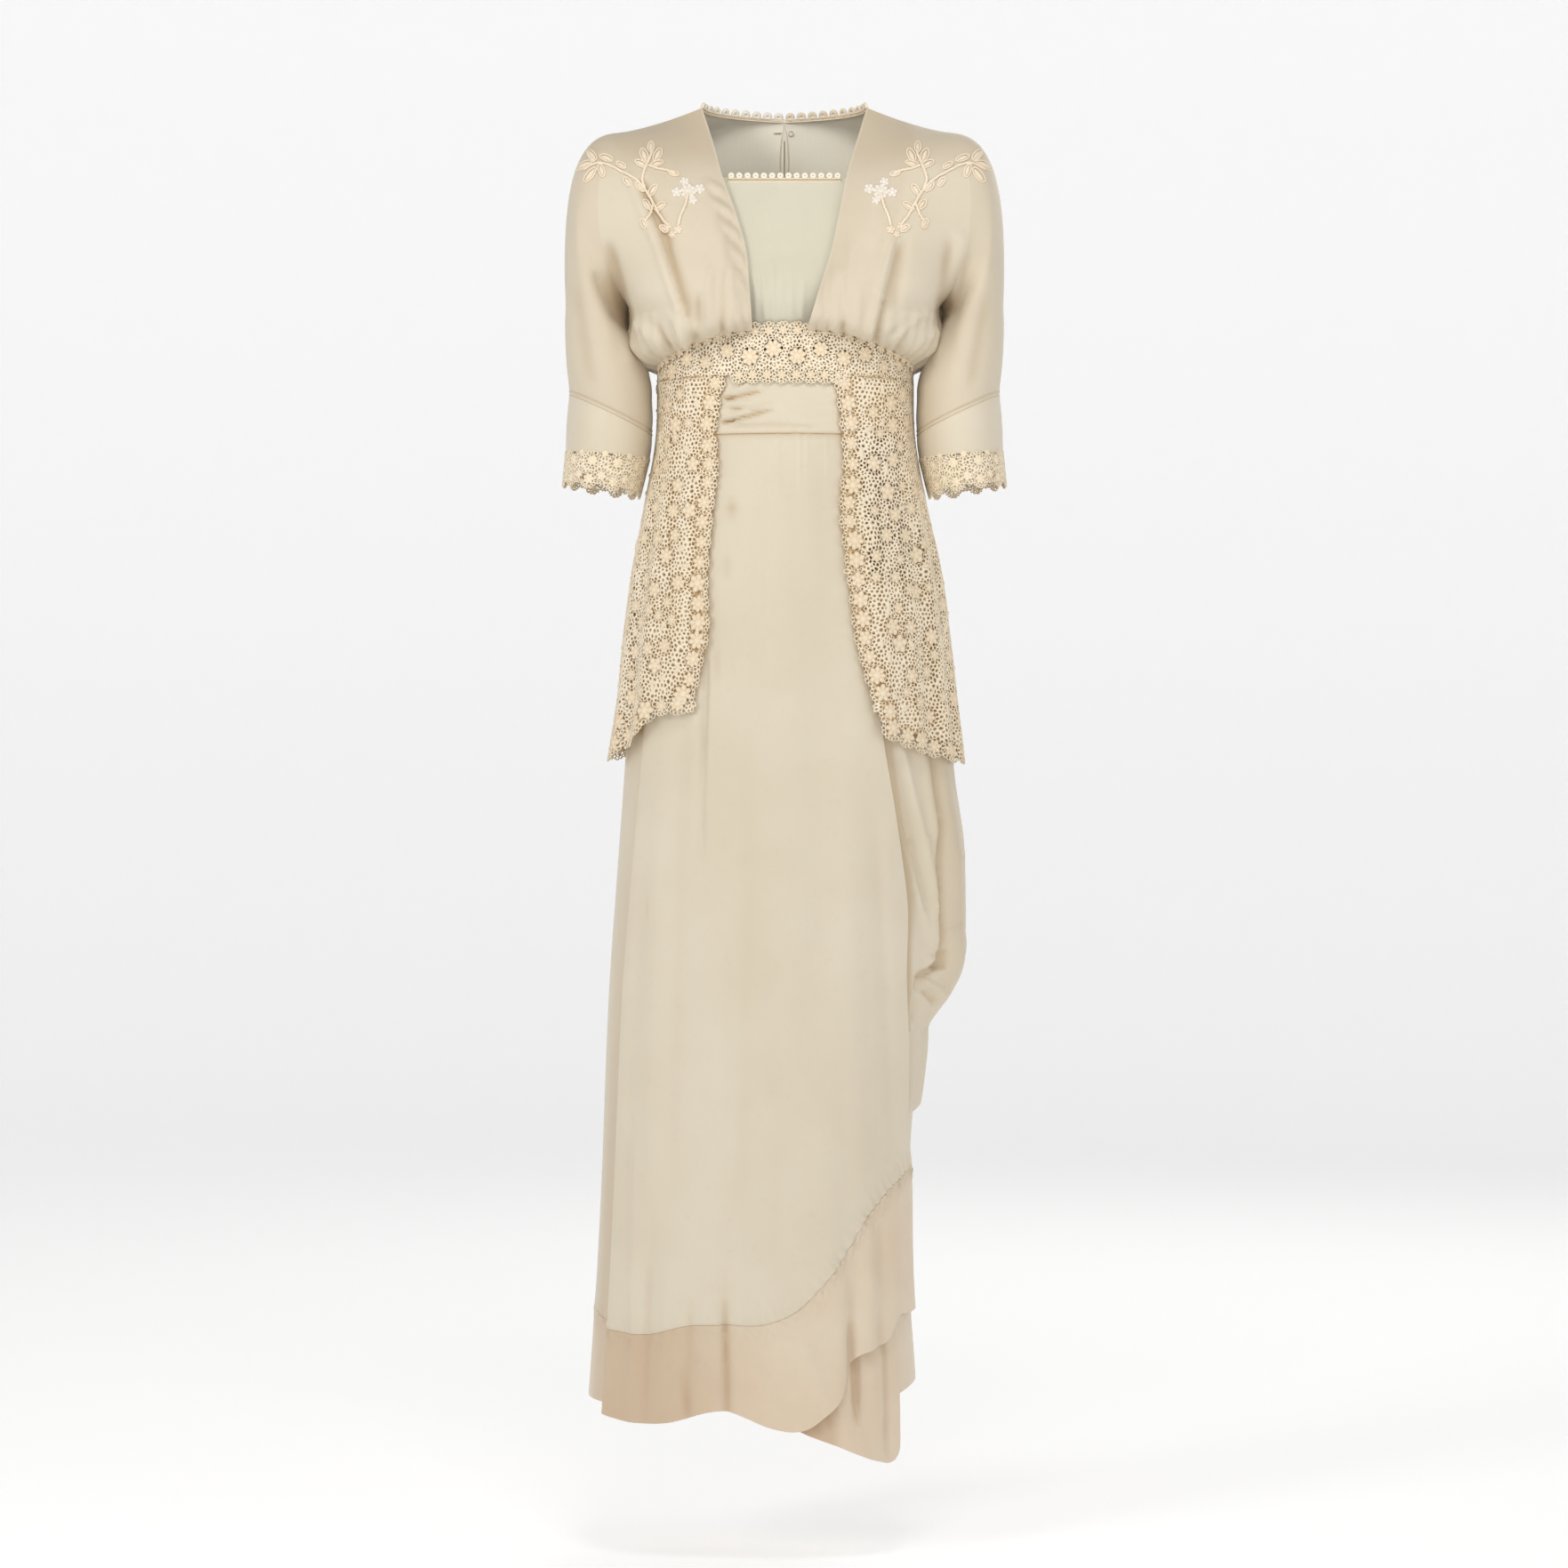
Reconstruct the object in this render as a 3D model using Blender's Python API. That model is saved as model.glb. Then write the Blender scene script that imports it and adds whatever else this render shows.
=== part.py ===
"""Peplum dress: a worn, hollow gown of silk with a crochet lace belt and an open lace peplum.

Sizes are in millimetres and are turned to metres when a mesh is made. The origin is midway between
the shoulders, where the wearer carries the dress. The front faces -Y, the wearer's left is +X, +Z is up.

Every cloth piece is a wall. Its outer side is a grid of points worked out from the tables below, and its
inner side is the same grid moved in by the cloth's thickness. Pieces that are sewn together share the
points of their seam, and each is then drawn back from the seam by half of SEAM_GAP.

Angles round the figure are in degrees: 0 is centre front, 90 is the wearer's left side, 180 is centre back.
"""

import math
from collections import namedtuple

import bmesh
import bpy
import numpy as np

MM = 0.001

# Cloth and seams
SILK = 1.2
LACE = 1.8
SEAM_GAP = 0.3
LAYER_GAP = 0.7
LACE_CLEAR = 1.2
SASH_THICK = 1.0

# How far each layer's outer side stands off the figure
UNDER_LAYER = 0.0
FRONT_LAYER = UNDER_LAYER + SILK + LAYER_GAP + SEAM_GAP
SASH_LAYER = FRONT_LAYER + SILK + LAYER_GAP
LACE_LAYER = SASH_LAYER + LACE + LACE_CLEAR
DRAPE_LAYER = UNDER_LAYER + SILK + 2 * LAYER_GAP

# Heights of the waist
SASH_TOP = -232.0
SASH_BOTTOM = -318.0
SKIRT_TOP = -306.0
BELT_BOTTOM = -257.0
BELT_PLAIN = 8.0
BELT_FRONT_COLUMNS = 12
BELT_SCALLOP_CREST = 8.0
BELT_SCALLOP_VALLEY = 3.0

CENTRE_BACK = 180.0
BACK_PARTING = 0.35

# A point well inside each hollow, which the cloth round it faces away from
BODICE_CORE = (0.0, 0.0, -100.0)
BODY_CORE = (0.0, 0.0)
SKIRT_CORE = (-15.0, 0.0)
DRAPE_CORE = (-5.0, 0.0)

# How often a height and an angle that depend on each other are worked out in turn
SETTLE_ROUNDS = 12

# The figure under the skirt and the waist: one level ring a row
Ring = namedtuple("Ring", "height centre half_width front back")
FIGURE = (
    Ring(-195, 1, 130, 98, 78),
    Ring(-250, 1, 130, 97, 79),
    Ring(-315, 1, 131, 99, 85),
    Ring(-390, 1, 142, 108, 99),
    Ring(-460, 2, 155, 115, 112),
    Ring(-530, 2, 164, 120, 121),
    Ring(-600, 2, 168, 123, 127),
    Ring(-675, 0, 171, 125, 131),
    Ring(-800, -8, 172, 128, 135),
    Ring(-900, -18, 169, 130, 138),
    Ring(-990, -25, 166, 131, 141),
    Ring(-1100, -31, 164, 133, 144),
    Ring(-1200, -34, 166, 136, 147),
    Ring(-1320, -34, 174, 140, 152),
    Ring(-1405, -36, 178, 143, 155),
)

# The armhole is an upright oval loop: its middle, its half sizes, and how far it bulges sideways
ARMHOLE_MIDDLE = (175.5, 0.0, -84.0)
ARMHOLE_HALF = (4.5, 68.0, 93.5)
ARMHOLE_BULGE = 21.0

# Bodice stations run from the shoulder seam (0) to the waist seam (8)
UNDERARM = 6.0
WAIST = 8.0
STATIONS = (0.0, 0.7, 1.4, 2.0, 2.8, 3.6, 4.4, 5.2, 6.0, 6.7, 7.4, 8.0)
UNDERARM_ROW = STATIONS.index(UNDERARM)
PANEL_COLUMNS = 12
GATHER_DEPTH = 2.2
GATHER_STATIONS = (4.5, 7.4)
BACK_NECK_STATION = 2.0

# The V edges of the two fronts, as seen from the front
NeckEdge = namedtuple("NeckEdge", "station left right depth height")
NECK_EDGES = (
    NeckEdge(0, 88.0, 88.0, 0, 37),
    NeckEdge(1, 76.5, 76.0, -38, -4),
    NeckEdge(2, 65.6, 65.6, -70, -44),
    NeckEdge(3, 57.5, 51.0, -92, -86),
    NeckEdge(4, 49.0, 40.0, -105, -126),
    NeckEdge(5, 39.0, 37.0, -116, -160),
    NeckEdge(6, 30.6, 35.0, -121, -188),
    NeckEdge(7, 26.5, 34.0, -117, -201),
    NeckEdge(8, 24.0, 33.4, -104, -210),
)

# The centre back line below the back neck
BackEdge = namedtuple("BackEdge", "station depth height")
CENTRE_BACK_LINE = (
    BackEdge(2, 62, 33),
    BackEdge(3, 74, -20),
    BackEdge(4, 85, -70),
    BackEdge(5, 91, -120),
    BackEdge(6, 92, -165),
    BackEdge(7, 89, -203),
    BackEdge(8, 85, -235),
)
BACK_NECK = ((88.0, 0.0, 37.0), (86.0, 60.0, 37.0), (BACK_PARTING, 62.0, 33.0))

# Where the cloth between the inner edge and the armhole is pulled to, one cross-section a row
Pull = namedtuple("Pull", "station near_x near_y near_z far_x far_y far_z")
FRONT_PULLS = (
    Pull(0, 116, 0, 25, 150, 0, 18),
    Pull(1, 108, -46, -6, 150, -46, -4),
    Pull(2, 100, -86, -48, 152, -84, -38),
    Pull(3, 96, -112, -92, 158, -108, -78),
    Pull(4, 90, -130, -132, 162, -126, -120),
    Pull(5, 82, -142, -168, 166, -130, -165),
    Pull(6, 80, -145, -196, 171, -108, -192),
    Pull(7, 76, -138, -214, 165, -100, -218),
    Pull(8, 72, -116, -216, 140, -76, -240),
)
BACK_PULLS = (
    Pull(0, 116, 0, 25, 150, 0, 18),
    Pull(1, 98, 44, 24, 150, 44, 4),
    Pull(2, 70, 80, 22, 160, 74, -20),
    Pull(3, 70, 88, -30, 165, 92, -60),
    Pull(4, 70, 100, -78, 165, 100, -112),
    Pull(5, 70, 102, -128, 166, 104, -160),
    Pull(6, 70, 102, -172, 171, 84, -188),
    Pull(7, 70, 98, -210, 165, 78, -216),
    Pull(8, 66, 92, -238, 140, 62, -244),
)

# The armhole's angle and the side seam, by station
Armhole = namedtuple("Armhole", "station turn")
ARMHOLE_TURNS = (
    Armhole(0, 0),
    Armhole(1, 30),
    Armhole(2, 55),
    Armhole(3, 80),
    Armhole(4, 110),
    Armhole(5, 148),
    Armhole(6, 180),
)
SideSeam = namedtuple("SideSeam", "station out height")
SIDE_SEAM = (
    SideSeam(6.0, 171.0, -177.5),
    SideSeam(6.7, 168.5, -203.0),
    SideSeam(7.4, 164.5, -231.0),
    SideSeam(8.0, 137.0, -246.0),
)

# The seam between bodice and belt, by angle
WaistSeam = namedtuple("WaistSeam", "angle height")
WAIST_SEAM = (
    WaistSeam(0, -210),
    WaistSeam(25, -213),
    WaistSeam(60, -232),
    WaistSeam(90, -246),
    WaistSeam(130, -240),
    WaistSeam(180, -235),
)

# Sleeve rings below the armhole: slanted seam, band hem, cuff hem
SleeveRing = namedtuple("SleeveRing", "centre half_width half_depth outer_height inner_height")
SLANTED_SEAM = SleeveRing(185.5, 44.0, 60.0, -269.0, -311.0)
BAND_HEM = SleeveRing(189.0, 44.5, 60.0, -332.0, -340.0)
CUFF_HEM = SleeveRing(193.7, 42.2, 60.0, -357.0, -368.0)
CUFF_POINT = 11.0
SLEEVE_ROWS = 7

# How the sleeve leaves the armhole and reaches the slanted seam
CROWN_REACH = 71.0
CROWN_SINK = 1.0
UNDERARM_REACH = 15.0
UNDERARM_SINK = 0.28
SEAM_REACH = 5.0
SEAM_HUG = 4.0
SEAM_RISE = 0.42

# How far the inner side of the sleeve is tucked in under the blousing of the bodice, by height.
# The tuck stops TUCK_CLEAR above the slanted seam.
TUCK_CLEAR = 1.0
Tuck = namedtuple("Tuck", "height inwards")
SLEEVE_TUCK = (
    Tuck(-180, 0.0),
    Tuck(-236, 0.0),
    Tuck(-246, 10.0),
    Tuck(-262, 8.0),
    Tuck(-275, 4.0),
    Tuck(-305, 0.0),
)

# Peplum: front edges (x of the cloth at a height) and hem (height by angle), edging left out
FrontEdge = namedtuple("FrontEdge", "height left right")
PEPLUM_FRONTS = (
    FrontEdge(-250, 51, 60),
    FrontEdge(-318, 60, 72),
    FrontEdge(-349, 62, 70),
    FrontEdge(-386, 58, 74),
    FrontEdge(-470, 66, 81),
    FrontEdge(-535, 74, 81),
    FrontEdge(-563, 81, 88),
    FrontEdge(-620, 98, 100),
)
PeplumHem = namedtuple("PeplumHem", "angle left right")
PEPLUM_HEMS = (
    PeplumHem(25, -606, -596),
    PeplumHem(35, -626, -605),
    PeplumHem(42, -634, -598),
    PeplumHem(52, -642, -606),
    PeplumHem(64, -648, -632),
    PeplumHem(78, -652, -646),
    PeplumHem(90, -650, -648),
    PeplumHem(130, -644, -644),
    PeplumHem(180, -640, -640),
)
PeplumStand = namedtuple("PeplumStand", "height out")
PEPLUM_STAND = (
    PeplumStand(-250, LACE_LAYER),
    PeplumStand(-311, LACE_LAYER + 0.4),
    PeplumStand(-390, 9.5),
    PeplumStand(-461, 10.5),
    PeplumStand(-532, 10.8),
    PeplumStand(-603, 14.0),
    PeplumStand(-660, 19.5),
)
PEPLUM_COLUMNS = 13
PEPLUM_ROWS = 12
PEPLUM_CROWDING = 0.94
PEPLUM_PARTING = 0.6
PEPLUM_FOLD = 2.2
PEPLUM_FOLD_START = -300.0
PEPLUM_FOLD_FULL = -480.0

# Gaps cut through the lace: their width as a share of a cell's, and how often a cell has one
LACE_HOLE = 0.34
LACE_HOLE_EVERY = 2

# Scalloped edging
SCALLOP_VALLEY = 3.5
SCALLOP_CREST = 9.5
SCALLOP_PARTS = 3

# Skirt front: free right edge by height, then hem and satin seam by angle
FRONT_LEFT_EDGE = -60.0
FreeEdge = namedtuple("FreeEdge", "height angle")
SKIRT_FREE_EDGE = (
    FreeEdge(-300, 35),
    FreeEdge(-640, 35.5),
    FreeEdge(-752, 44.5),
    FreeEdge(-819, 51),
    FreeEdge(-885, 55),
    FreeEdge(-966, 62.5),
    FreeEdge(-1046, 68.5),
    FreeEdge(-1102, 76),
    FreeEdge(-1180, 80),
    FreeEdge(-1260, 80),
)
HemPoint = namedtuple("HemPoint", "angle height")
FRONT_HEM = (
    HemPoint(-60, -1348),
    HemPoint(-50, -1352),
    HemPoint(-38, -1353),
    HemPoint(-30, -1351),
    HemPoint(-8, -1337),
    HemPoint(7.5, -1355),
    HemPoint(14, -1358.5),
    HemPoint(19, -1356),
    HemPoint(24, -1346),
    HemPoint(30, -1329),
    HemPoint(36, -1291),
    HemPoint(45, -1277),
    HemPoint(55, -1266),
    HemPoint(59, -1250),
    HemPoint(71, -1245),
    HemPoint(80, -1242),
)
FRONT_SATIN_SEAM = (
    HemPoint(-60, -1259),
    HemPoint(-38, -1260),
    HemPoint(-22, -1249),
    HemPoint(-8, -1247),
    HemPoint(6, -1246),
    HemPoint(17, -1231),
    HemPoint(24, -1211),
    HemPoint(36, -1169),
    HemPoint(44, -1138),
    HemPoint(50, -1123),
    HemPoint(57, -1108),
    HemPoint(64, -1099),
    HemPoint(80, -1084),
)

# Rows of the skirt panels as shares of their length, and the rows of the hem bands
SKIRT_DROPS = (0.0, 0.018, 0.09, 0.17, 0.27, 0.38, 0.50, 0.62, 0.75, 0.88, 1.0)
FRONT_BAND_DROPS = (1 / 3, 2 / 3, 1.0)
BACK_BAND_DROPS = (0.5, 1.0)
SKIRT_FRONT_COLUMNS = (
    0.0, 0.07, 0.15, 0.23, 0.31, 0.371, 0.43, 0.49, 0.55, 0.60,
    0.63, 0.66, 0.69, 0.72, 0.75, 0.78, 0.81, 0.84, 0.87, 0.91, 0.955, 1.0,
)

# Small waist pleats in the front, between two columns, deep at PLEATS_DEEP and gone at PLEATS_END
PLEATED_COLUMNS = (10, 18)
PLEAT_DEPTH = 1.1
PLEATS_START = -324.0
PLEATS_DEEP = -345.0
PLEATS_END = -430.0

# The free edge of the front stands off the cloth under it, from EDGE_LIFT_ANGLES on
EDGE_LIFT = 3.2
EDGE_LIFT_ANGLES = (14.0, 28.0)
EDGE_LIFT_START = -320.0
EDGE_LIFT_FULL = -400.0
BAND_TROUGH = 0.5

# Skirt back and under panel, by angle
BACK_ANGLES = (62,) + tuple(range(70, 301, 10))
BACK_HEM = (
    HemPoint(62, -1328),
    HemPoint(70, -1324),
    HemPoint(80, -1320),
    HemPoint(90, -1318),
    HemPoint(180, -1336),
    HemPoint(270, -1335.5),
    HemPoint(300, -1337),
)
BACK_SATIN_SEAM = (
    HemPoint(62, -1244),
    HemPoint(90, -1240),
    HemPoint(180, -1246),
    HemPoint(270, -1239),
    HemPoint(300, -1254),
)
# The under panel is a gore: wide at its hem and narrow at the waist
UNDER_ANGLES = (10, 20, 30, 40, 50, 57, 61.7)
UNDER_TOP_ANGLE = 42.0
UNDER_HEM = (
    HemPoint(10, -1348),
    HemPoint(20, -1363.5),
    HemPoint(30, -1375),
    HemPoint(40, -1387),
    HemPoint(50, -1396),
    HemPoint(57, -1398),
    HemPoint(62, -1388),
)

# Side drape and the tail fold under it: how far the cloth swells out at the side, by height
DRAPE_ANGLES = tuple(range(30, 151, 10))
DRAPE_DROPS = (0, 0.13, 0.26, 0.38, 0.49, 0.59, 0.69, 0.78, 0.86, 0.92, 0.97, 1.0)
DRAPE_TUCKED = 3.0
DRAPE_RISE = 26.0
DRAPE_FALL = 36.0
Swell = namedtuple("Swell", "height out")
DRAPE_SWELL = (
    Swell(-470, 0.0),
    Swell(-560, 1.0),
    Swell(-600, 2.5),
    Swell(-640, 5.0),
    Swell(-675, 8.0),
    Swell(-745, 20.0),
    Swell(-798, 26.5),
    Swell(-863, 33.0),
    Swell(-888, 32.5),
    Swell(-912, 28.0),
    Swell(-928, 15.0),
    Swell(-936, 4.0),
)
TAIL_ANGLES = (70, 80, 90, 100, 110)
TAIL_ROWS = 5
TAIL_RISE = (68.0, 84.0)
TAIL_FALL = (102.0, 116.0)
TAIL_SWELL = (
    Swell(-936, 4.0),
    Swell(-960, 6.5),
    Swell(-1000, 6.5),
    Swell(-1030, 5.0),
)
TAIL_HEM = (
    HemPoint(70, -1000),
    HemPoint(80, -1024),
    HemPoint(90, -1028),
    HemPoint(100, -1020),
    HemPoint(110, -990),
)

# Folds as seen from the front: two ends of the fold, its half width, and its height (minus is a trough).
# Cloth behind FOLDS_REACH has none of them.
FOLDS_REACH = 40.0
Fold = namedtuple("Fold", "x1 z1 x2 z2 half_width height")
BODICE_FOLDS = (
    Fold(-150, -40, -112, -178, 9, 2.5),
    Fold(-160, -198, -120, -226, 9, 3.0),
    Fold(-132, -186, -100, -214, 8, 2.5),
    Fold(150, -150, 118, -212, 9, 3.0),
    Fold(112, -120, 86, -196, 8, 2.0),
)
SKIRT_FOLDS = (
    Fold(-60, -1060, -60, -1345, 13, -5.0),
    Fold(-84, -560, -88, -730, 12, -2.0),
    Fold(66, -1225, 68, -1300, 12, -4.0),
    Fold(-168, -900, -174, -1300, 10, 2.0),
)
DRAPE_FOLDS = (
    Fold(110, -735, 140, -885, 10, 4.0),
    Fold(119, -660, 152, -800, 9, 3.0),
    Fold(166, -660, 158, -860, 9, -4.0),
    Fold(140, -880, 168, -912, 8, -4.0),
)

# Sash: its level pleats are deep in front and fade out towards the sides
SASH_ROWS = 5
SASH_COLUMNS = 38
SASH_PLEAT = 0.4
SASH_PLEAT_ANGLES = (30.0, 60.0)

# Chemisette: the square net front inside the V
Chemisette = namedtuple("Chemisette", "height depth round half_left half_right")
CHEMISETTE = (
    Chemisette(-46, -66, 0, 72, 72),
    Chemisette(-86, -87, 0, 62, 58),
    Chemisette(-126, -101, 0, 54, 46),
    Chemisette(-160, -111, 0.5, 46, 42),
    Chemisette(-188, -109, 3, 38, 40),
    Chemisette(-203, -101.5, 5, 34, 39),
)
CHEMISETTE_FOOT = -214.0
CHEMISETTE_COLUMNS = 18
CHEMISETTE_ROWS = 6
CHEMISETTE_GATHER = 1.0
CHEMISETTE_PLAIN = -110.0
CHEMISETTE_GATHERED = -190.0

# Picots: small round loops along an edge
PICOT_PARTS = 3
BACK_PICOT = 11.8
FRONT_PICOT = 8.7
PICOT_BASE = 1.6
PICOT_HEIGHT = 4.6
PICOT_LEAN = 0.3

# Hook and eye at the centre back neck: places are rows and columns of the back panels' grids
WIRE = 0.6
WIRE_SIDES = 6
EYE_RADIUS = 2.6
EYE_CORNERS = 12
EYE_COLUMN = 0.35
HOOK_LENGTH = 7.0
HOOK_BEND = 0.9
HOOK_CORNERS = 7
HOOK_TIP = 0.8
HOOK_COLUMN = 0.2
HOOK_ROW = 0.3

# Raised crochet sprigs on each front: place as row and column of the panel grid, petals and size
Flower = namedtuple("Flower", "name row column petals radius")
FRONT_FLOWERS = (
    Flower("rose", 3.5, 4.2, 6, 15.0),
    Flower("bud", 4.8, 4.8, 5, 8.5),
)
Sprig = namedtuple("Sprig", "name panel row1 column1 row2 column2 leaves width")
SPRIGS = (
    Sprig("stem", "bodice_front", 1.5, 7.0, 4.2, 5.6, 4, 7.5),
    Sprig("leaves", "sleeve_front", 0.5, 1.2, 1.9, 1.8, 3, 9.0),
)
SPRIG_GAP = 0.6
SPRIG_THICK = 1.5
SPRIG_STEPS = 12
SPRIG_STALK = 0.22
PETAL_STEPS = 4
PETAL_NOTCH = 0.22
PETAL_ROUND = 0.6
FLOWER_RINGS = ((0.5, 0.9, 0.0), (1.0, 1.0, 1.0))

SIDES = (("left", 1.0), ("right", -1.0))

Paint = namedtuple("Paint", "name colour roughness metallic")
CHIFFON = Paint("ivory_chiffon", (0.73, 0.65, 0.51), 0.55, 0.0)
NET = Paint("pale_net", (0.70, 0.66, 0.50), 0.75, 0.0)
SATIN = Paint("cream_satin", (0.76, 0.65, 0.49), 0.38, 0.0)
PEACH_SATIN = Paint("peach_satin", (0.72, 0.57, 0.40), 0.38, 0.0)
CROCHET = Paint("ecru_crochet", (0.72, 0.59, 0.41), 0.85, 0.0)
WHITE_CROCHET = Paint("white_crochet", (0.83, 0.76, 0.66), 0.85, 0.0)
STEEL = Paint("hook_steel", (0.45, 0.43, 0.40), 0.35, 1.0)

SHEETS = {}


def clear_scene():
    for item in list(bpy.data.objects):
        bpy.data.objects.remove(item, do_unlink=True)


def along(rows, column, at):
    """Smooth curve through one column of a table, read at values of the table's first column."""
    place = np.array([row[0] for row in rows], float)
    value = np.array([getattr(row, column) for row in rows], float)
    order = np.argsort(place)
    place = place[order]
    value = value[order]
    slope = np.gradient(value, place)
    at = np.clip(at, place[0], place[-1])
    i = np.clip(np.searchsorted(place, at) - 1, 0, len(place) - 2)
    width = place[i + 1] - place[i]
    t = (at - place[i]) / width
    start = (2 * t**3 - 3 * t**2 + 1) * value[i] + (t**3 - 2 * t**2 + t) * width * slope[i]
    end = (3 * t**2 - 2 * t**3) * value[i + 1] + (t**3 - t**2) * width * slope[i + 1]
    return start + end


def straight(rows, column, at):
    """Straight lines through one column of a table, read at values of the table's first column."""
    rows = sorted(rows)
    return np.interp(at, [row[0] for row in rows], [getattr(row, column) for row in rows])


def ramp(value, start, end):
    """0 before start, 1 after end, a soft step between."""
    t = np.clip((value - start) / (end - start), 0.0, 1.0)
    return t * t * (3 - 2 * t)


def unit(vectors):
    return vectors / np.linalg.norm(vectors, axis=-1, keepdims=True)


def on_figure(angle, height, out):
    """Point of the figure's ring at a height, moved out: half an ellipse in front, half behind."""
    angle, height, out = np.broadcast_arrays(*map(np.asarray, (angle, height, out)))
    turn = np.radians(angle.astype(float))
    height = height.astype(float)
    depth = np.where(np.cos(turn) > 0, along(FIGURE, "front", height), along(FIGURE, "back", height))
    half_width = along(FIGURE, "half_width", height)
    x = along(FIGURE, "centre", height) + (half_width + out) * np.sin(turn)
    y = -(depth + out) * np.cos(turn)
    return np.stack([x, y, height], axis=-1)


def angle_at(x, height, out):
    """Angle at which the front of the figure's ring has this x."""
    reach = along(FIGURE, "half_width", height) + out
    return np.degrees(np.arcsin(np.clip((x - along(FIGURE, "centre", height)) / reach, -1, 1)))


def relief(points, folds):
    """Height of the listed folds at each point: a round ridge or trough about each fold's line."""
    total = np.zeros(points.shape[:-1])
    spot = points[..., [0, 2]]
    for fold in folds:
        start = np.array([fold.x1, fold.z1], float)
        span = np.array([fold.x2, fold.z2], float) - start
        t = np.clip(((spot - start) @ span) / (span @ span), 0.0, 1.0)
        away = np.linalg.norm(spot - start - t[..., None] * span, axis=-1)
        total += fold.height * np.exp(-((away / fold.half_width) ** 2)) * (points[..., 1] < FOLDS_REACH)
    return total


def wall_direction(points, core, ring):
    """Unit vector out of the cloth at each grid point, away from the core point of the hollow."""
    down = np.gradient(points, axis=0)
    if ring:
        wrapped = np.concatenate([points[:, -1:], points, points[:, :1]], axis=1)
        across = (wrapped[:, 2:] - wrapped[:, :-2]) / 2
    else:
        across = np.gradient(points, axis=1)
    out = unit(np.cross(down, across))
    away = points - np.array([core[0], core[1], 0.0])
    away[..., 2] = points[..., 2] - core[2] if len(core) == 3 else 0.0
    return out if np.sum(out * away) > 0 else -out


def add_sheet(name, points, core, thick, paint, ring=False, holes=(), out=None):
    """Note a cloth piece: rows of points from top to bottom, its hollow's core, and its cloth."""
    if out is None:
        out = wall_direction(points, core, ring)
    SHEETS[name] = {
        "points": points, "out": out, "ease": np.zeros_like(points),
        "thick": thick, "paint": paint, "ring": ring, "holes": set(holes),
    }


def edge_cells(shape, ring):
    rows, columns = shape
    for row in range(rows):
        for column in range(columns):
            if row in (0, rows - 1) or (not ring and column in (0, columns - 1)):
                yield row, column


def sew_seams():
    """Where pieces share seam points, give both walls the same direction there.

    A tube counts twice where it meets two pieces, because it runs on both sides of their seam.
    In a sharp fold, such as the underarm, each piece is also eased towards its own inner side.
    """
    meetings = {}
    for sheet in SHEETS.values():
        for cell in edge_cells(sheet["points"].shape[:2], sheet["ring"]):
            key = tuple(np.round(sheet["points"][cell], 2) + 0.0)
            meetings.setdefault(key, []).append((sheet, cell))
    for members in meetings.values():
        common = unit(sum(
            sheet["out"][cell] * (2 if sheet["ring"] and len(members) == 3 else 1)
            for sheet, cell in members
        ))
        for sheet, cell in members:
            own = sheet["out"][cell].copy()
            sheet["ease"][cell] = -own * SEAM_GAP * (1 - own @ common)
            sheet["out"][cell] = common


def drawn_back(points, ring):
    """The grid with every open edge brought in along the cloth by half the seam gap."""
    moved = points.copy()
    for edge, inner in ((0, 1), (-1, -2)):
        moved[edge] += SEAM_GAP / 2 * unit(points[inner] - points[edge])
    if not ring:
        for edge, inner in ((0, 1), (-1, -2)):
            moved[:, edge] += SEAM_GAP / 2 * unit(points[:, inner] - points[:, edge])
    return moved


def make_material(paint):
    material = bpy.data.materials.get(paint.name)
    if material is None:
        material = bpy.data.materials.new(paint.name)
        material.use_nodes = True
        shader = material.node_tree.nodes["Principled BSDF"]
        shader.inputs["Base Color"].default_value = (*paint.colour, 1.0)
        shader.inputs["Roughness"].default_value = paint.roughness
        shader.inputs["Metallic"].default_value = paint.metallic
    return material


def make_object(name, corners, faces, paint, parent):
    """Closed mesh object from corners in millimetres, its faces turned outwards."""
    mesh = bpy.data.meshes.new(name)
    mesh.from_pydata([tuple(corner) for corner in np.asarray(corners) * MM], [], faces)
    shape = bmesh.new()
    shape.from_mesh(mesh)
    bmesh.ops.recalc_face_normals(shape, faces=shape.faces)
    shape.to_mesh(mesh)
    shape.free()
    mesh.materials.append(make_material(paint))
    mesh.shade_smooth()
    item = bpy.data.objects.new(name, mesh)
    item.parent = parent
    bpy.context.collection.objects.link(item)
    return item


def halves(around):
    """Places of the corners of a four-cornered face's two triangles, split along its shorter diagonal."""
    a, b, c, d = (np.asarray(point) for point in around)
    if np.linalg.norm(a - c) <= np.linalg.norm(b - d):
        return (0, 1, 2), (0, 2, 3)
    return (0, 1, 3), (1, 2, 3)


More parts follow.
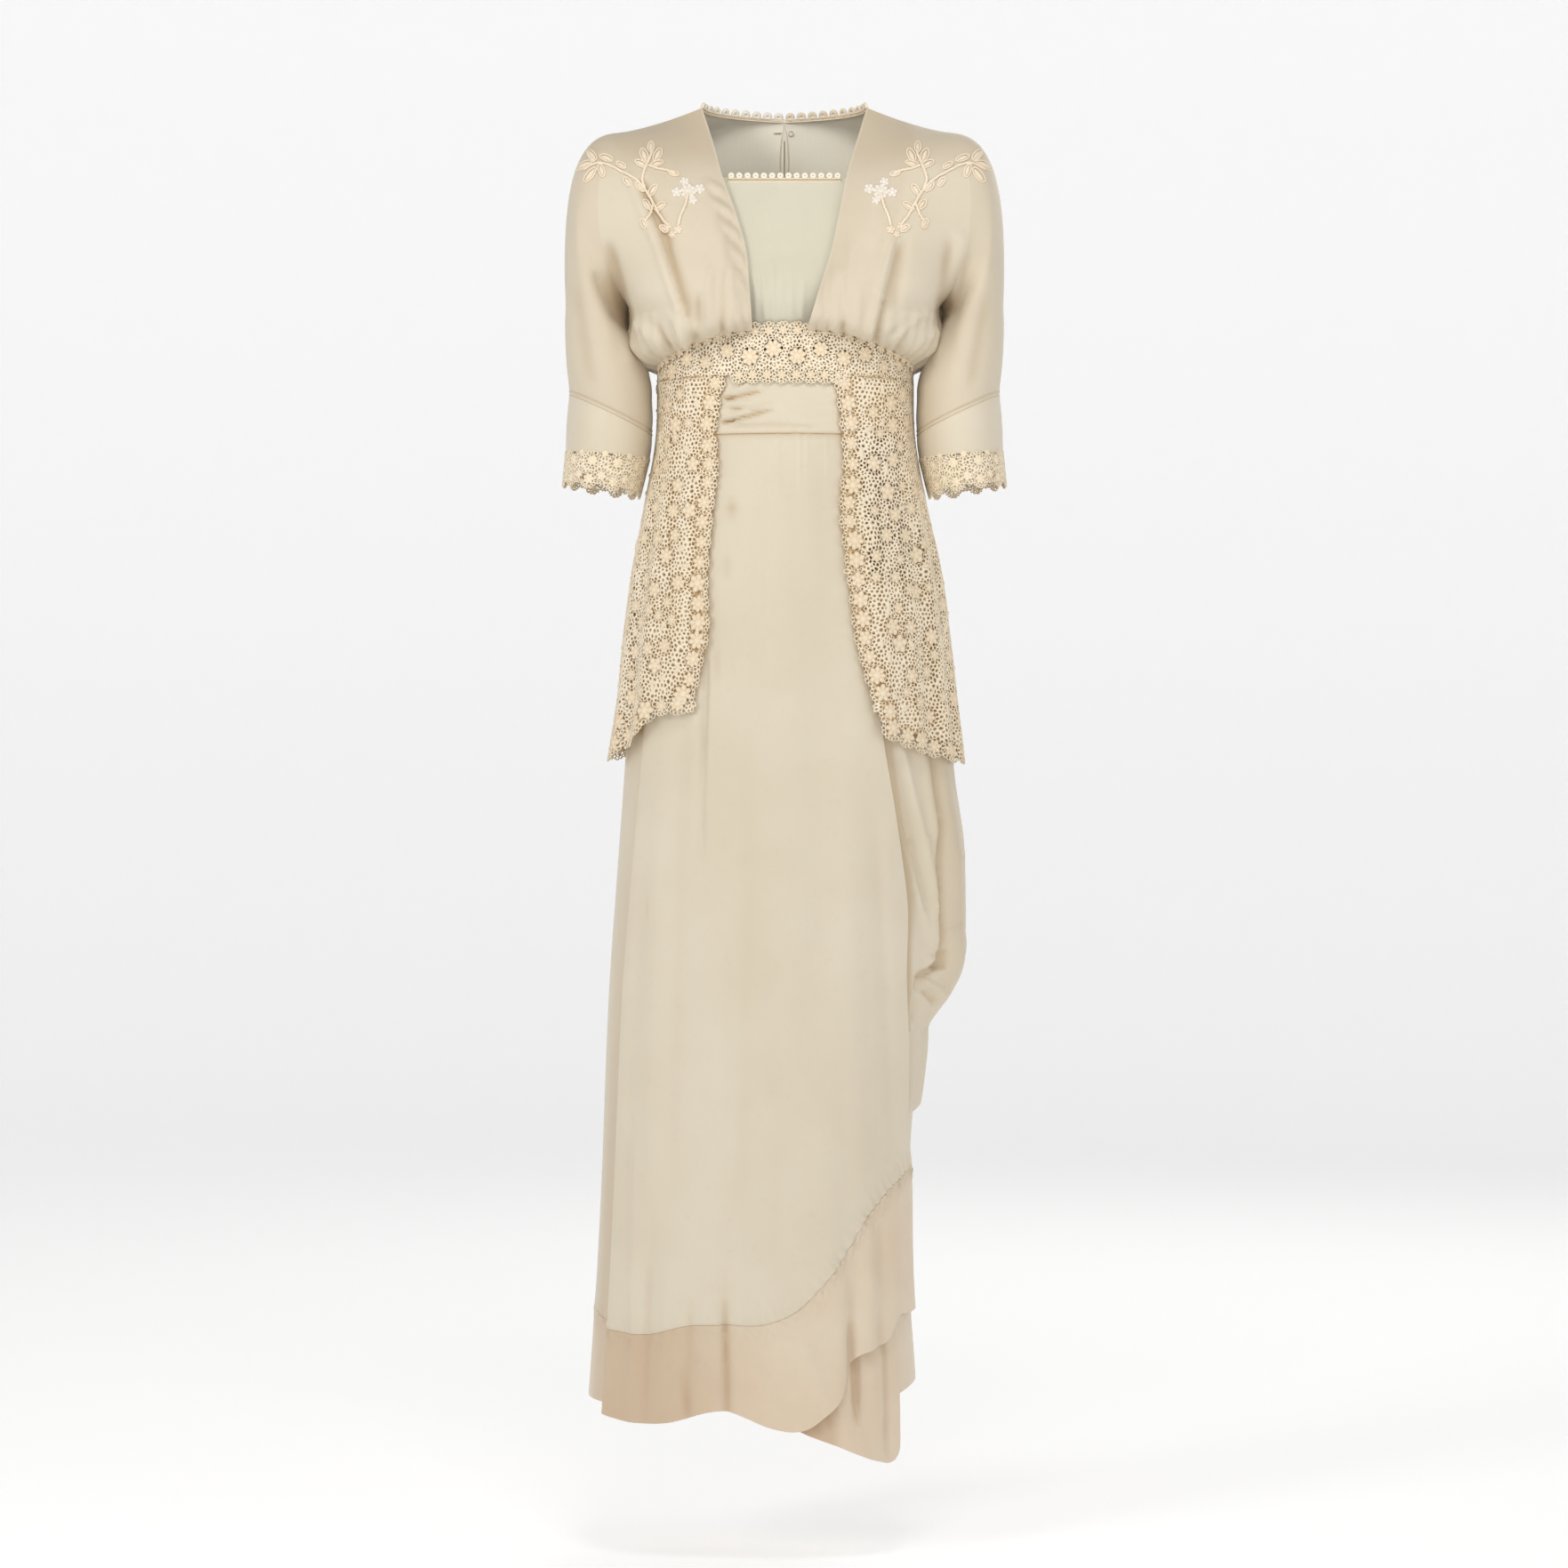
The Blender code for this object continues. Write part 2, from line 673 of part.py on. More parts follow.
def wall_object(name, sheet, parent):
    """The two sides of a cloth piece, the rims between them, and the lace holes through them.

    Both sides are split into triangles in the same way, so that a twisted face keeps its thickness.
    """
    ring = sheet["ring"]
    outer = drawn_back(sheet["points"], ring) + sheet["ease"]
    inner = outer - sheet["out"] * sheet["thick"]
    rows, columns = outer.shape[:2]
    corners = [tuple(point) for side in (outer, inner) for point in side.reshape(-1, 3)]
    under = rows * columns
    faces = []
    spans = columns if ring else columns - 1
    for row in range(rows - 1):
        for column in range(spans):
            following = (column + 1) % columns
            cell = [
                row * columns + column,
                row * columns + following,
                (row + 1) * columns + following,
                (row + 1) * columns + column,
            ]
            if (row, column) not in sheet["holes"]:
                for half in halves([corners[corner] for corner in cell]):
                    faces.append([cell[k] for k in half])
                    faces.append([cell[k] + under for k in reversed(half)])
                continue
            rims = []
            for side in (0, under):
                around = np.array([corners[corner + side] for corner in cell])
                middle = around.mean(axis=0)
                rims.append(range(len(corners), len(corners) + 4))
                corners.extend(tuple(middle + LACE_HOLE * (point - middle)) for point in around)
            for k in range(4):
                after = (k + 1) % 4
                above = [cell[k], cell[after], rims[0][after], rims[0][k]]
                below = [cell[k] + under, cell[after] + under, rims[1][after], rims[1][k]]
                for half in halves([corners[corner] for corner in above]):
                    faces.append([above[j] for j in half])
                    faces.append([below[j] for j in reversed(half)])
                faces.append([rims[0][k], rims[0][after], rims[1][after], rims[1][k]])
    for column in range(spans):
        following = (column + 1) % columns
        for start in (0, (rows - 1) * columns):
            a = start + column
            b = start + following
            faces.append([a, a + under, b + under, b] if start == 0 else [a, b, b + under, a + under])
    if not ring:
        for row in range(rows - 1):
            for start in (0, columns - 1):
                a = row * columns + start
                b = a + columns
                faces.append([a, b, b + under, a + under] if start == 0 else [a, a + under, b + under, b])
    return make_object(name, corners, faces, sheet["paint"], parent)


def bezier(points, t):
    """Cubic curve through four control points, at the values t."""
    a, b, c, d = (np.asarray(point, float) for point in points)
    t = np.asarray(t, float)[..., None]
    return (1 - t) ** 3 * a + 3 * t * (1 - t) ** 2 * b + 3 * t**2 * (1 - t) * c + t**3 * d


def waist_seam_height(angle):
    return along(WAIST_SEAM, "height", np.abs(angle))


def waist_angles(side, sign):
    """Angles of the bodice's lower corners on one side: front columns, then back columns."""
    edge = NECK_EDGES[-1]
    inner = getattr(edge, side)
    start = abs(float(angle_at(sign * inner, edge.height, LACE_LAYER)))
    front = sign * np.linspace(start, 90.0, PANEL_COLUMNS + 1)
    back = sign * np.linspace(CENTRE_BACK - BACK_PARTING / 2, 90.0, PANEL_COLUMNS + 1)
    return front, back


def armhole_point(turn, sign):
    """Point of the armhole loop: turn 0 is its top, 90 its front, 180 the underarm."""
    turn = math.radians(turn)
    x = ARMHOLE_MIDDLE[0] + ARMHOLE_HALF[0] * math.cos(turn) + ARMHOLE_BULGE * math.sin(turn) ** 2
    y = ARMHOLE_MIDDLE[1] - ARMHOLE_HALF[1] * math.sin(turn)
    z = ARMHOLE_MIDDLE[2] + ARMHOLE_HALF[2] * math.cos(turn)
    return np.array([sign * x, y, z])


def armhole_turn(station):
    return float(along(ARMHOLE_TURNS, "turn", station))


def outer_edge(station, sign, facing):
    """Outer edge of a bodice panel: the armhole loop, then the side seam. Facing is 1 in front, -1 behind."""
    if station <= UNDERARM:
        return armhole_point(facing * armhole_turn(station), sign)
    return np.array([sign * along(SIDE_SEAM, "out", station), 0.0, along(SIDE_SEAM, "height", station)])


def front_inner_edge(station, side, sign):
    x = sign * along(NECK_EDGES, side, station)
    return np.array([x, along(NECK_EDGES, "depth", station), along(NECK_EDGES, "height", station)])


def back_inner_edge(station, sign):
    """Back neck curve down to its station, then the centre back line."""
    if station <= BACK_NECK_STATION:
        t = station / BACK_NECK_STATION
        a, b, c = (np.array(point) for point in BACK_NECK)
        point = (1 - t) ** 2 * a + 2 * t * (1 - t) * b + t**2 * c
        return point * np.array([sign, 1.0, 1.0])
    depth = along(CENTRE_BACK_LINE, "depth", station)
    return np.array([sign * BACK_PARTING, depth, along(CENTRE_BACK_LINE, "height", station)])


def pulled(rows, station, sign):
    near = [along(rows, column, station) for column in ("near_x", "near_y", "near_z")]
    far = [along(rows, column, station) for column in ("far_x", "far_y", "far_z")]
    mirror = np.array([sign, 1.0, 1.0])
    return np.array(near) * mirror, np.array(far) * mirror


def bodice_panels():
    """Fronts and backs: cross-sections from the inner edge to the armhole, gathered into the waist seam."""
    for side, sign in SIDES:
        front_angles, back_angles = waist_angles(side, sign)
        steps = np.linspace(0.0, 1.0, PANEL_COLUMNS + 1)
        rows = []
        for station in STATIONS:
            near, far = pulled(FRONT_PULLS, station, sign)
            inner = front_inner_edge(station, side, sign)
            rows.append(bezier((inner, near, far, outer_edge(station, sign, 1)), steps))
        points = np.array(rows)
        points[-1] = on_figure(front_angles, waist_seam_height(front_angles), LACE_LAYER)
        out = wall_direction(points, BODICE_CORE, False)
        gathers = np.where(np.arange(PANEL_COLUMNS + 1) % 2, 1.0, -1.0)
        gathers[[0, -1]] = 0.0
        stations = np.array(STATIONS)
        depth = GATHER_DEPTH * ramp(stations, *GATHER_STATIONS) * (stations < WAIST)
        lift = depth[:, None] * gathers + relief(points, BODICE_FOLDS) * inside_mask(points.shape[:2])
        add_sheet(f"bodice_front_{side}", points + out * lift[..., None], BODICE_CORE, SILK, CHIFFON)

        rows = []
        for station in STATIONS:
            near, far = pulled(BACK_PULLS, station, sign)
            inner = back_inner_edge(station, sign)
            rows.append(bezier((inner, near, far, outer_edge(station, sign, -1)), steps))
        points = np.array(rows)
        points[-1] = on_figure(back_angles, waist_seam_height(back_angles), LACE_LAYER)
        add_sheet(f"bodice_back_{side}", points, BODICE_CORE, SILK, CHIFFON)


def inside_mask(shape):
    """1 inside a grid and 0 on its edges, so that seams keep their points."""
    mask = np.ones(shape)
    mask[[0, -1]] = 0.0
    mask[:, [0, -1]] = 0.0
    return mask


def sleeve_ring(ring, turns, sign):
    """Level or slanted ring of the sleeve: turn 0 is the outer side, 90 the front, 180 the inner side."""
    turn = np.radians(turns)
    x = sign * (ring.centre + ring.half_width * np.cos(turn))
    y = -ring.half_depth * np.sin(turn)
    middle = (ring.outer_height + ring.inner_height) / 2
    z = middle + (ring.outer_height - ring.inner_height) / 2 * np.cos(turn)
    return np.stack([x, y, z], axis=-1)


def sleeves():
    """Front and back of each sleeve, from the armhole's own points to the slanted seam, then a band."""
    down_stations = STATIONS[: UNDERARM_ROW + 1]
    for side, sign in SIDES:
        turns = [armhole_turn(station) for station in down_stations]
        turns += [360.0 - turn for turn in reversed(turns[1:-1])]
        turns = np.array(turns)
        top = np.array([armhole_point(turn, sign) for turn in turns])
        seam = sleeve_ring(SLANTED_SEAM, turns, sign)
        crown = (1 + np.cos(np.radians(turns))) / 2
        drop = np.linalg.norm(seam - top, axis=-1)
        out = CROWN_REACH * crown + UNDERARM_REACH * (1 - crown)
        sink = CROWN_SINK * crown + UNDERARM_SINK * drop * (1 - crown)
        first_pull = top + np.stack([sign * out, 0 * crown, -sink], axis=-1)
        out = SEAM_REACH * crown - SEAM_HUG * (1 - crown)
        second_pull = seam + np.stack([sign * out, 0 * crown, SEAM_RISE * drop], axis=-1)
        steps = np.linspace(0.0, 1.0, SLEEVE_ROWS + 1)
        points = np.stack([bezier((top, first_pull, second_pull, seam), np.full(len(turns), t)) for t in steps])
        tuck = along(SLEEVE_TUCK, "inwards", points[..., 2]) * (1 - crown) ** 3
        points[..., 0] -= sign * tuck * (points[..., 2] > seam[:, 2] + TUCK_CLEAR)
        core = (sign * SLANTED_SEAM.centre, 0.0)
        halfway = UNDERARM_ROW + 1
        add_sheet(f"sleeve_front_{side}", points[:, :halfway], core, SILK, CHIFFON)
        back = np.concatenate([points[:, UNDERARM_ROW:], points[:, :1]], axis=1)
        add_sheet(f"sleeve_back_{side}", back, core, SILK, CHIFFON)
        hem = sleeve_ring(BAND_HEM, turns, sign)
        band = np.stack([seam, (seam + hem) / 2, hem])
        add_sheet(f"sleeve_band_{side}", band, core, SILK, SATIN, ring=True)


def subdivided(line, parts, closed):
    """Points on the straight pieces of a line, each piece cut into equal parts."""
    following = np.roll(line, -1, axis=0)
    count = len(line) if closed else len(line) - 1
    cut = [line[i] + (following[i] - line[i]) * k / parts for i in range(count) for k in range(parts)]
    if not closed:
        cut.append(line[-1])
    return np.array(cut)


def cuffs():
    """Lace cuffs: the band's hem points, and a lower edge that runs out to one point a column."""
    for side, sign in SIDES:
        band = SHEETS[f"sleeve_band_{side}"]
        top = subdivided(band["points"][-1], SCALLOP_PARTS, True)
        turns = np.degrees(np.arctan2(-top[:, 1] / BAND_HEM.half_depth,
                                      (sign * top[:, 0] - BAND_HEM.centre) / BAND_HEM.half_width))
        hem = sleeve_ring(CUFF_HEM, turns, sign)
        crest = np.arange(len(top)) % SCALLOP_PARTS > 0
        hem[:, 2] -= CUFF_POINT * crest
        points = np.stack([top, hem])
        add_sheet(f"cuff_lace_{side}", points, (sign * CUFF_HEM.centre, 0.0), LACE, CROCHET, ring=True)


def chemisette():
    """Net front inside the V, gathered into the waist; its foot lies just inside the belt."""
    steps = np.linspace(-1.0, 1.0, CHEMISETTE_COLUMNS + 1)
    heights = np.linspace(CHEMISETTE[0].height, CHEMISETTE[-1].height, CHEMISETTE_ROWS)
    rows = []
    for height in heights:
        left = along(CHEMISETTE, "half_left", height)
        right = along(CHEMISETTE, "half_right", height)
        x = (left - right) / 2 + steps * (left + right) / 2
        y = along(CHEMISETTE, "depth", height) + along(CHEMISETTE, "round", height) * steps**2
        rows.append(np.stack([x, y, height + 0 * x], axis=-1))
    foot = CHEMISETTE[-1]
    inside = LACE_LAYER - LACE - LAYER_GAP
    start = angle_at(-foot.half_right, CHEMISETTE_FOOT, inside)
    end = angle_at(foot.half_left, CHEMISETTE_FOOT, inside)
    angles = start + (steps + 1) / 2 * (end - start)
    rows.append(on_figure(angles, CHEMISETTE_FOOT, inside))
    points = np.array(rows)
    gathers = np.where(np.arange(CHEMISETTE_COLUMNS + 1) % 2, 0.0, 1.0)
    depth = CHEMISETTE_GATHER * ramp(points[:, 0, 2], CHEMISETTE_PLAIN, CHEMISETTE_GATHERED)
    points[..., 1] += depth[:, None] * gathers * (points[..., 2] > CHEMISETTE_FOOT)
    add_sheet("chemisette", points, BODY_CORE, SILK, NET)


def belt():
    """Lace belt round the high waist, open at centre back, its top edge on the bodice's points."""
    left_front, left_back = waist_angles("left", 1.0)
    right_front, right_back = waist_angles("right", -1.0)
    middle = np.linspace(right_front[0], left_front[0], BELT_FRONT_COLUMNS)[1:-1]
    angles = np.concatenate([right_back[:-1], right_front[::-1], middle, left_front, left_back[::-1][1:]])
    top = waist_seam_height(angles)
    open_left = angle_at(PEPLUM_FRONTS[0].left, BELT_BOTTOM, LACE_LAYER) - BELT_PLAIN
    open_right = angle_at(PEPLUM_FRONTS[0].right, BELT_BOTTOM, LACE_LAYER) - BELT_PLAIN
    front = (angles > -open_right) & (angles < open_left)
    scallop = np.where(np.arange(len(angles)) % 2, BELT_SCALLOP_VALLEY, BELT_SCALLOP_CREST)
    low = BELT_BOTTOM - scallop * front
    heights = np.stack([top, (top + low) / 2, low])
    points = on_figure(angles[None, :], heights, LACE_LAYER)
    add_sheet("lace_belt", points, BODY_CORE, LACE, CROCHET)


def sash():
    """Satin sash under the belt, laid in level pleats, open at centre back."""
    angles = np.linspace(-CENTRE_BACK + BACK_PARTING, CENTRE_BACK - BACK_PARTING, SASH_COLUMNS + 1)
    steps = np.linspace(0.0, 1.0, SASH_ROWS + 1)
    heights = SASH_TOP + steps * (SASH_BOTTOM - SASH_TOP)
    pleat = np.where(np.arange(SASH_ROWS + 1) % 2, SASH_PLEAT, 0.0)
    inset = pleat[:, None] * (1 - ramp(np.abs(angles), *SASH_PLEAT_ANGLES))
    stand = np.where(steps > 0, 0.0, LAYER_GAP)[:, None]
    points = on_figure(angles[None, :], heights[:, None], SASH_LAYER - inset + stand)
    add_sheet("waist_sash", points, BODY_CORE, SASH_THICK, SATIN)


def peplum():
    """Lace peplum: each side from its front edge round to centre back, in soft folds, with cut gaps."""
    for side, sign in SIDES:
        steps = np.linspace(0.0, 1.0, PEPLUM_COLUMNS + 1) ** PEPLUM_CROWDING
        drops = np.linspace(0.0, 1.0, PEPLUM_ROWS + 1)
        points = np.zeros((PEPLUM_ROWS + 1, PEPLUM_COLUMNS + 1, 3))
        wave = np.where(np.arange(PEPLUM_COLUMNS + 1) % 2, 1.0, -1.0)
        for i, drop in enumerate(drops):
            height = BELT_BOTTOM + drop * (PEPLUM_HEMS[0].left - BELT_BOTTOM) + 0 * steps
            for _ in range(SETTLE_ROUNDS):
                edge = along(PEPLUM_FRONTS, side, height)
                start = np.abs(angle_at(sign * edge, height, along(PEPLUM_STAND, "out", height)))
                angle = start + steps * (CENTRE_BACK - PEPLUM_PARTING - start)
                hem = straight(PEPLUM_HEMS, side, angle)
                height = BELT_BOTTOM - SEAM_GAP + drop * (hem - BELT_BOTTOM)
            fold = PEPLUM_FOLD * ramp(height, PEPLUM_FOLD_START, PEPLUM_FOLD_FULL) * wave
            stand = along(PEPLUM_STAND, "out", height)
            points[i] = on_figure(sign * angle, height, stand + fold)
        holes = [
            (row, column)
            for row in range(1, PEPLUM_ROWS - 1)
            for column in range(1, PEPLUM_COLUMNS - 1)
            if (row + column) % LACE_HOLE_EVERY == 0
        ]
        add_sheet(f"peplum_{side}", points, BODY_CORE, LACE, CROCHET, holes=holes)


def scalloped(line, out, outward, valley, crest, parts):
    """Strip beside a line: its near row lies on the line, its far row runs out in one scallop a piece."""
    near = subdivided(line, parts, False)
    direction = unit(subdivided(outward, parts, False))
    normal = unit(subdivided(out, parts, False))
    phase = np.arange(len(near)) % parts / parts
    reach = valley + (crest - valley) * np.sin(np.pi * phase)
    far = near + direction * reach[:, None]
    return np.stack([near + direction * SEAM_GAP / 2, far]), np.stack([normal, normal])


def peplum_edgings():
    """Scalloped edging down each front edge of the peplum and along its hem."""
    for side, _ in SIDES:
        cloth = SHEETS[f"peplum_{side}"]
        points, out = cloth["points"], cloth["out"]
        down = points[:, 0] - points[:, 1]
        below = points[-1] - points[-2]
        corner = unit(down[-1]) + unit(below[0])
        line = np.concatenate([points[:, 0], points[-1, 1:]])
        normals = np.concatenate([out[:, 0], out[-1, 1:]])
        outward = np.concatenate([unit(down[:-1]), [unit(corner)], unit(below[1:])])
        strip, normal = scalloped(line, normals, outward, SCALLOP_VALLEY, SCALLOP_CREST, SCALLOP_PARTS)
        add_sheet(f"peplum_edging_{side}", strip, BODY_CORE, LACE, CROCHET, out=normal)


def skirt_front():
    """Wrapped front panel and its satin hem band, over the under layers, with a free left edge."""
    steps = np.array(SKIRT_FRONT_COLUMNS)
    columns = np.arange(len(steps))
    first, last = PLEATED_COLUMNS
    pleats = (columns >= first) & (columns <= last) & (columns % 2 == 1)
    length = FRONT_HEM[0].height - SKIRT_TOP
    rows = []
    for part, drops in (("panel", SKIRT_DROPS), ("band", FRONT_BAND_DROPS)):
        for drop in drops:
            height = SKIRT_TOP + length * drop + 0 * steps
            for _ in range(SETTLE_ROUNDS):
                angle = FRONT_LEFT_EDGE + steps * (along(SKIRT_FREE_EDGE, "angle", height) - FRONT_LEFT_EDGE)
                seam = straight(FRONT_SATIN_SEAM, "height", angle)
                hem = straight(FRONT_HEM, "height", angle)
                if part == "panel":
                    height = SKIRT_TOP + drop * (seam - SKIRT_TOP)
                else:
                    height = seam + drop * (hem - seam)
            lift = EDGE_LIFT * ramp(angle, *EDGE_LIFT_ANGLES) * ramp(height, EDGE_LIFT_START, EDGE_LIFT_FULL)
            pleat = PLEAT_DEPTH * pleats * ramp(height, PLEATS_START, PLEATS_DEEP)
            pleat = pleat * ramp(height, PLEATS_END, PLEATS_DEEP)
            flat = on_figure(angle, height, 0)
            folds = relief(flat, SKIRT_FOLDS)
            deepest = FRONT_LAYER - SILK - SEAM_GAP if part == "panel" else BAND_TROUGH
            folds = np.maximum(folds, -deepest)
            rows.append(on_figure(angle, height, FRONT_LAYER + lift + pleat + folds))
    points = np.array(rows)
    add_sheet("skirt_front", points[: len(SKIRT_DROPS)], SKIRT_CORE, SILK, SATIN)
    add_sheet("skirt_front_band", points[len(SKIRT_DROPS) - 1:], SKIRT_CORE, SILK, PEACH_SATIN)


def skirt_back():
    """Back panel and its satin hem band, from the wearer's left side round to under the right front."""
    angles = np.array(BACK_ANGLES, float)
    seam = straight(BACK_SATIN_SEAM, "height", angles)
    hem = straight(BACK_HEM, "height", angles)
    upper = np.array(SKIRT_DROPS)[:, None]
    lower = np.array(BACK_BAND_DROPS)[:, None]
    heights = np.concatenate([SKIRT_TOP + upper * (seam - SKIRT_TOP), seam + lower * (hem - seam)])
    points = on_figure(angles[None, :], heights, UNDER_LAYER)
    add_sheet("skirt_back", points[: len(SKIRT_DROPS)], SKIRT_CORE, SILK, SATIN)
    add_sheet("skirt_back_band", points[len(SKIRT_DROPS) - 1:], SKIRT_CORE, SILK, PEACH_SATIN)


def under_panel():
    """Panel under the open front edge, longer than the rest, with a rounded corner."""
    angles = np.array(UNDER_ANGLES, float)
    hem = straight(UNDER_HEM, "height", angles)
    drops = np.array(SKIRT_DROPS)[:, None]
    heights = SKIRT_TOP + drops * (hem - SKIRT_TOP)
    width = angles[-1] - angles[0]
    narrowed = (UNDER_TOP_ANGLE - angles[0]) * (angles[-1] - angles) / width
    points = on_figure(angles + (1 - drops) * narrowed, heights, UNDER_LAYER)
    add_sheet("skirt_under_panel", points, SKIRT_CORE, SILK, PEACH_SATIN)


def drape_fullness(angle, height):
    """Share of the swell at an angle: none under the front panel, all at the side, none behind."""
    start = along(SKIRT_FREE_EDGE, "angle", height) + DRAPE_TUCKED
    end = DRAPE_ANGLES[-1]
    return ramp(angle, start, start + DRAPE_RISE) * ramp(angle, end, end - DRAPE_FALL)


def side_drape():
    """Cloth draped over the wearer's left hip, swelling to a pouch that tucks in at its foot."""
    angles = np.array(DRAPE_ANGLES, float)[None, :]
    top, foot = DRAPE_SWELL[0].height, DRAPE_SWELL[-1].height
    steps = np.array(DRAPE_DROPS)[:, None]
    heights = top + steps * (foot - top) + 0 * angles
    full = drape_fullness(angles, heights)
    flat = on_figure(angles, heights, 0)
    folds = relief(flat, DRAPE_FOLDS) * full
    points = on_figure(angles, heights, DRAPE_LAYER + along(DRAPE_SWELL, "out", heights) * full + folds)
    add_sheet("side_drape", points, DRAPE_CORE, SILK, SATIN)

    tail = np.array(TAIL_ANGLES, float)[None, :]
    drops = np.linspace(0.0, 1.0, TAIL_ROWS)[:, None]
    heights = foot + drops * (straight(TAIL_HEM, "height", tail) - foot)
    full = ramp(tail, *TAIL_RISE) * (1 - ramp(tail, *TAIL_FALL))
    points_tail = on_figure(tail, heights, DRAPE_LAYER + along(TAIL_SWELL, "out", heights) * full)
    first = DRAPE_ANGLES.index(TAIL_ANGLES[0])
    points_tail[0] = points[-1, first: first + len(TAIL_ANGLES)]
    add_sheet("drape_tail", points_tail, SKIRT_CORE, SILK, SATIN)


def picot_strip(name, line, out, outward, pitch):
    """Row of small scallops along an edge, about one pitch long each."""
    length = np.linalg.norm(np.diff(line, axis=0), axis=1)
    near = []
    directions = []
    normals = []
    phases = []
    for i, span in enumerate(length):
        count = max(1, round(span / pitch)) * PICOT_PARTS
        for k in range(count):
            t = k / count
            near.append(line[i] + (line[i + 1] - line[i]) * t)
            directions.append(outward[i] * (1 - t) + outward[i + 1] * t)
            normals.append(out[i] * (1 - t) + out[i + 1] * t)
            phases.append(k % PICOT_PARTS / PICOT_PARTS)
    near.append(line[-1])
    directions.append(outward[-1])
    normals.append(out[-1])
    phases.append(0.0)
    direction = unit(np.array(directions))
    normal = unit(np.array(normals))
    reach = PICOT_BASE + PICOT_HEIGHT * np.sin(np.pi * np.array(phases))
    near = np.array(near)
    strip = np.stack([near + direction * SEAM_GAP / 2, near + direction * reach[:, None]])
    add_sheet(name, strip, BODY_CORE, SILK, CROCHET, out=np.stack([normal, normal]))


def picots():
    """Picot edging on the back neck, one half a side, and along the top of the chemisette."""
    last = STATIONS.index(BACK_NECK_STATION) + 1
    for side, _ in SIDES:
        cloth = SHEETS[f"bodice_back_{side}"]
        line = cloth["points"][:last, 0]
        outward = unit(line - cloth["points"][:last, 1])
        outward = unit(outward * PICOT_LEAN + np.array([0.0, 0.0, 1.0]))
        picot_strip(f"neck_picots_{side}", line[1:], cloth["out"][1:last, 0], outward[1:], BACK_PICOT)
    cloth = SHEETS["chemisette"]
    line = cloth["points"][0]
    outward = unit(line - cloth["points"][1])
    picot_strip("chemisette_picots", line, cloth["out"][0], outward, FRONT_PICOT)


def on_sheet(name, row, column):
    """Point and wall direction on a sheet's outer side, between its grid points."""
    sheet = SHEETS[name]
    rows, columns = sheet["points"].shape[:2]
    i = min(max(int(row), 0), rows - 2)
    j = min(max(int(column), 0), columns - 2)
    t = min(max(row - i, 0.0), 1.0)
    s = min(max(column - j, 0.0), 1.0)
    values = []
    for key in ("points", "out"):
        grid = sheet[key]
        upper = grid[i, j] * (1 - s) + grid[i, j + 1] * s
        lower = grid[i + 1, j] * (1 - s) + grid[i + 1, j + 1] * s
        values.append(upper * (1 - t) + lower * t)
    return values[0], values[1] / np.linalg.norm(values[1])


def cell_size(name, row, column):
    """Real length of one row step and one column step at a place on a sheet."""
    here = on_sheet(name, row, column)[0]
    down = on_sheet(name, row + 0.5, column)[0]
    across = on_sheet(name, row, column + 0.5)[0]
    return 2 * np.linalg.norm(down - here), 2 * np.linalg.norm(across - here)


def raised_shape(name, panel, places, faces, paint, parent):
    """Flat crochet shape lying on a panel: the same places twice, at its gap and at its full height."""
    low = []
    high = []
    for row, column in places:
        point, out = on_sheet(panel, row, column)
        low.append(point + out * SPRIG_GAP)
        high.append(point + out * (SPRIG_GAP + SPRIG_THICK))
    count = len(places)
    edges = {}
    for face in faces:
        for a, b in zip(face, face[1:] + face[:1]):
            edges[(a, b)] = edges.get((a, b), 0) + 1
    walls = [[a, b, b + count, a + count] for a, b in edges if (b, a) not in edges]
    solid = [[corner + count for corner in face] for face in faces] + [face[::-1] for face in faces]
    make_object(name, low + high, solid + [wall[::-1] for wall in walls], paint, parent)


def flowers(parent):
    """Round crochet flowers on each front: a ring of petals about a middle."""
    for side, _ in SIDES:
        for flower in FRONT_FLOWERS:
            panel = f"bodice_front_{side}"
            row_size, column_size = cell_size(panel, flower.row, flower.column)
            count = flower.petals * PETAL_STEPS
            places = [(flower.row, flower.column)]
            for share, fullness, notched in FLOWER_RINGS:
                for k in range(count):
                    turn = 2 * math.pi * k / count
                    notch = 1 - abs(math.sin(flower.petals * turn / 2)) ** PETAL_ROUND
                    reach = flower.radius * share * (fullness - PETAL_NOTCH * notched * notch)
                    row = flower.row + reach * math.sin(turn) / row_size
                    places.append((row, flower.column + reach * math.cos(turn) / column_size))
            faces = [[0, 1 + k, 1 + (k + 1) % count] for k in range(count)]
            for k in range(count):
                after = (k + 1) % count
                faces.append([1 + k, 1 + count + k, 1 + count + after, 1 + after])
            paint = WHITE_CROCHET if flower.name == "rose" else CROCHET
            raised_shape(f"{flower.name}_{side}", panel, places, faces, paint, parent)


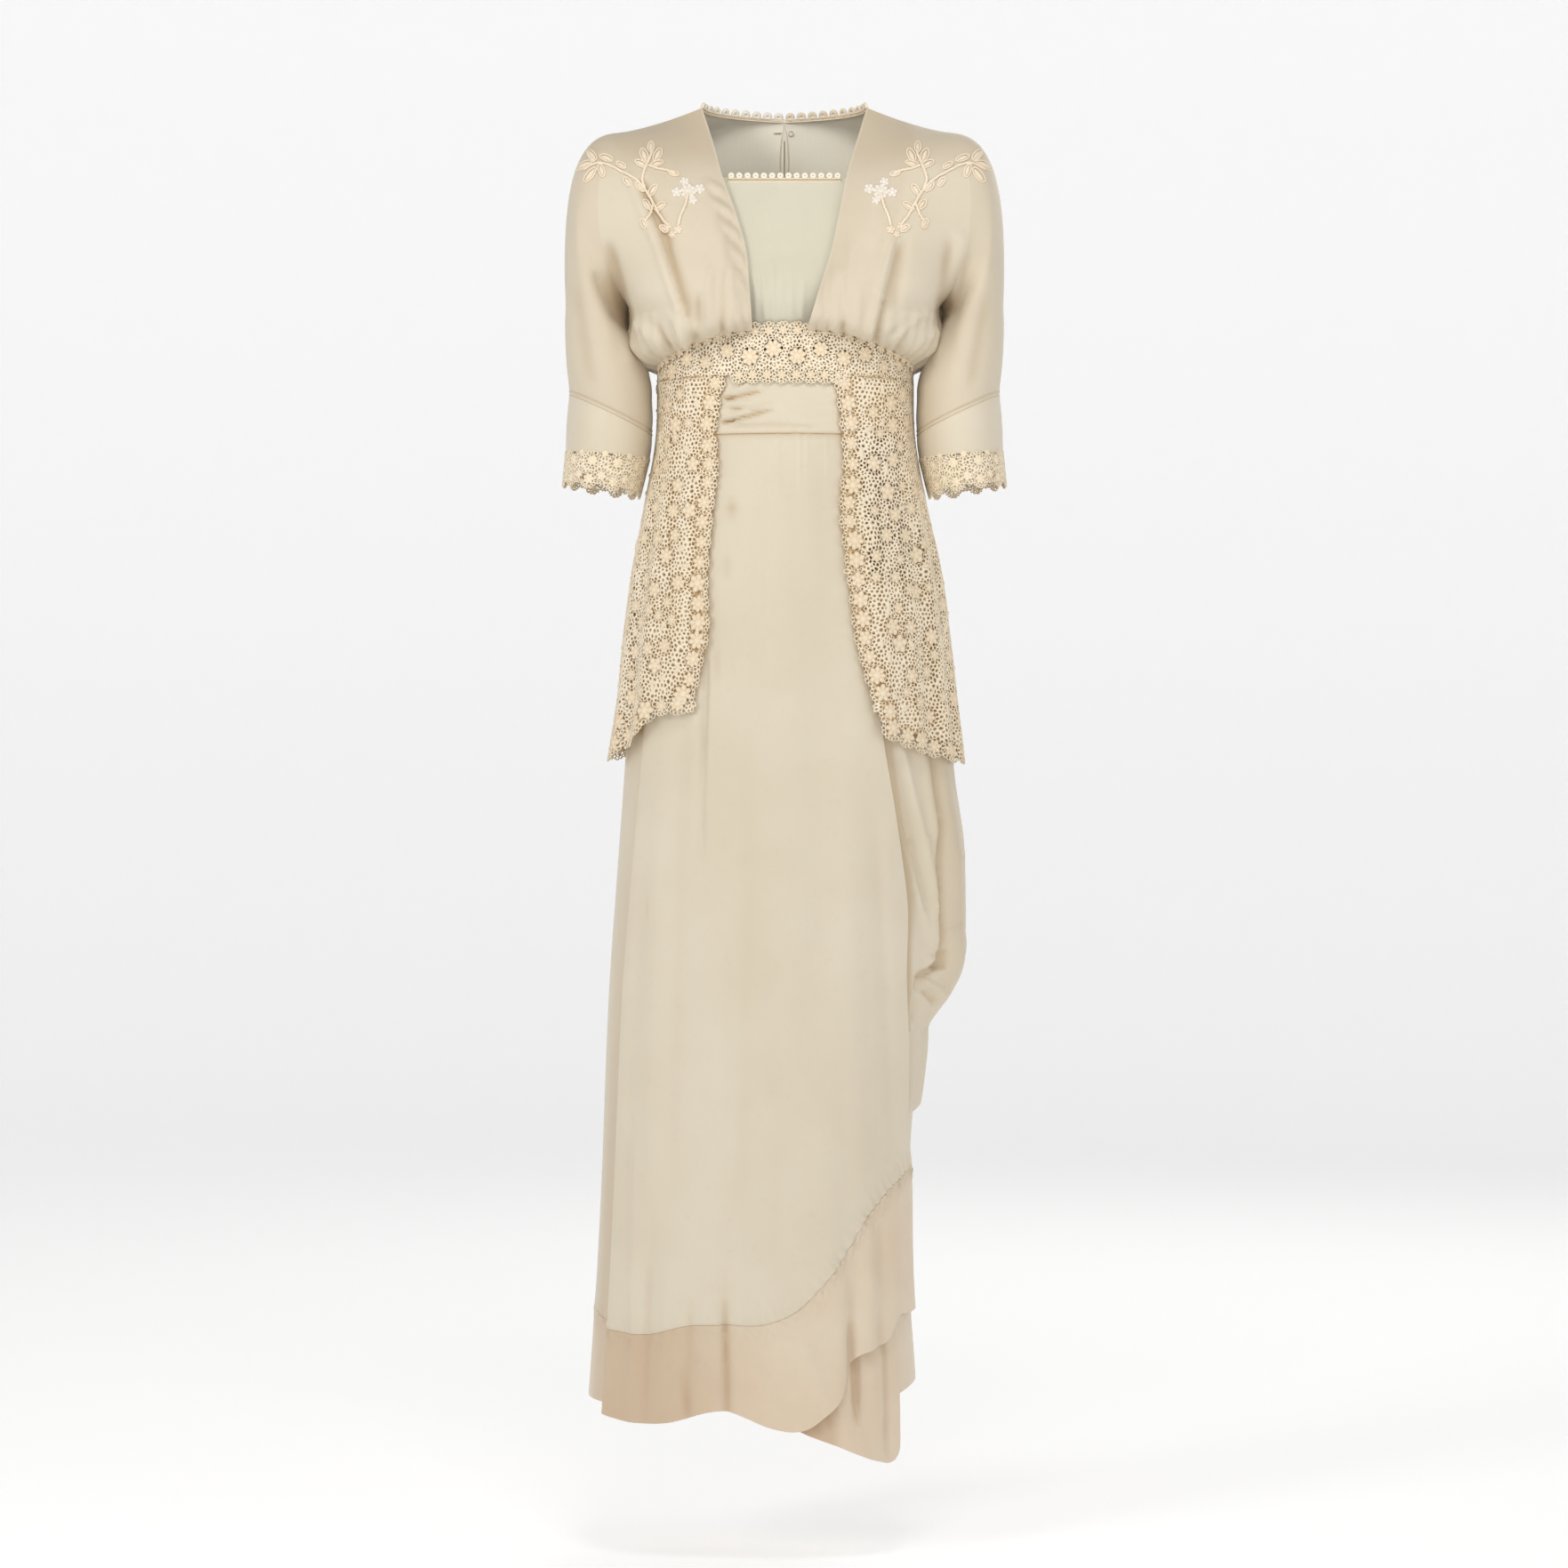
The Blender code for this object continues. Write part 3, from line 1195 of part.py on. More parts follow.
def sprigs(parent):
    """Leafy sprigs: a narrow strip that widens and narrows once for each leaf."""
    for side, _ in SIDES:
        for sprig in SPRIGS:
            panel = f"{sprig.panel}_{side}"
            count = sprig.leaves * SPRIG_STEPS // 2
            span = sprig.column2 - sprig.column1
            places = []
            for k in range(count + 1):
                t = k / count
                row = sprig.row1 + (sprig.row2 - sprig.row1) * t
                column = sprig.column1 + span * t
                row_size, column_size = cell_size(panel, row, column)
                along_mm = np.array([(sprig.row2 - sprig.row1) * row_size, span * column_size])
                across = np.array([-along_mm[1], along_mm[0]]) / np.linalg.norm(along_mm)
                leaf = abs(math.sin(math.pi * sprig.leaves * t))
                half = sprig.width * (SPRIG_STALK + (1 - SPRIG_STALK) * leaf)
                for edge in (-half, half):
                    places.append((row + edge * across[0] / row_size, column + edge * across[1] / column_size))
            faces = [[2 * k, 2 * k + 1, 2 * k + 3, 2 * k + 2] for k in range(count)]
            raised_shape(f"{sprig.name}_{side}", panel, places, faces, CROCHET, parent)


def tube(name, path, closed, paint, parent):
    """Wire of WIRE radius along a path, closed on itself or capped at its ends."""
    path = np.array(path)
    corners = []
    faces = []
    count = len(path)
    if closed:
        forward = unit(np.roll(path, -1, axis=0) - np.roll(path, 1, axis=0))
    else:
        forward = unit(np.gradient(path, axis=0))
    for point, direction in zip(path, forward):
        first = unit(np.cross(direction, np.array([0.0, 1.0, 0.001])))
        second = np.cross(direction, first)
        for k in range(WIRE_SIDES):
            turn = 2 * math.pi * k / WIRE_SIDES
            corners.append(point + WIRE * (math.cos(turn) * first + math.sin(turn) * second))
    for i in range(count if closed else count - 1):
        here = i * WIRE_SIDES
        there = (i + 1) % count * WIRE_SIDES
        for k in range(WIRE_SIDES):
            turned = (k + 1) % WIRE_SIDES
            faces.append([here + k, here + turned, there + turned, there + k])
    if not closed:
        faces.append(list(range(WIRE_SIDES)))
        faces.append([(count - 1) * WIRE_SIDES + k for k in reversed(range(WIRE_SIDES))])
    make_object(name, corners, faces, paint, parent)


def hook_and_eye(parent):
    """Wire hook and round eye sewn inside the back neck, each just clear of the cloth and of the other."""
    row = STATIONS.index(BACK_NECK_STATION) + HOOK_ROW
    clear = SILK + LAYER_GAP + WIRE
    seat, out = on_sheet("bodice_back_left", row, EYE_COLUMN)
    middle = seat - out * clear
    turns = np.linspace(0.0, 2 * math.pi, EYE_CORNERS + 1)[:-1]
    ring = [middle + EYE_RADIUS * np.array([math.cos(turn), 0.0, math.sin(turn)]) for turn in turns]
    tube("eye", ring, True, STEEL, parent)
    seat, out = on_sheet("bodice_back_right", row, HOOK_COLUMN)
    start = seat - out * clear
    bend = np.linspace(0.0, math.pi, HOOK_CORNERS)
    shank = [start + np.array([-HOOK_LENGTH * (1 - t), 0.0, 0.0]) for t in (0.0, 0.5)]
    nose = []
    for turn in bend:
        step = np.array([-HOOK_TIP + HOOK_BEND * math.sin(turn), -HOOK_BEND * (1 - math.cos(turn)), 0.0])
        nose.append(start + step)
    tube("hook", shank + nose, False, STEEL, parent)


def build():
    clear_scene()
    dress = bpy.data.objects.new("dress", None)
    bpy.context.collection.objects.link(dress)
    bodice_panels()
    sleeves()
    chemisette()
    belt()
    sash()
    peplum()
    skirt_front()
    skirt_back()
    under_panel()
    side_drape()
    sew_seams()
    cuffs()
    peplum_edgings()
    picots()
    for name, sheet in SHEETS.items():
        wall_object(name, sheet, dress)
    flowers(dress)
    sprigs(dress)
    hook_and_eye(dress)


build()
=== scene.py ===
"""Looks of a peplum dress: a worn, hollow gown of silk chiffon and satin with crochet lace.

Lengths in the sections below are millimetres unless a name says otherwise, and become metres when a mesh
is made. The origin is midway between the shoulders, the front faces -Y, the wearer's left is +X, +Z is up.
Angles round the figure are degrees: 0 is centre front, 90 the wearer's left side, 180 centre back.
"""

import math

import bpy
import numpy as np
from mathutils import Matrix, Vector, geometry


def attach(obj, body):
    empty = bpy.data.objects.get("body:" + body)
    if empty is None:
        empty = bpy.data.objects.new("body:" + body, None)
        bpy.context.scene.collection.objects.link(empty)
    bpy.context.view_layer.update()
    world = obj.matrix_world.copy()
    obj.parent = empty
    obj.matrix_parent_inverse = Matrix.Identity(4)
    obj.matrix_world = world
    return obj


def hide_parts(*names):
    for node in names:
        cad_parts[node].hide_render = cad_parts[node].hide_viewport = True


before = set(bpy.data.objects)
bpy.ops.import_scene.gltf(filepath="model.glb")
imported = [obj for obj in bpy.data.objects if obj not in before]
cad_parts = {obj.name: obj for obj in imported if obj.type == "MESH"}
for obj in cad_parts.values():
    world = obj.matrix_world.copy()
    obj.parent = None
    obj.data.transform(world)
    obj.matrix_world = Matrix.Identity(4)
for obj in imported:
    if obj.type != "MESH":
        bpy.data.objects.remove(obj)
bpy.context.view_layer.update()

# Camera: the photograph's straight front view from 5 m, level with the middle of the dress. The small
# shift puts the dress's middle on the column where the photograph has it.
CAMERA_DISTANCE = 5.0
CAMERA_HEIGHT = -0.6854
SENSOR_WIDTH = 36.0
LENS = 107.47
PHOTO_SIZE = 1763
MIDDLE_COLUMN = 882

camera_lens = bpy.data.cameras.new("camera")
camera_lens.sensor_width = SENSOR_WIDTH
camera_lens.lens = LENS
camera_lens.shift_x = (PHOTO_SIZE / 2 - MIDDLE_COLUMN) / PHOTO_SIZE
camera = bpy.data.objects.new("camera", camera_lens)
camera.location = (0.0, -CAMERA_DISTANCE, CAMERA_HEIGHT)
camera.rotation_euler = (math.radians(90), 0.0, 0.0)
bpy.context.collection.objects.link(camera)
bpy.context.scene.camera = camera

# Studio: a pale paper floor a little below the hem that curves up far away, so that no horizon shows, and
# an even soft surround above it. One wide soft light stands high on the left, a weaker one on the right
# and one behind, and a small one close above the shoulders reaches into the neck.
MM = 0.001
FLOOR_SECTION = np.array([
    (0.0, -1.5), (3.0, -1.5), (6.0, -1.5), (7.5, -1.44), (8.8, -1.2), (9.9, -0.7), (10.7, 0.1), (11.3, 1.2),
    (11.7, 2.6), (11.9, 4.4),
])
FLOOR_SIDES = 96

world = bpy.data.worlds.new("studio")
world.use_nodes = True
surround = world.node_tree.nodes["Background"]
surround.inputs["Color"].default_value = (1.0, 1.0, 1.0, 1.0)
surround.inputs["Strength"].default_value = 0.25
bpy.context.scene.world = world
bpy.context.scene.view_settings.view_transform = "Standard"


def soft_light(name, place, target, size, power, colour):
    """Square area light at a place, turned to face a target."""
    lamp = bpy.data.lights.new(name, "AREA")
    lamp.size = size
    lamp.energy = power
    lamp.color = colour
    light = bpy.data.objects.new(name, lamp)
    light.location = place
    light.rotation_euler = (Vector(target) - Vector(place)).to_track_quat("-Z", "Y").to_euler()
    bpy.context.collection.objects.link(light)


soft_light("key_light", (-2.9, -3.1, 1.0), (0.0, 0.0, -0.65), 1.2, 44.0, (1.0, 0.985, 0.96))
soft_light("fill_light", (2.9, -2.6, -0.6), (0.0, 0.0, -0.95), 2.0, 17.0, (1.0, 0.99, 0.98))
soft_light("back_light", (1.2, 3.2, 1.5), (0.0, 0.0, -0.6), 2.0, 24.0, (1.0, 0.99, 0.97))
soft_light("neck_light", (0.05, -1.15, 0.8), (0.0, 0.05, 0.0), 0.5, 8.6, (1.0, 0.99, 0.97))

turn = np.linspace(0, 2 * np.pi, FLOOR_SIDES, endpoint=False)
reach, height = FLOOR_SECTION[1:, 0, None], FLOOR_SECTION[1:, 1, None]
floor_points = np.stack(np.broadcast_arrays(reach * np.cos(turn), reach * np.sin(turn), height), axis=-1)
floor_points = np.concatenate([[[0.0, 0.0, FLOOR_SECTION[0, 1]]], floor_points.reshape(-1, 3)])
ring_starts = 1 + FLOOR_SIDES * np.arange(len(FLOOR_SECTION) - 2)[:, None]
here = np.arange(FLOOR_SIDES)
after = (here + 1) % FLOOR_SIDES
floor_faces = np.stack([
    ring_starts + here, ring_starts + FLOOR_SIDES + here, ring_starts + FLOOR_SIDES + after,
    ring_starts + after], axis=-1).reshape(-1, 4).tolist()
floor_mesh = bpy.data.meshes.new("floor")
floor_mesh.from_pydata(floor_points, [], [[0, 1 + i, 1 + j] for i, j in zip(here, after)] + floor_faces)
floor_mesh.shade_smooth()
floor = bpy.data.objects.new("floor", floor_mesh)
bpy.context.collection.objects.link(floor)
floor_paint = bpy.data.materials.new("floor_paint")
floor_paint.use_nodes = True
for socket, value in {
    "Base Color": (0.86, 0.86, 0.86, 1.0), "Roughness": 1.0, "Specular IOR Level": 0.0,
    "Emission Color": (1.0, 1.0, 1.0, 1.0), "Emission Strength": 0.45,
}.items():
    floor_paint.node_tree.nodes["Principled BSDF"].inputs[socket].default_value = value
floor_mesh.materials.append(floor_paint)

# Silk satin: cream for the gown, peach for its wide hem bands. It is a fine warp-faced weave with a soft
# gloss, faintly mottled by age. Shade is painted into its colour: deeper in creases and along some edges and
# seams, and a warm ochre under the lace.


def feed(node, at=None, **values):
    """Set a node's inputs and properties. An input goes by its name, with underscores for spaces, or in at
    by its number, and takes a value or the output of another node."""
    for name, value in {**values, **(at or {})}.items():
        label = name.replace("_", " ") if isinstance(name, str) else name
        if isinstance(name, str) and label not in node.inputs:
            setattr(node, name, value)
        elif isinstance(value, bpy.types.NodeSocket):
            node.id_data.links.new(value, node.inputs[label])
        else:
            node.inputs[label].default_value = value
    return node


def add_node(tree, kind, at=None, **values):
    """New node of a kind with its inputs and properties set."""
    return feed(tree.nodes.new(kind), at, **values)


def new_group(name, inputs, outputs):
    """Empty shader group whose sockets are (name, kind, default), with its two ends."""
    group = bpy.data.node_groups.new(name, "ShaderNodeTree")
    for label, kind, value in inputs:
        socket = group.interface.new_socket(name=label, in_out="INPUT", socket_type=kind)
        if value is not None:
            socket.default_value = value
    for label, kind in outputs:
        group.interface.new_socket(name=label, in_out="OUTPUT", socket_type=kind)
    return group, group.nodes.new("NodeGroupInput"), group.nodes.new("NodeGroupOutput")


def weave_group():
    """Threads of a cloth on its own UV map: two crossed sine waves, and a slow noise that loosens them."""
    group, given, made = new_group(
        "weave",
        [("Pitch", "NodeSocketFloat", 0.0004), ("Warp Share", "NodeSocketFloat", 0.7)],
        [("Height", "NodeSocketFloat")],
    )
    place = add_node(group, "ShaderNodeUVMap", uv_map="cloth").outputs["UV"]
    loosen = add_node(group, "ShaderNodeTexNoise", Vector=place, Scale=900.0, Detail=2.0)
    split = add_node(group, "ShaderNodeSeparateXYZ", Vector=place)
    turn = add_node(
        group, "ShaderNodeMath", {0: 2 * math.pi, 1: given.outputs["Pitch"]}, operation="DIVIDE")
    threads = []
    for axis in ("X", "Y"):
        phase = add_node(
            group, "ShaderNodeMath", {0: split.outputs[axis], 1: turn.outputs[0]}, operation="MULTIPLY")
        wave = add_node(group, "ShaderNodeMath", {0: phase.outputs[0]}, operation="SINE")
        threads.append(wave.outputs[0])
    mixed = add_node(
        group, "ShaderNodeMix", {0: given.outputs["Warp Share"], 2: threads[1], 3: threads[0]},
        data_type="FLOAT")
    uneven = add_node(
        group, "ShaderNodeMath", {0: loosen.outputs["Fac"], 1: 1.2, 2: mixed.outputs[0]},
        operation="MULTIPLY_ADD")
    feed(made, Height=uneven.outputs[0])
    return group


def ageing_group():
    """Tone of old silk or cotton: a main and a deeper colour mixed by broad clouds, by fine flecks, and by
    the piece's own attribute read here. That attribute is 0 on plain cloth and up to 1 where the cloth is
    deeper. Mostly this is painted shade in creases, along edges and seams and under other parts; partly it
    is the cloth's own deeper tone where it is doubled."""
    group, given, made = new_group(
        "ageing",
        [
            ("Main", "NodeSocketColor", None),
            ("Deep", "NodeSocketColor", None),
            ("Pale", "NodeSocketColor", None),
            ("Cloud Size", "NodeSocketFloat", 7.0),
            ("Fleck Size", "NodeSocketFloat", 90.0),
        ],
        [("Color", "NodeSocketColor"), ("Cloud", "NodeSocketFloat")],
    )
    place = add_node(group, "ShaderNodeTexCoord").outputs["Object"]
    cloud = add_node(
        group, "ShaderNodeTexNoise", Vector=place, Scale=given.outputs["Cloud Size"], Detail=3.0,
        Roughness=0.55)
    fleck = add_node(
        group, "ShaderNodeTexNoise", Vector=place, Scale=given.outputs["Fleck Size"], Detail=2.0)
    spread = add_node(group, "ShaderNodeMapRange", Value=cloud.outputs["Fac"], From_Min=0.36, From_Max=0.68)
    pale = add_node(
        group, "ShaderNodeMix",
        {0: spread.outputs["Result"], 6: given.outputs["Main"], 7: given.outputs["Pale"]}, data_type="RGBA")
    speck = add_node(
        group, "ShaderNodeMapRange", Value=fleck.outputs["Fac"], From_Min=0.6, From_Max=0.8, To_Max=0.07)
    tint = add_node(group, "ShaderNodeAttribute", attribute_name="tint")
    total = add_node(
        group, "ShaderNodeMath", {0: speck.outputs["Result"], 1: tint.outputs["Fac"]},
        operation="ADD", use_clamp=True)
    deep = add_node(
        group, "ShaderNodeMix", {0: total.outputs[0], 6: pale.outputs[2], 7: given.outputs["Deep"]},
        data_type="RGBA")
    feed(made, Color=deep.outputs[2], Cloud=cloud.outputs["Fac"])
    return group


# Warm ochre painted on the cloth under the lace, as the shade seen through the lace's gaps.
UNDER_LACE_SHADE = (0.92, 0.67, 0.35, 1.0)
WEAVE = weave_group()
AGEING = ageing_group()


def new_material(name):
    """Material of a name, with its node tree and its Principled shader."""
    material = bpy.data.materials.new(name)
    material.use_nodes = True
    return material, material.node_tree, material.node_tree.nodes["Principled BSDF"]


def cloth_material(name, main, deep, pale, roughness, sheen, pitch, warp_share, weave_depth, crush_depth):
    """Principled cloth: aged tone, a weave and a faint crushed surface as bump, and a roughness that follows
    the clouds of the tone. Where its tone attribute runs from 1 to 2, the cloth under the lace is painted a
    warm ochre, as the shade seen through the lace's gaps."""
    material, tree, shader = new_material(name)
    tone = add_node(
        tree, "ShaderNodeGroup", node_tree=AGEING, Main=(*main, 1.0), Deep=(*deep, 1.0), Pale=(*pale, 1.0))
    weave = add_node(tree, "ShaderNodeGroup", node_tree=WEAVE, Pitch=pitch, Warp_Share=warp_share)
    place = add_node(tree, "ShaderNodeTexCoord").outputs["Object"]
    crush = add_node(
        tree, "ShaderNodeTexNoise", Vector=place, Scale=38.0, Detail=4.0, Roughness=0.6, Distortion=0.4)
    crushed = add_node(
        tree, "ShaderNodeBump", Height=crush.outputs["Fac"], Distance=crush_depth, Strength=0.6)
    threads = add_node(
        tree, "ShaderNodeBump", Height=weave.outputs["Height"], Normal=crushed.outputs["Normal"],
        Distance=weave_depth, Strength=0.5)
    gloss = add_node(
        tree, "ShaderNodeMapRange", Value=tone.outputs["Cloud"], From_Min=0.3, From_Max=0.7,
        To_Min=roughness - 0.06, To_Max=roughness + 0.08)
    tint = add_node(tree, "ShaderNodeAttribute", attribute_name="tint")
    covered = add_node(tree, "ShaderNodeMapRange", Value=tint.outputs["Fac"], From_Min=1.0, From_Max=2.0)
    # Painted shade: the cloth under the lace turns a warm ochre.
    lace_shade = add_node(
        tree, "ShaderNodeMix",
        {0: covered.outputs["Result"], 6: tone.outputs["Color"], 7: UNDER_LACE_SHADE}, data_type="RGBA")
    feed(
        shader, Base_Color=lace_shade.outputs[2], Roughness=gloss.outputs["Result"],
        Normal=threads.outputs["Normal"], Sheen_Weight=sheen, Sheen_Roughness=0.4,
        Sheen_Tint=(1.0, 0.96, 0.88, 1.0))
    return material


CREAM_SATIN = cloth_material(
    "cream_satin", (0.645, 0.565, 0.43), (0.47, 0.325, 0.17), (0.68, 0.605, 0.475),
    0.42, 0.25, 0.0003, 0.85, 0.00003, 0.0005)
PEACH_SATIN = cloth_material(
    "peach_satin", (0.665, 0.535, 0.39), (0.47, 0.31, 0.175), (0.705, 0.605, 0.465),
    0.40, 0.25, 0.0003, 0.85, 0.00003, 0.0013)

# The figure that the cloth hangs on: level rings from the high waist to the hem, each half an ellipse in
# front and half an ellipse behind. Every layer of cloth stands off it by its own distance.


def columns(names, rows):
    """A given table as whole arrays, one for each named column; the first column is the place."""
    return dict(zip(names.split(), np.array(rows, float).T))


FIGURE = columns("height centre half_width front back", [
    (-195, 1, 130, 98, 78),
    (-250, 1, 130, 97, 79),
    (-315, 1, 131, 99, 85),
    (-390, 1, 142, 108, 99),
    (-460, 2, 155, 115, 112),
    (-530, 2, 164, 120, 121),
    (-600, 2, 168, 123, 127),
    (-675, 0, 171, 125, 131),
    (-800, -8, 172, 128, 135),
    (-900, -18, 169, 130, 138),
    (-990, -25, 166, 131, 141),
    (-1100, -31, 164, 133, 144),
    (-1200, -34, 166, 136, 147),
    (-1320, -34, 174, 140, 152),
    (-1405, -36, 178, 143, 155),
])
SILK = 1.2
UNDER_LAYER = 0.0
FRONT_LAYER = 2.2
SASH_LAYER = 4.1
LACE_LAYER = 7.1
DRAPE_LAYER = 2.6


def along(table, column, at):
    """Smooth curve through one column, read at values of the table's first column: on each stretch a
    cubic with the slopes of its neighbours, and level past the ends."""
    place = next(iter(table.values()))
    order = np.argsort(place)
    place = place[order]
    value = table[column][order]
    slope = np.gradient(value, place)
    at = np.clip(at, place[0], place[-1])
    i = np.clip(np.searchsorted(place, at) - 1, 0, len(place) - 2)
    width = place[i + 1] - place[i]
    t = (at - place[i]) / width
    start = (2 * t**3 - 3 * t**2 + 1) * value[i] + (t**3 - 2 * t**2 + t) * width * slope[i]
    end = (3 * t**2 - 2 * t**3) * value[i + 1] + (t**3 - t**2) * width * slope[i + 1]
    return start + end


def read(table, names, at):
    """Several columns of a table read at the same places, side by side."""
    return np.stack([along(table, name, at) for name in names.split()], axis=-1)


def ramp(value, start, end):
    """0 before start, 1 after end, and the soft step 3t^2 - 2t^3 between."""
    t = np.clip((value - start) / (end - start), 0.0, 1.0)
    return t * t * (3 - 2 * t)


def on_figure(angle, height, out):
    """Point of the figure's ring at a height, moved out: x follows the sine of the angle times the half
    width, y follows its cosine times the depth in front or behind."""
    angle, height, out = np.broadcast_arrays(np.asarray(angle, float), np.asarray(height, float), out)
    turn = np.radians(angle)
    depth = np.where(np.cos(turn) > 0, along(FIGURE, "front", height), along(FIGURE, "back", height))
    x = along(FIGURE, "centre", height) + (along(FIGURE, "half_width", height) + out) * np.sin(turn)
    return np.stack([x, -(depth + out) * np.cos(turn), height], axis=-1)


def angle_at(x, height, out):
    """Angle at which the front of the figure's ring has this x."""
    reach = along(FIGURE, "half_width", height) + out
    return np.degrees(np.arcsin(np.clip((x - along(FIGURE, "centre", height)) / reach, -1, 1)))


def folds_on(points, folds, sharpness=2.0):
    """Heights of listed folds, seen from the front: about each fold's line from (x1, z1) to (x2, z2) a ridge
    or trough that falls away as exp(-(distance / half width)^2) and fades at both ends."""
    total = np.zeros(points.shape[:-1])
    spot = points[..., [0, 2]]
    for x1, z1, x2, z2, half_width, height in folds:
        start = np.array([x1, z1], float)
        span = np.array([x2, z2], float) - start
        raw = ((spot - start) @ span) / (span @ span)
        t = np.clip(raw, 0.0, 1.0)
        away = np.linalg.norm(spot - start - t[..., None] * span, axis=-1) / half_width
        fade = np.sqrt(np.clip(np.minimum(raw + 0.12, 1.12 - raw) / 0.3, 0.0, 1.0))
        total += height * np.exp(-(away**sharpness)) * fade
    return total * (points[..., 1] < 40)


def unit(vectors):
    """Vectors brought to length one."""
    return vectors / np.linalg.norm(vectors, axis=-1, keepdims=True)


def out_of(points, ring=False):
    """Unit direction out of a grid of points whose rows run down and whose columns run to the wearer's
    left in front: the cross product of its two gradients."""
    down = np.gradient(points, axis=0)
    if ring:
        across = (np.roll(points, -1, axis=1) - np.roll(points, 1, axis=1)) / 2
    else:
        across = np.gradient(points, axis=1)
    return unit(np.cross(down, across))


def new_piece(name, points, faces, material, slot, uv=None, **marks):
    """Smooth mesh on the body from whole arrays: points in millimetres, blocks of faces with the same
    number of corners, and for each point its place on the flat cloth and the marks its material reads."""
    points = points.reshape(-1, 3) * MM
    loops = np.concatenate([block.ravel() for block in faces]).astype(np.int32)
    sizes = np.concatenate([np.full(len(block), block.shape[1]) for block in faces])
    starts = np.concatenate([[0], np.cumsum(sizes)[:-1]]).astype(np.int32)
    mesh = bpy.data.meshes.new(name)
    mesh.vertices.add(len(points))
    mesh.vertices.foreach_set("co", points.ravel().astype(np.float32))
    mesh.loops.add(len(loops))
    mesh.loops.foreach_set("vertex_index", loops)
    mesh.polygons.add(len(sizes))
    mesh.polygons.foreach_set("loop_start", starts)
    mesh.update(calc_edges=True)
    mesh.polygons.foreach_set("use_smooth", np.ones(len(sizes), bool))
    if uv is not None:
        layer = mesh.uv_layers.new(name="cloth")
        layer.uv.foreach_set("vector", (uv.reshape(-1, 2) * MM)[loops].ravel().astype(np.float32))
    for mark, values in marks.items():
        layer = mesh.attributes.new(mark, "FLOAT", "POINT")
        layer.data.foreach_set("value", values.ravel().astype(np.float32))
    mesh.materials.append(material)
    piece = bpy.data.objects.new(name, mesh)
    bpy.context.collection.objects.link(piece)
    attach(piece, "root")
    return piece


def cloth(
    name, points, material, slot, ring=False, thick=SILK, flip=False, tint=0.0, outward=None, lining=None,
):
    """Closed wall of cloth: the given grid, the same grid moved in by the thickness, and the rims between.
    Its flat place is the mean length along the rows and down the columns. Flip is for a mirrored grid."""
    tint = np.zeros(points.shape[:2]) + tint
    lining = tint if lining is None else np.zeros(points.shape[:2]) + lining
    if outward is None:
        outward = out_of(points, ring)
    if flip:
        points, outward, tint, lining = (grid[:, ::-1] for grid in (points, outward, tint, lining))
    rows, count = points.shape[:2]
    inner = points - outward * thick
    index = np.arange(rows * count).reshape(rows, count)
    if ring:
        index = np.concatenate([index, index[:, :1]], axis=1)
    a, b, c, d = index[:-1, :-1], index[:-1, 1:], index[1:, 1:], index[1:, :-1]
    under = rows * count
    outer = np.stack([a, d, c, b], axis=-1).reshape(-1, 4)
    faces = [outer, outer[:, ::-1] + under]
    rims = [(a[0], b[0]), (c[-1], d[-1])]
    if not ring:
        rims += [(d[:, 0], a[:, 0]), (b[:, -1], c[:, -1])]
    faces += [np.stack([here, there, there + under, here + under], axis=-1) for here, there in rims]
    across = np.linalg.norm(np.diff(points, axis=1, prepend=points[:, :1]), axis=-1).cumsum(axis=1)
    down = np.linalg.norm(np.diff(points, axis=0, prepend=points[:1]), axis=-1).cumsum(axis=0)
    uv = np.stack(np.broadcast_arrays(across.mean(axis=0)[None, :], down.mean(axis=1)[:, None]), axis=-1)
    both = np.concatenate([points.reshape(-1, 3), inner.reshape(-1, 3)])
    piece = new_piece(
        name, both, faces, material, slot, np.concatenate([uv, uv]), tint=np.concatenate([tint, lining]))
    piece.data.set_sharp_from_angle(angle=math.radians(55))
    return piece


# Skirt front: one wide satin panel, wrapped from under the right edge across to its free edge on the left
# hip, set into small pleats under the sash. Its peach hem band is seamed on with a slightly puckered seam.
SKIRT_TOP = -306.0
FRONT_LEFT_EDGE = -60.0
FREE_EDGE = columns("height angle", [
    (-300, 35), (-640, 35.5), (-752, 44.5), (-819, 51), (-885, 55),
    (-966, 62.5), (-1046, 68.5), (-1102, 76), (-1180, 80), (-1260, 80),
])
FRONT_HEM = columns("angle height", [
    (-60, -1348), (-50, -1352), (-38, -1353), (-30, -1351), (-8, -1337), (7.5, -1355), (14, -1358.5),
    (19, -1356), (24, -1346), (30, -1329), (36, -1291), (45, -1277), (55, -1266), (59, -1250),
    (71, -1245), (80, -1242),
])
FRONT_SEAM = columns("angle height", [
    (-60, -1259), (-38, -1260), (-22, -1249), (-8, -1247), (6, -1246), (17, -1231), (24, -1211),
    (36, -1169), (44, -1138), (50, -1123), (57, -1108), (64, -1099), (80, -1084),
])
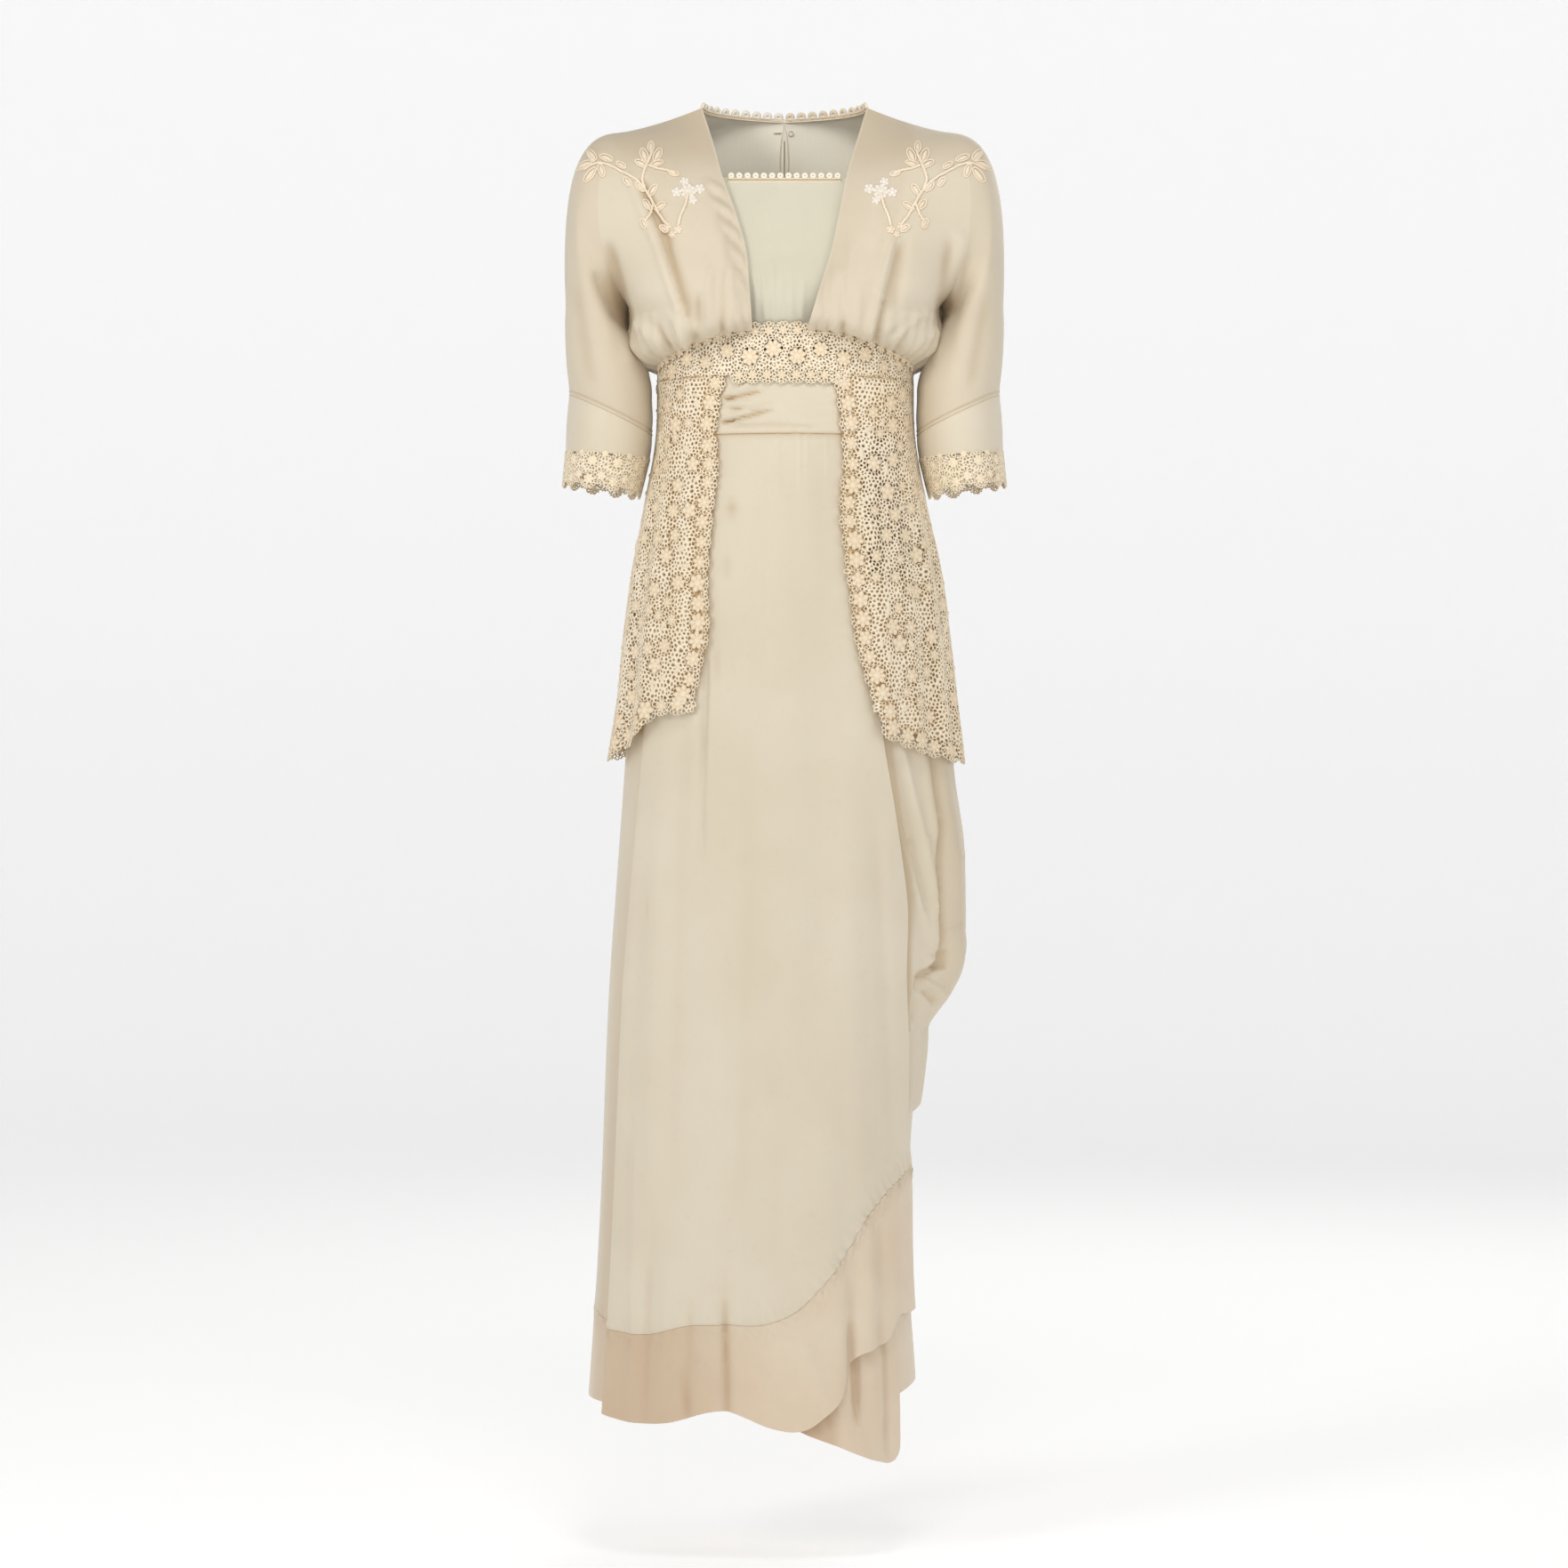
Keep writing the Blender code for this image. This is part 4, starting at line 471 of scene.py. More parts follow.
FRONT_FOLDS = [
    (-81, -550, -83, -660, 3.6, -2.2), (-81, -560, -84, -752, 3.2, -1.9), (-73, -560, -76, -770, 8, 2.6),
    (-92, -570, -96, -740, 9, 1.6), (-58, -1020, -60, -1356, 13, -0.8), (-59, -1100, -60, -1356, 9, -0.8),
    (-62, -1180, -60, -1356, 6, -1.2), (-62, -1226, -58, -1358, 4, -2.8), (-47, -1150, -45, -1350, 10, 2.8),
    (-76, -1180, -80, -1350, 10, 2.4), (-96, -1220, -100, -1352, 7, -2.6),
    (-118, -1180, -124, -1350, 9, 2.0),
    (-138, -1130, -144, -1350, 6, -2.6), (-152, -1060, -158, -1350, 5, 2.4), (66, -1250, 67, -1335, 5, -4.0),
    (66, -1205, 67, -1335, 6, -3.0), (82, -1150, 84, -1290, 8, 2.6), (94, -1150, 97, -1290, 6, -3.2),
    (52, -1190, 54, -1330, 10, 2.4), (110, -1080, 112, -1270, 8, 2.0), (20, -1150, 16, -1350, 22, 1.6),
    (6, -420, 10, -960, 18, 1.2), (30, -480, 40, -1100, 14, -1.4), (-36, -620, -44, -1150, 16, -1.8),
    (60, -660, 74, -1120, 13, 2.0), (-10, -760, -8, -1250, 18, -1.5), (-62, -800, -72, -1180, 14, 2.0),
    (-104, -640, -116, -1120, 14, -1.8), (-130, -700, -140, -1180, 12, 2.0), (92, -720, 108, -1090, 9, -1.9),
    (40, -900, 44, -1240, 12, 1.6), (-22, -330, -24, -600, 9, -1.0), (24, -330, 28, -560, 10, 1.0),
    (-28, -1290, -10, -1340, 7, 1.6), (-84, -1290, -66, -1330, 6, 1.4), (10, -1262, 44, -1330, 9, 1.8),
    (-112, -1280, -100, -1340, 6, -1.6), (70, -1170, 98, -1240, 7, 1.6), (30, -1270, 60, -1240, 6, -1.4),
]
PLEAT_PLACES = ((0.60, 0.7), (0.70, 1.0), (0.735, 0.7), (0.83, 0.6))
PLEAT_DEPTH = 0.7
PLEAT_WIDTH = 0.009
SETTLE_ROUNDS = 12
FREE_EDGE_LIFT = 3.2
FREE_CORNER_LIFT = 2.4
RIGHT_EDGE_LIFT = 2.6
BAND_GAP = 0.4
PEPLUM_FRONTS = columns("height left right", [
    (-250, 51, 60), (-318, 60, 72), (-349, 62, 70), (-386, 58, 74), (-470, 66, 81), (-535, 74, 81),
    (-563, 81, 88), (-620, 98, 100),
])
PEPLUM_HEMS = columns("angle left right", [
    (25, -606, -596), (35, -626, -605), (42, -634, -598), (52, -642, -606), (64, -648, -632),
    (78, -652, -646), (90, -650, -648), (130, -644, -644), (180, -640, -640),
])


def under_lace(angle, height):
    """2 where the open-fronted lace lies over the cloth, which is painted a warm ochre there as the shade
    seen through the lace's gaps, and 0 elsewhere.
    """
    turn = np.mod(angle + 180.0, 360.0) - 180.0
    x = on_figure(turn, height, LACE_LAYER)[..., 0]
    inside = np.where(
        turn > 0, x - along(PEPLUM_FRONTS, "left", height), -x - along(PEPLUM_FRONTS, "right", height))
    hem = np.where(
        turn > 0, np.interp(turn, PEPLUM_HEMS["angle"], PEPLUM_HEMS["left"]),
        np.interp(-turn, PEPLUM_HEMS["angle"], PEPLUM_HEMS["right"]))
    return 2.0 * np.where(np.abs(turn) > 90, 1.0, ramp(inside, -2, 8)) * ramp(height - hem, 4, 14)


def front_cloth(steps, drops, top, bottom):
    """Grid of the wrapped front between two lines round the figure: the angle runs from the left edge to the
    free edge at that height, the height from the top line to the bottom line at that angle, settled in
    rounds. Its edges stand off, small pleats hang from the sash, and the listed folds are added."""
    height = -800.0 + 0 * drops[:, None] * steps
    for _ in range(SETTLE_ROUNDS):
        angle = FRONT_LEFT_EDGE + steps * (along(FREE_EDGE, "angle", height) - FRONT_LEFT_EDGE)
        start = top(angle)
        height = start + drops[:, None] * (bottom(angle) - start)
    lift = FREE_EDGE_LIFT * ramp(angle, 14, 28) * ramp(height, -320, -400)
    lift += FREE_CORNER_LIFT * ramp(height, -540, -720)
    lift += RIGHT_EDGE_LIFT * ramp(angle, -52, -58) * ramp(height, -640, -860)
    pleats = sum(size * np.exp(-(((steps - place) / PLEAT_WIDTH) ** 2)) for place, size in PLEAT_PLACES)
    pleats = PLEAT_DEPTH * pleats * ramp(height, -312, -322) * ramp(height, -400, -335)
    folds = folds_on(on_figure(angle, height, 0), FRONT_FOLDS)
    folds = np.maximum(folds, -4.6 * ramp(height, -1100, -1290) - 2.8 * ramp(height, -540, -720) - 0.7)
    # The last value is painted shade, deeper in the troughs of the folds.
    return angle, height, FRONT_LAYER + lift + pleats + folds, 0.4 * ramp(-folds, 0.8, 5.5)


def puckers(angle, height, seam, reach, depth):
    """Small slanting puckers beside a seam: a wave along it whose pitch wanders, dying away from it."""
    away = np.abs(height - seam)
    lean = angle * 1.15 + away * 0.16
    wave = np.sin(lean * 2.1 + 2.0 * np.sin(lean * 0.37)) + 0.6 * np.sin(lean * 3.7 + 1.0)
    return depth * wave * np.exp(-((away / reach) ** 2))


# Painted shade: soft patches beside the lace's front edge, and one small dark spot lower down.
SKIRT_SHADE_MARKS = [
    (-55, -397, 6, 8, 0.5), (-60, -458, 5, 10, 0.25), (-144, -821, 1.2, 2.5, 1.0), (-70, -560, 4, 16, 0.25),
]


def shade_marks_on(points):
    """Soft darker patches painted beside the lace's front edge as its shade, and one small dark spot lower
    on the wearer's right: the sum of exp(-(distance / size)^2) about each mark's place.
    """
    return sum(
        strength * np.exp(-(((points[..., 0] - x) / wide) ** 2) - ((points[..., 2] - z) / high) ** 2)
        for x, z, wide, high, strength in SKIRT_SHADE_MARKS)


def skirt_seam(angle):
    """Height at which the front's hem band is sewn on."""
    return along(FRONT_SEAM, "height", angle)


def seam_puckers(angle, height, reach, depth):
    """Puckers of the front's hem band seam, deeper where it curves up to the free edge."""
    return (0.8 + 0.6 * ramp(angle, 8, 30)) * puckers(angle, height, skirt_seam(angle), reach, depth)


steps = np.linspace(0.0, 1.0, 141)
angle, height, out, crease_shade = front_cloth(
    steps, np.linspace(0.0, 1.0, 91) - 0.1 * np.sin(np.linspace(0.0, 2 * np.pi, 91)),
    lambda angle: SKIRT_TOP + 0 * angle, skirt_seam)
panel = on_figure(angle, height, out + seam_puckers(angle, height, 17.0, 0.7))
# Painted shade in its colour: deeper in the troughs of its folds and in soft patches beside the lace's front
# edge, warm ochre under the lace, a dark line just under the sash and a faint one along the hem band's seam.
skirt_front = cloth("skirt_front_satin", panel, CREAM_SATIN, "cream_satin",
                    tint=crease_shade + shade_marks_on(panel) + under_lace(angle, height)
                    + 0.7 * ramp(height, -324, -317) + 0.15 * ramp(height - skirt_seam(angle), 3.5, 0))
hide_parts("skirt_front")

angle, height, out, crease_shade = front_cloth(
    steps, np.linspace(0.0, 1.0, 33) ** 1.3, lambda angle: skirt_seam(angle) - BAND_GAP,
    lambda angle: along(FRONT_HEM, "height", angle))
band = on_figure(angle, height, out + seam_puckers(angle, height, 19.0, 0.85))
# Painted shade: deeper in the troughs of its folds and towards the wearer's right, where less light falls on
# the band.
skirt_front_band = cloth("skirt_front_hem_band", band, PEACH_SATIN, "peach_satin",
                         tint=crease_shade + 0.5 * ramp(angle, 12, -34))
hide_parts("skirt_front_band")

# Skirt back and under panel: the back panel runs from the wearer's left side round to under the right
# front, with its own hem band; the under panel is peach satin, longest at its rounded corner.
BACK_HEM = columns("angle height", [
    (62, -1328), (70, -1324), (80, -1320), (90, -1318), (180, -1336), (270, -1335.5), (300, -1337),
])
BACK_SEAM = columns("angle height", [(62, -1244), (90, -1240), (180, -1246), (270, -1239), (300, -1254)])
UNDER_HEM = columns("angle height", [
    (10, -1348), (20, -1363.5), (30, -1375), (40, -1387), (50, -1396), (57, -1398), (60, -1394),
    (61.7, -1386),
])
UNDER_TOP_ANGLE = 42.0
UNDER_START = 10
UNDER_END = 61.7
BACK_WAVES = ((5, 0.3, 3.0), (9, 1.1, 2.6), (14, 2.0, 2.2), (23, 0.6, 1.0))


def back_folds(angle, height):
    """Soft hanging folds behind: waves round the figure that sink inwards and deepen towards the hem."""
    turn = np.radians(angle + 6.0 * np.sin(height / 210.0))
    waves = sum(size * (np.sin(count * turn + start) - 1) for count, start, size in BACK_WAVES)
    return waves * ramp(angle, 94, 124) * ramp(angle, 264, 238) * ramp(height, -330, -1100)


angle = np.linspace(62, 300, 141)[None, :]
drops = np.linspace(0.0, 1.0, 61)[:, None]
seam = along(BACK_SEAM, "height", angle)
height = SKIRT_TOP + drops * (seam - SKIRT_TOP)
folds = back_folds(angle, height)
out = UNDER_LAYER + folds + puckers(angle, height, seam, 12.0, 0.6)
shade = (0.12 + 0.25 * ramp(height, -700, -1150)) * ramp(angle, 276, 290) + 0.3 * ramp(-folds, 5, 16)
skirt_back = cloth("skirt_back_satin", on_figure(angle, height, out), CREAM_SATIN, "cream_satin",
                   tint=shade + under_lace(angle, height))
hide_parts("skirt_back")

drops = np.linspace(0.0, 1.0, 17)[:, None]
height = seam - BAND_GAP + drops * (along(BACK_HEM, "height", angle) - seam)
out = UNDER_LAYER + back_folds(angle, height) + puckers(angle, height, seam, 14.0, 0.8)
band = on_figure(angle, height, out)
skirt_back_band = cloth("skirt_back_hem_band", band, PEACH_SATIN, "peach_satin", tint=shade[-1:])
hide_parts("skirt_back_band")

angle = np.linspace(UNDER_START, UNDER_END, 41)[None, :]
drops = np.linspace(0.0, 1.0, 81)[:, None]
hem = along(UNDER_HEM, "height", angle)
height = SKIRT_TOP + drops * (hem - SKIRT_TOP)
angle = angle + (1 - drops) * (UNDER_TOP_ANGLE - UNDER_START) * (UNDER_END - angle) / 51.7
under = on_figure(angle, height, 0.0)
UNDER_FOLDS = [
    (74, -1270, 76, -1345, 5, -4.6), (92, -1280, 96, -1350, 8, 2.2), (104, -1200, 108, -1390, 6, -2.2),
    (118, -1180, 121, -1390, 7, 2.4), (52, -1330, 84, -1380, 9, 1.6), (60, -1344, 96, -1392, 5, -1.2),
]
folds = folds_on(under, UNDER_FOLDS)
out = UNDER_LAYER + folds + puckers(angle, height, hem + 9, 7.0, 0.3)
# Painted shade: deeper in the troughs of its folds, where it runs in under the front band, and just below
# the front band's hem.
skirt_under = cloth("skirt_under_satin", on_figure(angle, height, out), PEACH_SATIN, "peach_satin",
                    tint=0.6 * ramp(-folds, 0.5, 3.0) + 0.5 * ramp(angle, 33, 28)
                    + 0.5 * ramp(height - along(FRONT_HEM, "height", angle), -18, -1))
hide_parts("skirt_under_panel")

# Side drape: cloth carried over the wearer's left hip and caught up into a pouch, with one narrow fold
# falling from under it. Its folds run down from the hip into the catch.
DRAPE_SWELL = columns("height out", [
    (-470, 0.0), (-560, 1.0), (-600, 2.5), (-640, 5.0), (-675, 8.0), (-745, 20.0), (-798, 26.5),
    (-863, 33.0), (-885, 32.3), (-903, 28.0), (-918, 20.5), (-931, 12.0), (-940, 7.0), (-947, 5.0),
])
DRAPE_TOP = -470
DRAPE_FALL = 477
DRAPE_TUCK = 44
TAIL_TOP = -936
TAIL_SWELL = columns("height out", [(-936, 4.0), (-960, 6.5), (-1000, 6.5), (-1030, 5.0)])
TAIL_HEM = columns("angle height", [
    (58, -1034), (70, -1034), (78, -1031), (84, -1022), (90, -1004), (98, -988), (110, -975),
])
DRAPE_FOLDS = [
    (104, -640, 118, -735, 6, 3.0), (118, -735, 134, -800, 6, 4.5), (134, -800, 146, -850, 6, 4.5),
    (113, -655, 132, -745, 7, -3.6), (132, -745, 147, -815, 5, -4.0), (122, -650, 143, -745, 6, 4.4),
    (143, -745, 153, -815, 6, 5.0), (153, -815, 151, -858, 5, 3.5),
    (150, -650, 157, -740, 5, 2.6), (165, -640, 166, -725, 5, -5.0), (166, -725, 159, -775, 4, -5.5),
    (159, -775, 157, -862, 3, -7.5), (176, -650, 178, -760, 7, 3.0), (178, -760, 172, -800, 6, 3.0),
    (160, -842, 175, -830, 2.5, -1.8), (162, -846, 175, -835, 3, 0.8),
    (158, -862, 156, -880, 4, -8.0), (156, -876, 139, -888, 4, -6.5), (139, -888, 136, -902, 4, -4.0),
    (148, -868, 140, -880, 4, 4.0), (141, -894, 156, -906, 4, 5.0), (156, -906, 163, -910, 4, 3.0),
    (142, -902, 156, -916, 3.5, -4.5), (172, -850, 176, -895, 9, 2.5),
    (126, -860, 132, -925, 4, 2.5), (134, -910, 134, -935, 4, -3.5),
]


def drape_fullness(angle, height):
    """Share of the swell: none under the front panel's free edge, all at the side, none behind."""
    start = along(FREE_EDGE, "angle", height) + 3
    return ramp(angle, start, start + 26) * ramp(angle, 150, 114)


angle = np.linspace(30, 150, 121)[None, :]
drops = np.linspace(0.0, 1.0, 121)[:, None] ** 0.8
height = DRAPE_TOP - drops * (DRAPE_FALL - DRAPE_TUCK * ramp(angle, 104, 152))
full = drape_fullness(angle, height)
start = along(FREE_EDGE, "angle", height)
folds = folds_on(on_figure(angle, height, 18 * full), DRAPE_FOLDS) * ramp(angle, start - 1, start + 6)
folds = folds * ramp(angle, 150, 114)
swag = 2.4 * np.sin((height + 2.1 * angle) / 11.0 + 1.4 * np.sin(height / 47.0))
folds = folds + swag * ramp(angle, 100, 120) * ramp(angle, 152, 138) * ramp(height, -640, -720)
out = DRAPE_LAYER + 1.2 * ramp(angle, 110, 126) + along(DRAPE_SWELL, "out", height) * full + folds
# Painted shade: deeper in the troughs of its folds and beside the front panel's free edge, and warm ochre
# under the lace. Its tone is also a little deeper over the swell.
side_drape = cloth("side_drape_satin", on_figure(angle, height, out), CREAM_SATIN, "cream_satin",
                   tint=0.3 * full + 0.45 * ramp(-folds, 0.5, 6) + 0.6 * ramp(angle - start, 6.5, 3)
                   + under_lace(angle, height))
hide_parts("side_drape")

angle = np.linspace(56, 110, 41)[None, :]
drops = np.linspace(0.0, 1.0, 33)[:, None]
height = TAIL_TOP + drops * (along(TAIL_HEM, "height", angle) - TAIL_TOP)
full = ramp(angle, 66, 80) * ramp(angle, 116, 102)
roll = 1.6 * np.sin((angle - 66) * 0.45) * ramp(angle, 66, 72)
tail = on_figure(angle, height, DRAPE_LAYER - 0.6 + along(TAIL_SWELL, "out", height) * full + roll)
drape_tail = cloth("drape_tail_satin", tail, CREAM_SATIN, "cream_satin", tint=0.08 + 0 * height)
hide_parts("drape_tail")

# Bodice and sleeves: two fronts that leave a deep V and two backs hooked together at centre back, each cut
# in one sweep with the top of the elbow sleeve, of sheer silk chiffon over silk. They are gathered and
# bloused over the belt, and darker where the shoulders are double cloth.
CHIFFON = cloth_material(
    "ivory_chiffon", (0.645, 0.57, 0.44), (0.45, 0.33, 0.20), (0.685, 0.61, 0.48),
    0.55, 0.35, 0.0005, 0.5, 0.00004, 0.0004)
# The pale net lining inside the backs is the dress's own net, but its colour is painted paler than the other
# cloths, as light, to lift the shade inside the neck.
LINING = cloth_material(
    "pale_lining", (0.92, 0.86, 0.71), (0.72, 0.63, 0.48), (0.93, 0.88, 0.76),
    0.7, 0.2, 0.0011, 0.5, 0.00012, 0.0004)
LACE = 1.8
WAIST = 8.0
UNDERARM = 6.0
ROLL_START = 7.4
CENTRE_BACK = 180.0
BACK_PARTING = 0.35
BACK_NECK_STATION = 2.0
NECK_EDGES = columns("station left right depth height", [
    (0, 88.0, 88.0, 0, 37), (1, 76.5, 76.0, -38, -4), (2, 65.6, 65.6, -70, -44),
    (3, 57.5, 51.0, -92, -86), (4, 49.0, 40.0, -105, -126), (5, 39.0, 37.0, -116, -160),
    (6, 30.6, 35.0, -121, -188), (7, 26.5, 34.0, -117, -201), (8, 24.0, 33.4, -104, -210),
])
CENTRE_BACK_LINE = columns("station depth height", [
    (2, 62, 33), (3, 74, -20), (4, 85, -70), (5, 91, -120), (6, 92, -165), (7, 89, -203), (8, 85, -235),
])
BACK_NECK = np.array([(88.0, 0.0, 37.0), (86.0, 60.0, 37.0), (BACK_PARTING, 62.0, 33.0)])
FRONT_PULLS = columns("station near_x near_y near_z far_x far_y far_z", [
    (0, 116, 0, 25, 150, 0, 18), (1, 108, -46, -6, 150, -46, -4), (2, 100, -86, -48, 152, -84, -38),
    (3, 96, -112, -92, 158, -108, -78), (4, 90, -130, -132, 162, -126, -120),
    (5, 82, -142, -168, 166, -130, -165), (6, 80, -145, -196, 171, -108, -192),
    (7, 76, -138, -214, 165, -100, -218), (8, 72, -116, -216, 140, -76, -240),
])
BACK_PULLS = columns("station near_x near_y near_z far_x far_y far_z", [
    (0, 116, 0, 25, 150, 0, 18), (1, 98, 44, 24, 150, 44, 4), (2, 70, 80, 22, 160, 74, -20),
    (3, 70, 88, -30, 165, 92, -60), (4, 70, 100, -78, 165, 100, -112), (5, 70, 102, -128, 166, 104, -160),
    (6, 70, 102, -172, 171, 84, -188), (7, 70, 98, -210, 165, 78, -216), (8, 66, 92, -238, 140, 62, -244),
])
ARMHOLE_OUT = 175.5
ARMHOLE_HEIGHT = -84.0
ARMHOLE_LEAN = 4.5
ARMHOLE_BULGE = 21.0
ARMHOLE_HALF_DEEP = 68.0
ARMHOLE_HALF_TALL = 93.5
ARMHOLE_TURNS = columns("station turn", [(0, 0), (1, 30), (2, 55), (3, 80), (4, 110), (5, 148), (6, 180)])
SIDE_SEAM = columns("station out height", [
    (6.0, 171.0, -177.5), (6.7, 168.5, -203.0), (7.4, 164.5, -231.0), (8.0, 137.0, -246.0),
])
WAIST_SEAM = columns("angle height", [
    (0, -210), (25, -213), (60, -232), (90, -246), (130, -240), (180, -235),
])
SLEEVE_RINGS = {
    "slanted_seam": (185.5, 44.0, 60.0, -269.0, -311.0),
    "band_hem": (189.0, 44.5, 60.0, -332.0, -340.0),
    "cuff_hem": (193.7, 42.2, 60.0, -357.0, -368.0),
}
CROWN_REACH = 71.0
UNDERARM_REACH = 15.0
UNDERARM_SINK = 0.28
SEAM_REACH = 5.0
SEAM_HUG = 4.0
SEAM_RISE = 0.42
SLEEVE_TUCK = columns("height inwards", [
    (-150, 0), (-170, 5), (-188, 9.5), (-215, 10), (-246, 11), (-262, 8), (-275, 4), (-305, 0),
])
BODICE_FOLDS = {
    "left": [
        (114, -120, 99, -178, 5, 2.6), (99, -178, 88, -222, 5, 2.6), (125, -118, 112, -190, 7, -1.6),
        (150, -188, 104, -232, 5, 2.6), (160, -206, 118, -240, 5, 2.2), (140, -196, 96, -226, 4, -1.4),
        (176, -120, 166, -200, 8, -3.0), (188, -110, 172, -170, 9, 2.2), (70, -120, 62, -200, 7, 1.0),
        (52, -150, 50, -205, 6, 1.2), (84, -40, 96, -120, 12, 0.9), (118, -124, 104, -184, 4, -2.2),
        (104, -184, 94, -226, 4, -2.2), (146, -196, 104, -236, 4, -2.2), (62, -160, 60, -216, 4, -1.4),
        (78, -170, 76, -222, 5, 1.5), (40, -150, 42, -200, 4, 0.8),
    ],
    "right": [
        (-163, -48, -138, -110, 6, 2.2), (-138, -110, -110, -190, 5, 2.8), (-110, -190, -104, -228, 5, 2.2),
        (-150, -56, -122, -118, 9, -1.6), (-122, -118, -96, -200, 8, -1.4),
        (-157, -198, -124, -236, 5, 2.8), (-166, -214, -136, -246, 5, 2.2), (-122, -192, -100, -228, 5, 2.0),
        (-140, -200, -112, -238, 4, -1.5), (-186, -120, -166, -200, 8, -2.6),
        (-150, -52, -128, -110, 5, -2.4), (-128, -110, -104, -196, 4, -2.2),
        (-66, -110, -52, -205, 7, 1.2), (-80, -60, -70, -150, 9, 0.9),
        (-64, -62, -80, -54, 3.2, 1.3), (-60, -74, -78, -65, 3.0, -1.4), (-55, -86, -73, -77, 3.2, 1.4),
        (-51, -98, -68, -89, 3.0, -1.4), (-47, -111, -63, -102, 3.2, 1.4), (-44, -124, -59, -115, 3.0, -1.3),
        (-41, -138, -55, -129, 3.2, 1.2), (-38, -154, -51, -145, 3.0, -1.1),
        (-36, -170, -48, -162, 3.2, 0.9),
        (-60, -150, -64, -215, 4, -1.6), (-78, -150, -80, -222, 5, 1.6), (-90, -176, -90, -226, 4, -1.5),
    ],
}
BACK_FOLDS = [
    (40, -60, 34, -225, 9, -1.6), (62, -40, 58, -230, 8, 1.5), (88, -70, 78, -232, 7, -1.8),
    (104, -60, 98, -236, 8, 1.7), (150, -110, 112, -238, 7, -2.0), (158, -130, 126, -240, 6, 1.8),
    (20, -120, 20, -232, 6, 1.2), (132, -20, 118, -110, 9, -1.4),
]


def bezier(a, b, c, d, t):
    """Cubic curve through whole arrays: (1-t)^3 a + 3t(1-t)^2 b + 3t^2(1-t) c + t^3 d."""
    return (1 - t) ** 3 * a + 3 * t * (1 - t) ** 2 * b + 3 * t**2 * (1 - t) * c + t**3 * d


def armhole_loop(turn):
    """Upright oval round the arm, 0 at its top and 90 in front, bulging sideways with the sine squared."""
    turn = np.radians(turn)
    x = ARMHOLE_OUT + ARMHOLE_LEAN * np.cos(turn) + ARMHOLE_BULGE * np.sin(turn) ** 2
    height = ARMHOLE_HEIGHT + ARMHOLE_HALF_TALL * np.cos(turn)
    return np.stack([x, -ARMHOLE_HALF_DEEP * np.sin(turn), height], axis=-1)


def sleeve_ring(name, turns):
    """Slanted oval of the sleeve: 0 on the outer side, 90 in front; its height follows the cosine."""
    centre, half_width, half_depth, outer_height, inner_height = SLEEVE_RINGS[name]
    turn = np.radians(turns)
    height = (outer_height + inner_height) / 2 + (outer_height - inner_height) / 2 * np.cos(turn)
    return np.stack([centre + half_width * np.cos(turn), -half_depth * np.sin(turn), height], axis=-1)


def sleeve_start(turns):
    """How the sleeve leaves the armhole: far out at its crown, closely and downwards under the arm."""
    crown = (1 + np.cos(np.radians(turns))) / 2
    drop = np.linalg.norm(sleeve_ring("slanted_seam", turns) - armhole_loop(turns), axis=-1)
    out = CROWN_REACH * crown + UNDERARM_REACH * (1 - crown)
    sink = crown + UNDERARM_SINK * drop * (1 - crown)
    return np.stack([out, 0 * crown, -sink], axis=-1)


def shared_start(turns, arriving):
    """Direction in which the cloth crosses the armhole: the bodice's and the sleeve's own directions
    averaged round the top, so that the cloth runs on, and each its own under the arm."""
    leaving = unit(sleeve_start(turns))
    arriving = unit(arriving)
    share = ramp(np.abs(turns), 165, 110)[:, None]
    mean = unit(arriving + leaving)
    return unit(arriving * (1 - share) + mean * share), unit(leaving * (1 - share) + mean * share)


def waist_seam_height(angle):
    """Height of the seam between the bodice and the belt."""
    return along(WAIST_SEAM, "height", np.abs(angle))


def back_inner_edge(station):
    """Back neck as a curve of three points down to its station, then the centre back line."""
    t = np.clip(station / BACK_NECK_STATION, 0, 1)[:, None]
    neck = (1 - t) ** 2 * BACK_NECK[0] + 2 * t * (1 - t) * BACK_NECK[1] + t**2 * BACK_NECK[2]
    line = read(CENTRE_BACK_LINE, "depth height", station)
    centre = np.column_stack([BACK_PARTING + 0 * station, line])
    return np.where(station[:, None] <= BACK_NECK_STATION, neck, centre)


def panel_grid(station, steps, inner, pulls, facing, waist):
    """Bodice panel of the left side. Each row is a cubic curve from the inner edge to the armhole or the
    side seam; below the roll line the rows bend over in one curve into the waist seam."""
    turns = facing * along(ARMHOLE_TURNS, "turn", np.minimum(station, UNDERARM))
    side_seam = read(SIDE_SEAM, "out out height", station) * [1, 0, 1]
    outer = np.where(station[:, None] <= UNDERARM, armhole_loop(turns), side_seam)
    near = read(pulls, "near_x near_y near_z", station)
    far = read(pulls, "far_x far_y far_z", station)
    crossing, _ = shared_start(turns, outer - far)
    pulled_in = outer - crossing * np.linalg.norm(outer - far, axis=-1)[:, None]
    far = np.where(station[:, None] <= UNDERARM, pulled_in, far)
    t = steps[None, :, None]
    grid = bezier(inner[:, None], near[:, None], far[:, None], outer[:, None], t)
    first = np.searchsorted(station, ROLL_START)
    start = grid[first]
    fall = (grid[first] - grid[first - 1]) / (station[first] - station[first - 1]) * (WAIST - ROLL_START)
    u = ((station[first:] - station[first]) / (WAIST - station[first]))[:, None, None]
    into = (waist - start) * 0.9
    into[:, 2] += 3.0
    roll = (2 * u**3 - 3 * u**2 + 1) * start + (u**3 - 2 * u**2 + u) * fall
    grid[first:] = roll + (3 * u**2 - 2 * u**3) * waist + (u**3 - u**2) * into
    return grid


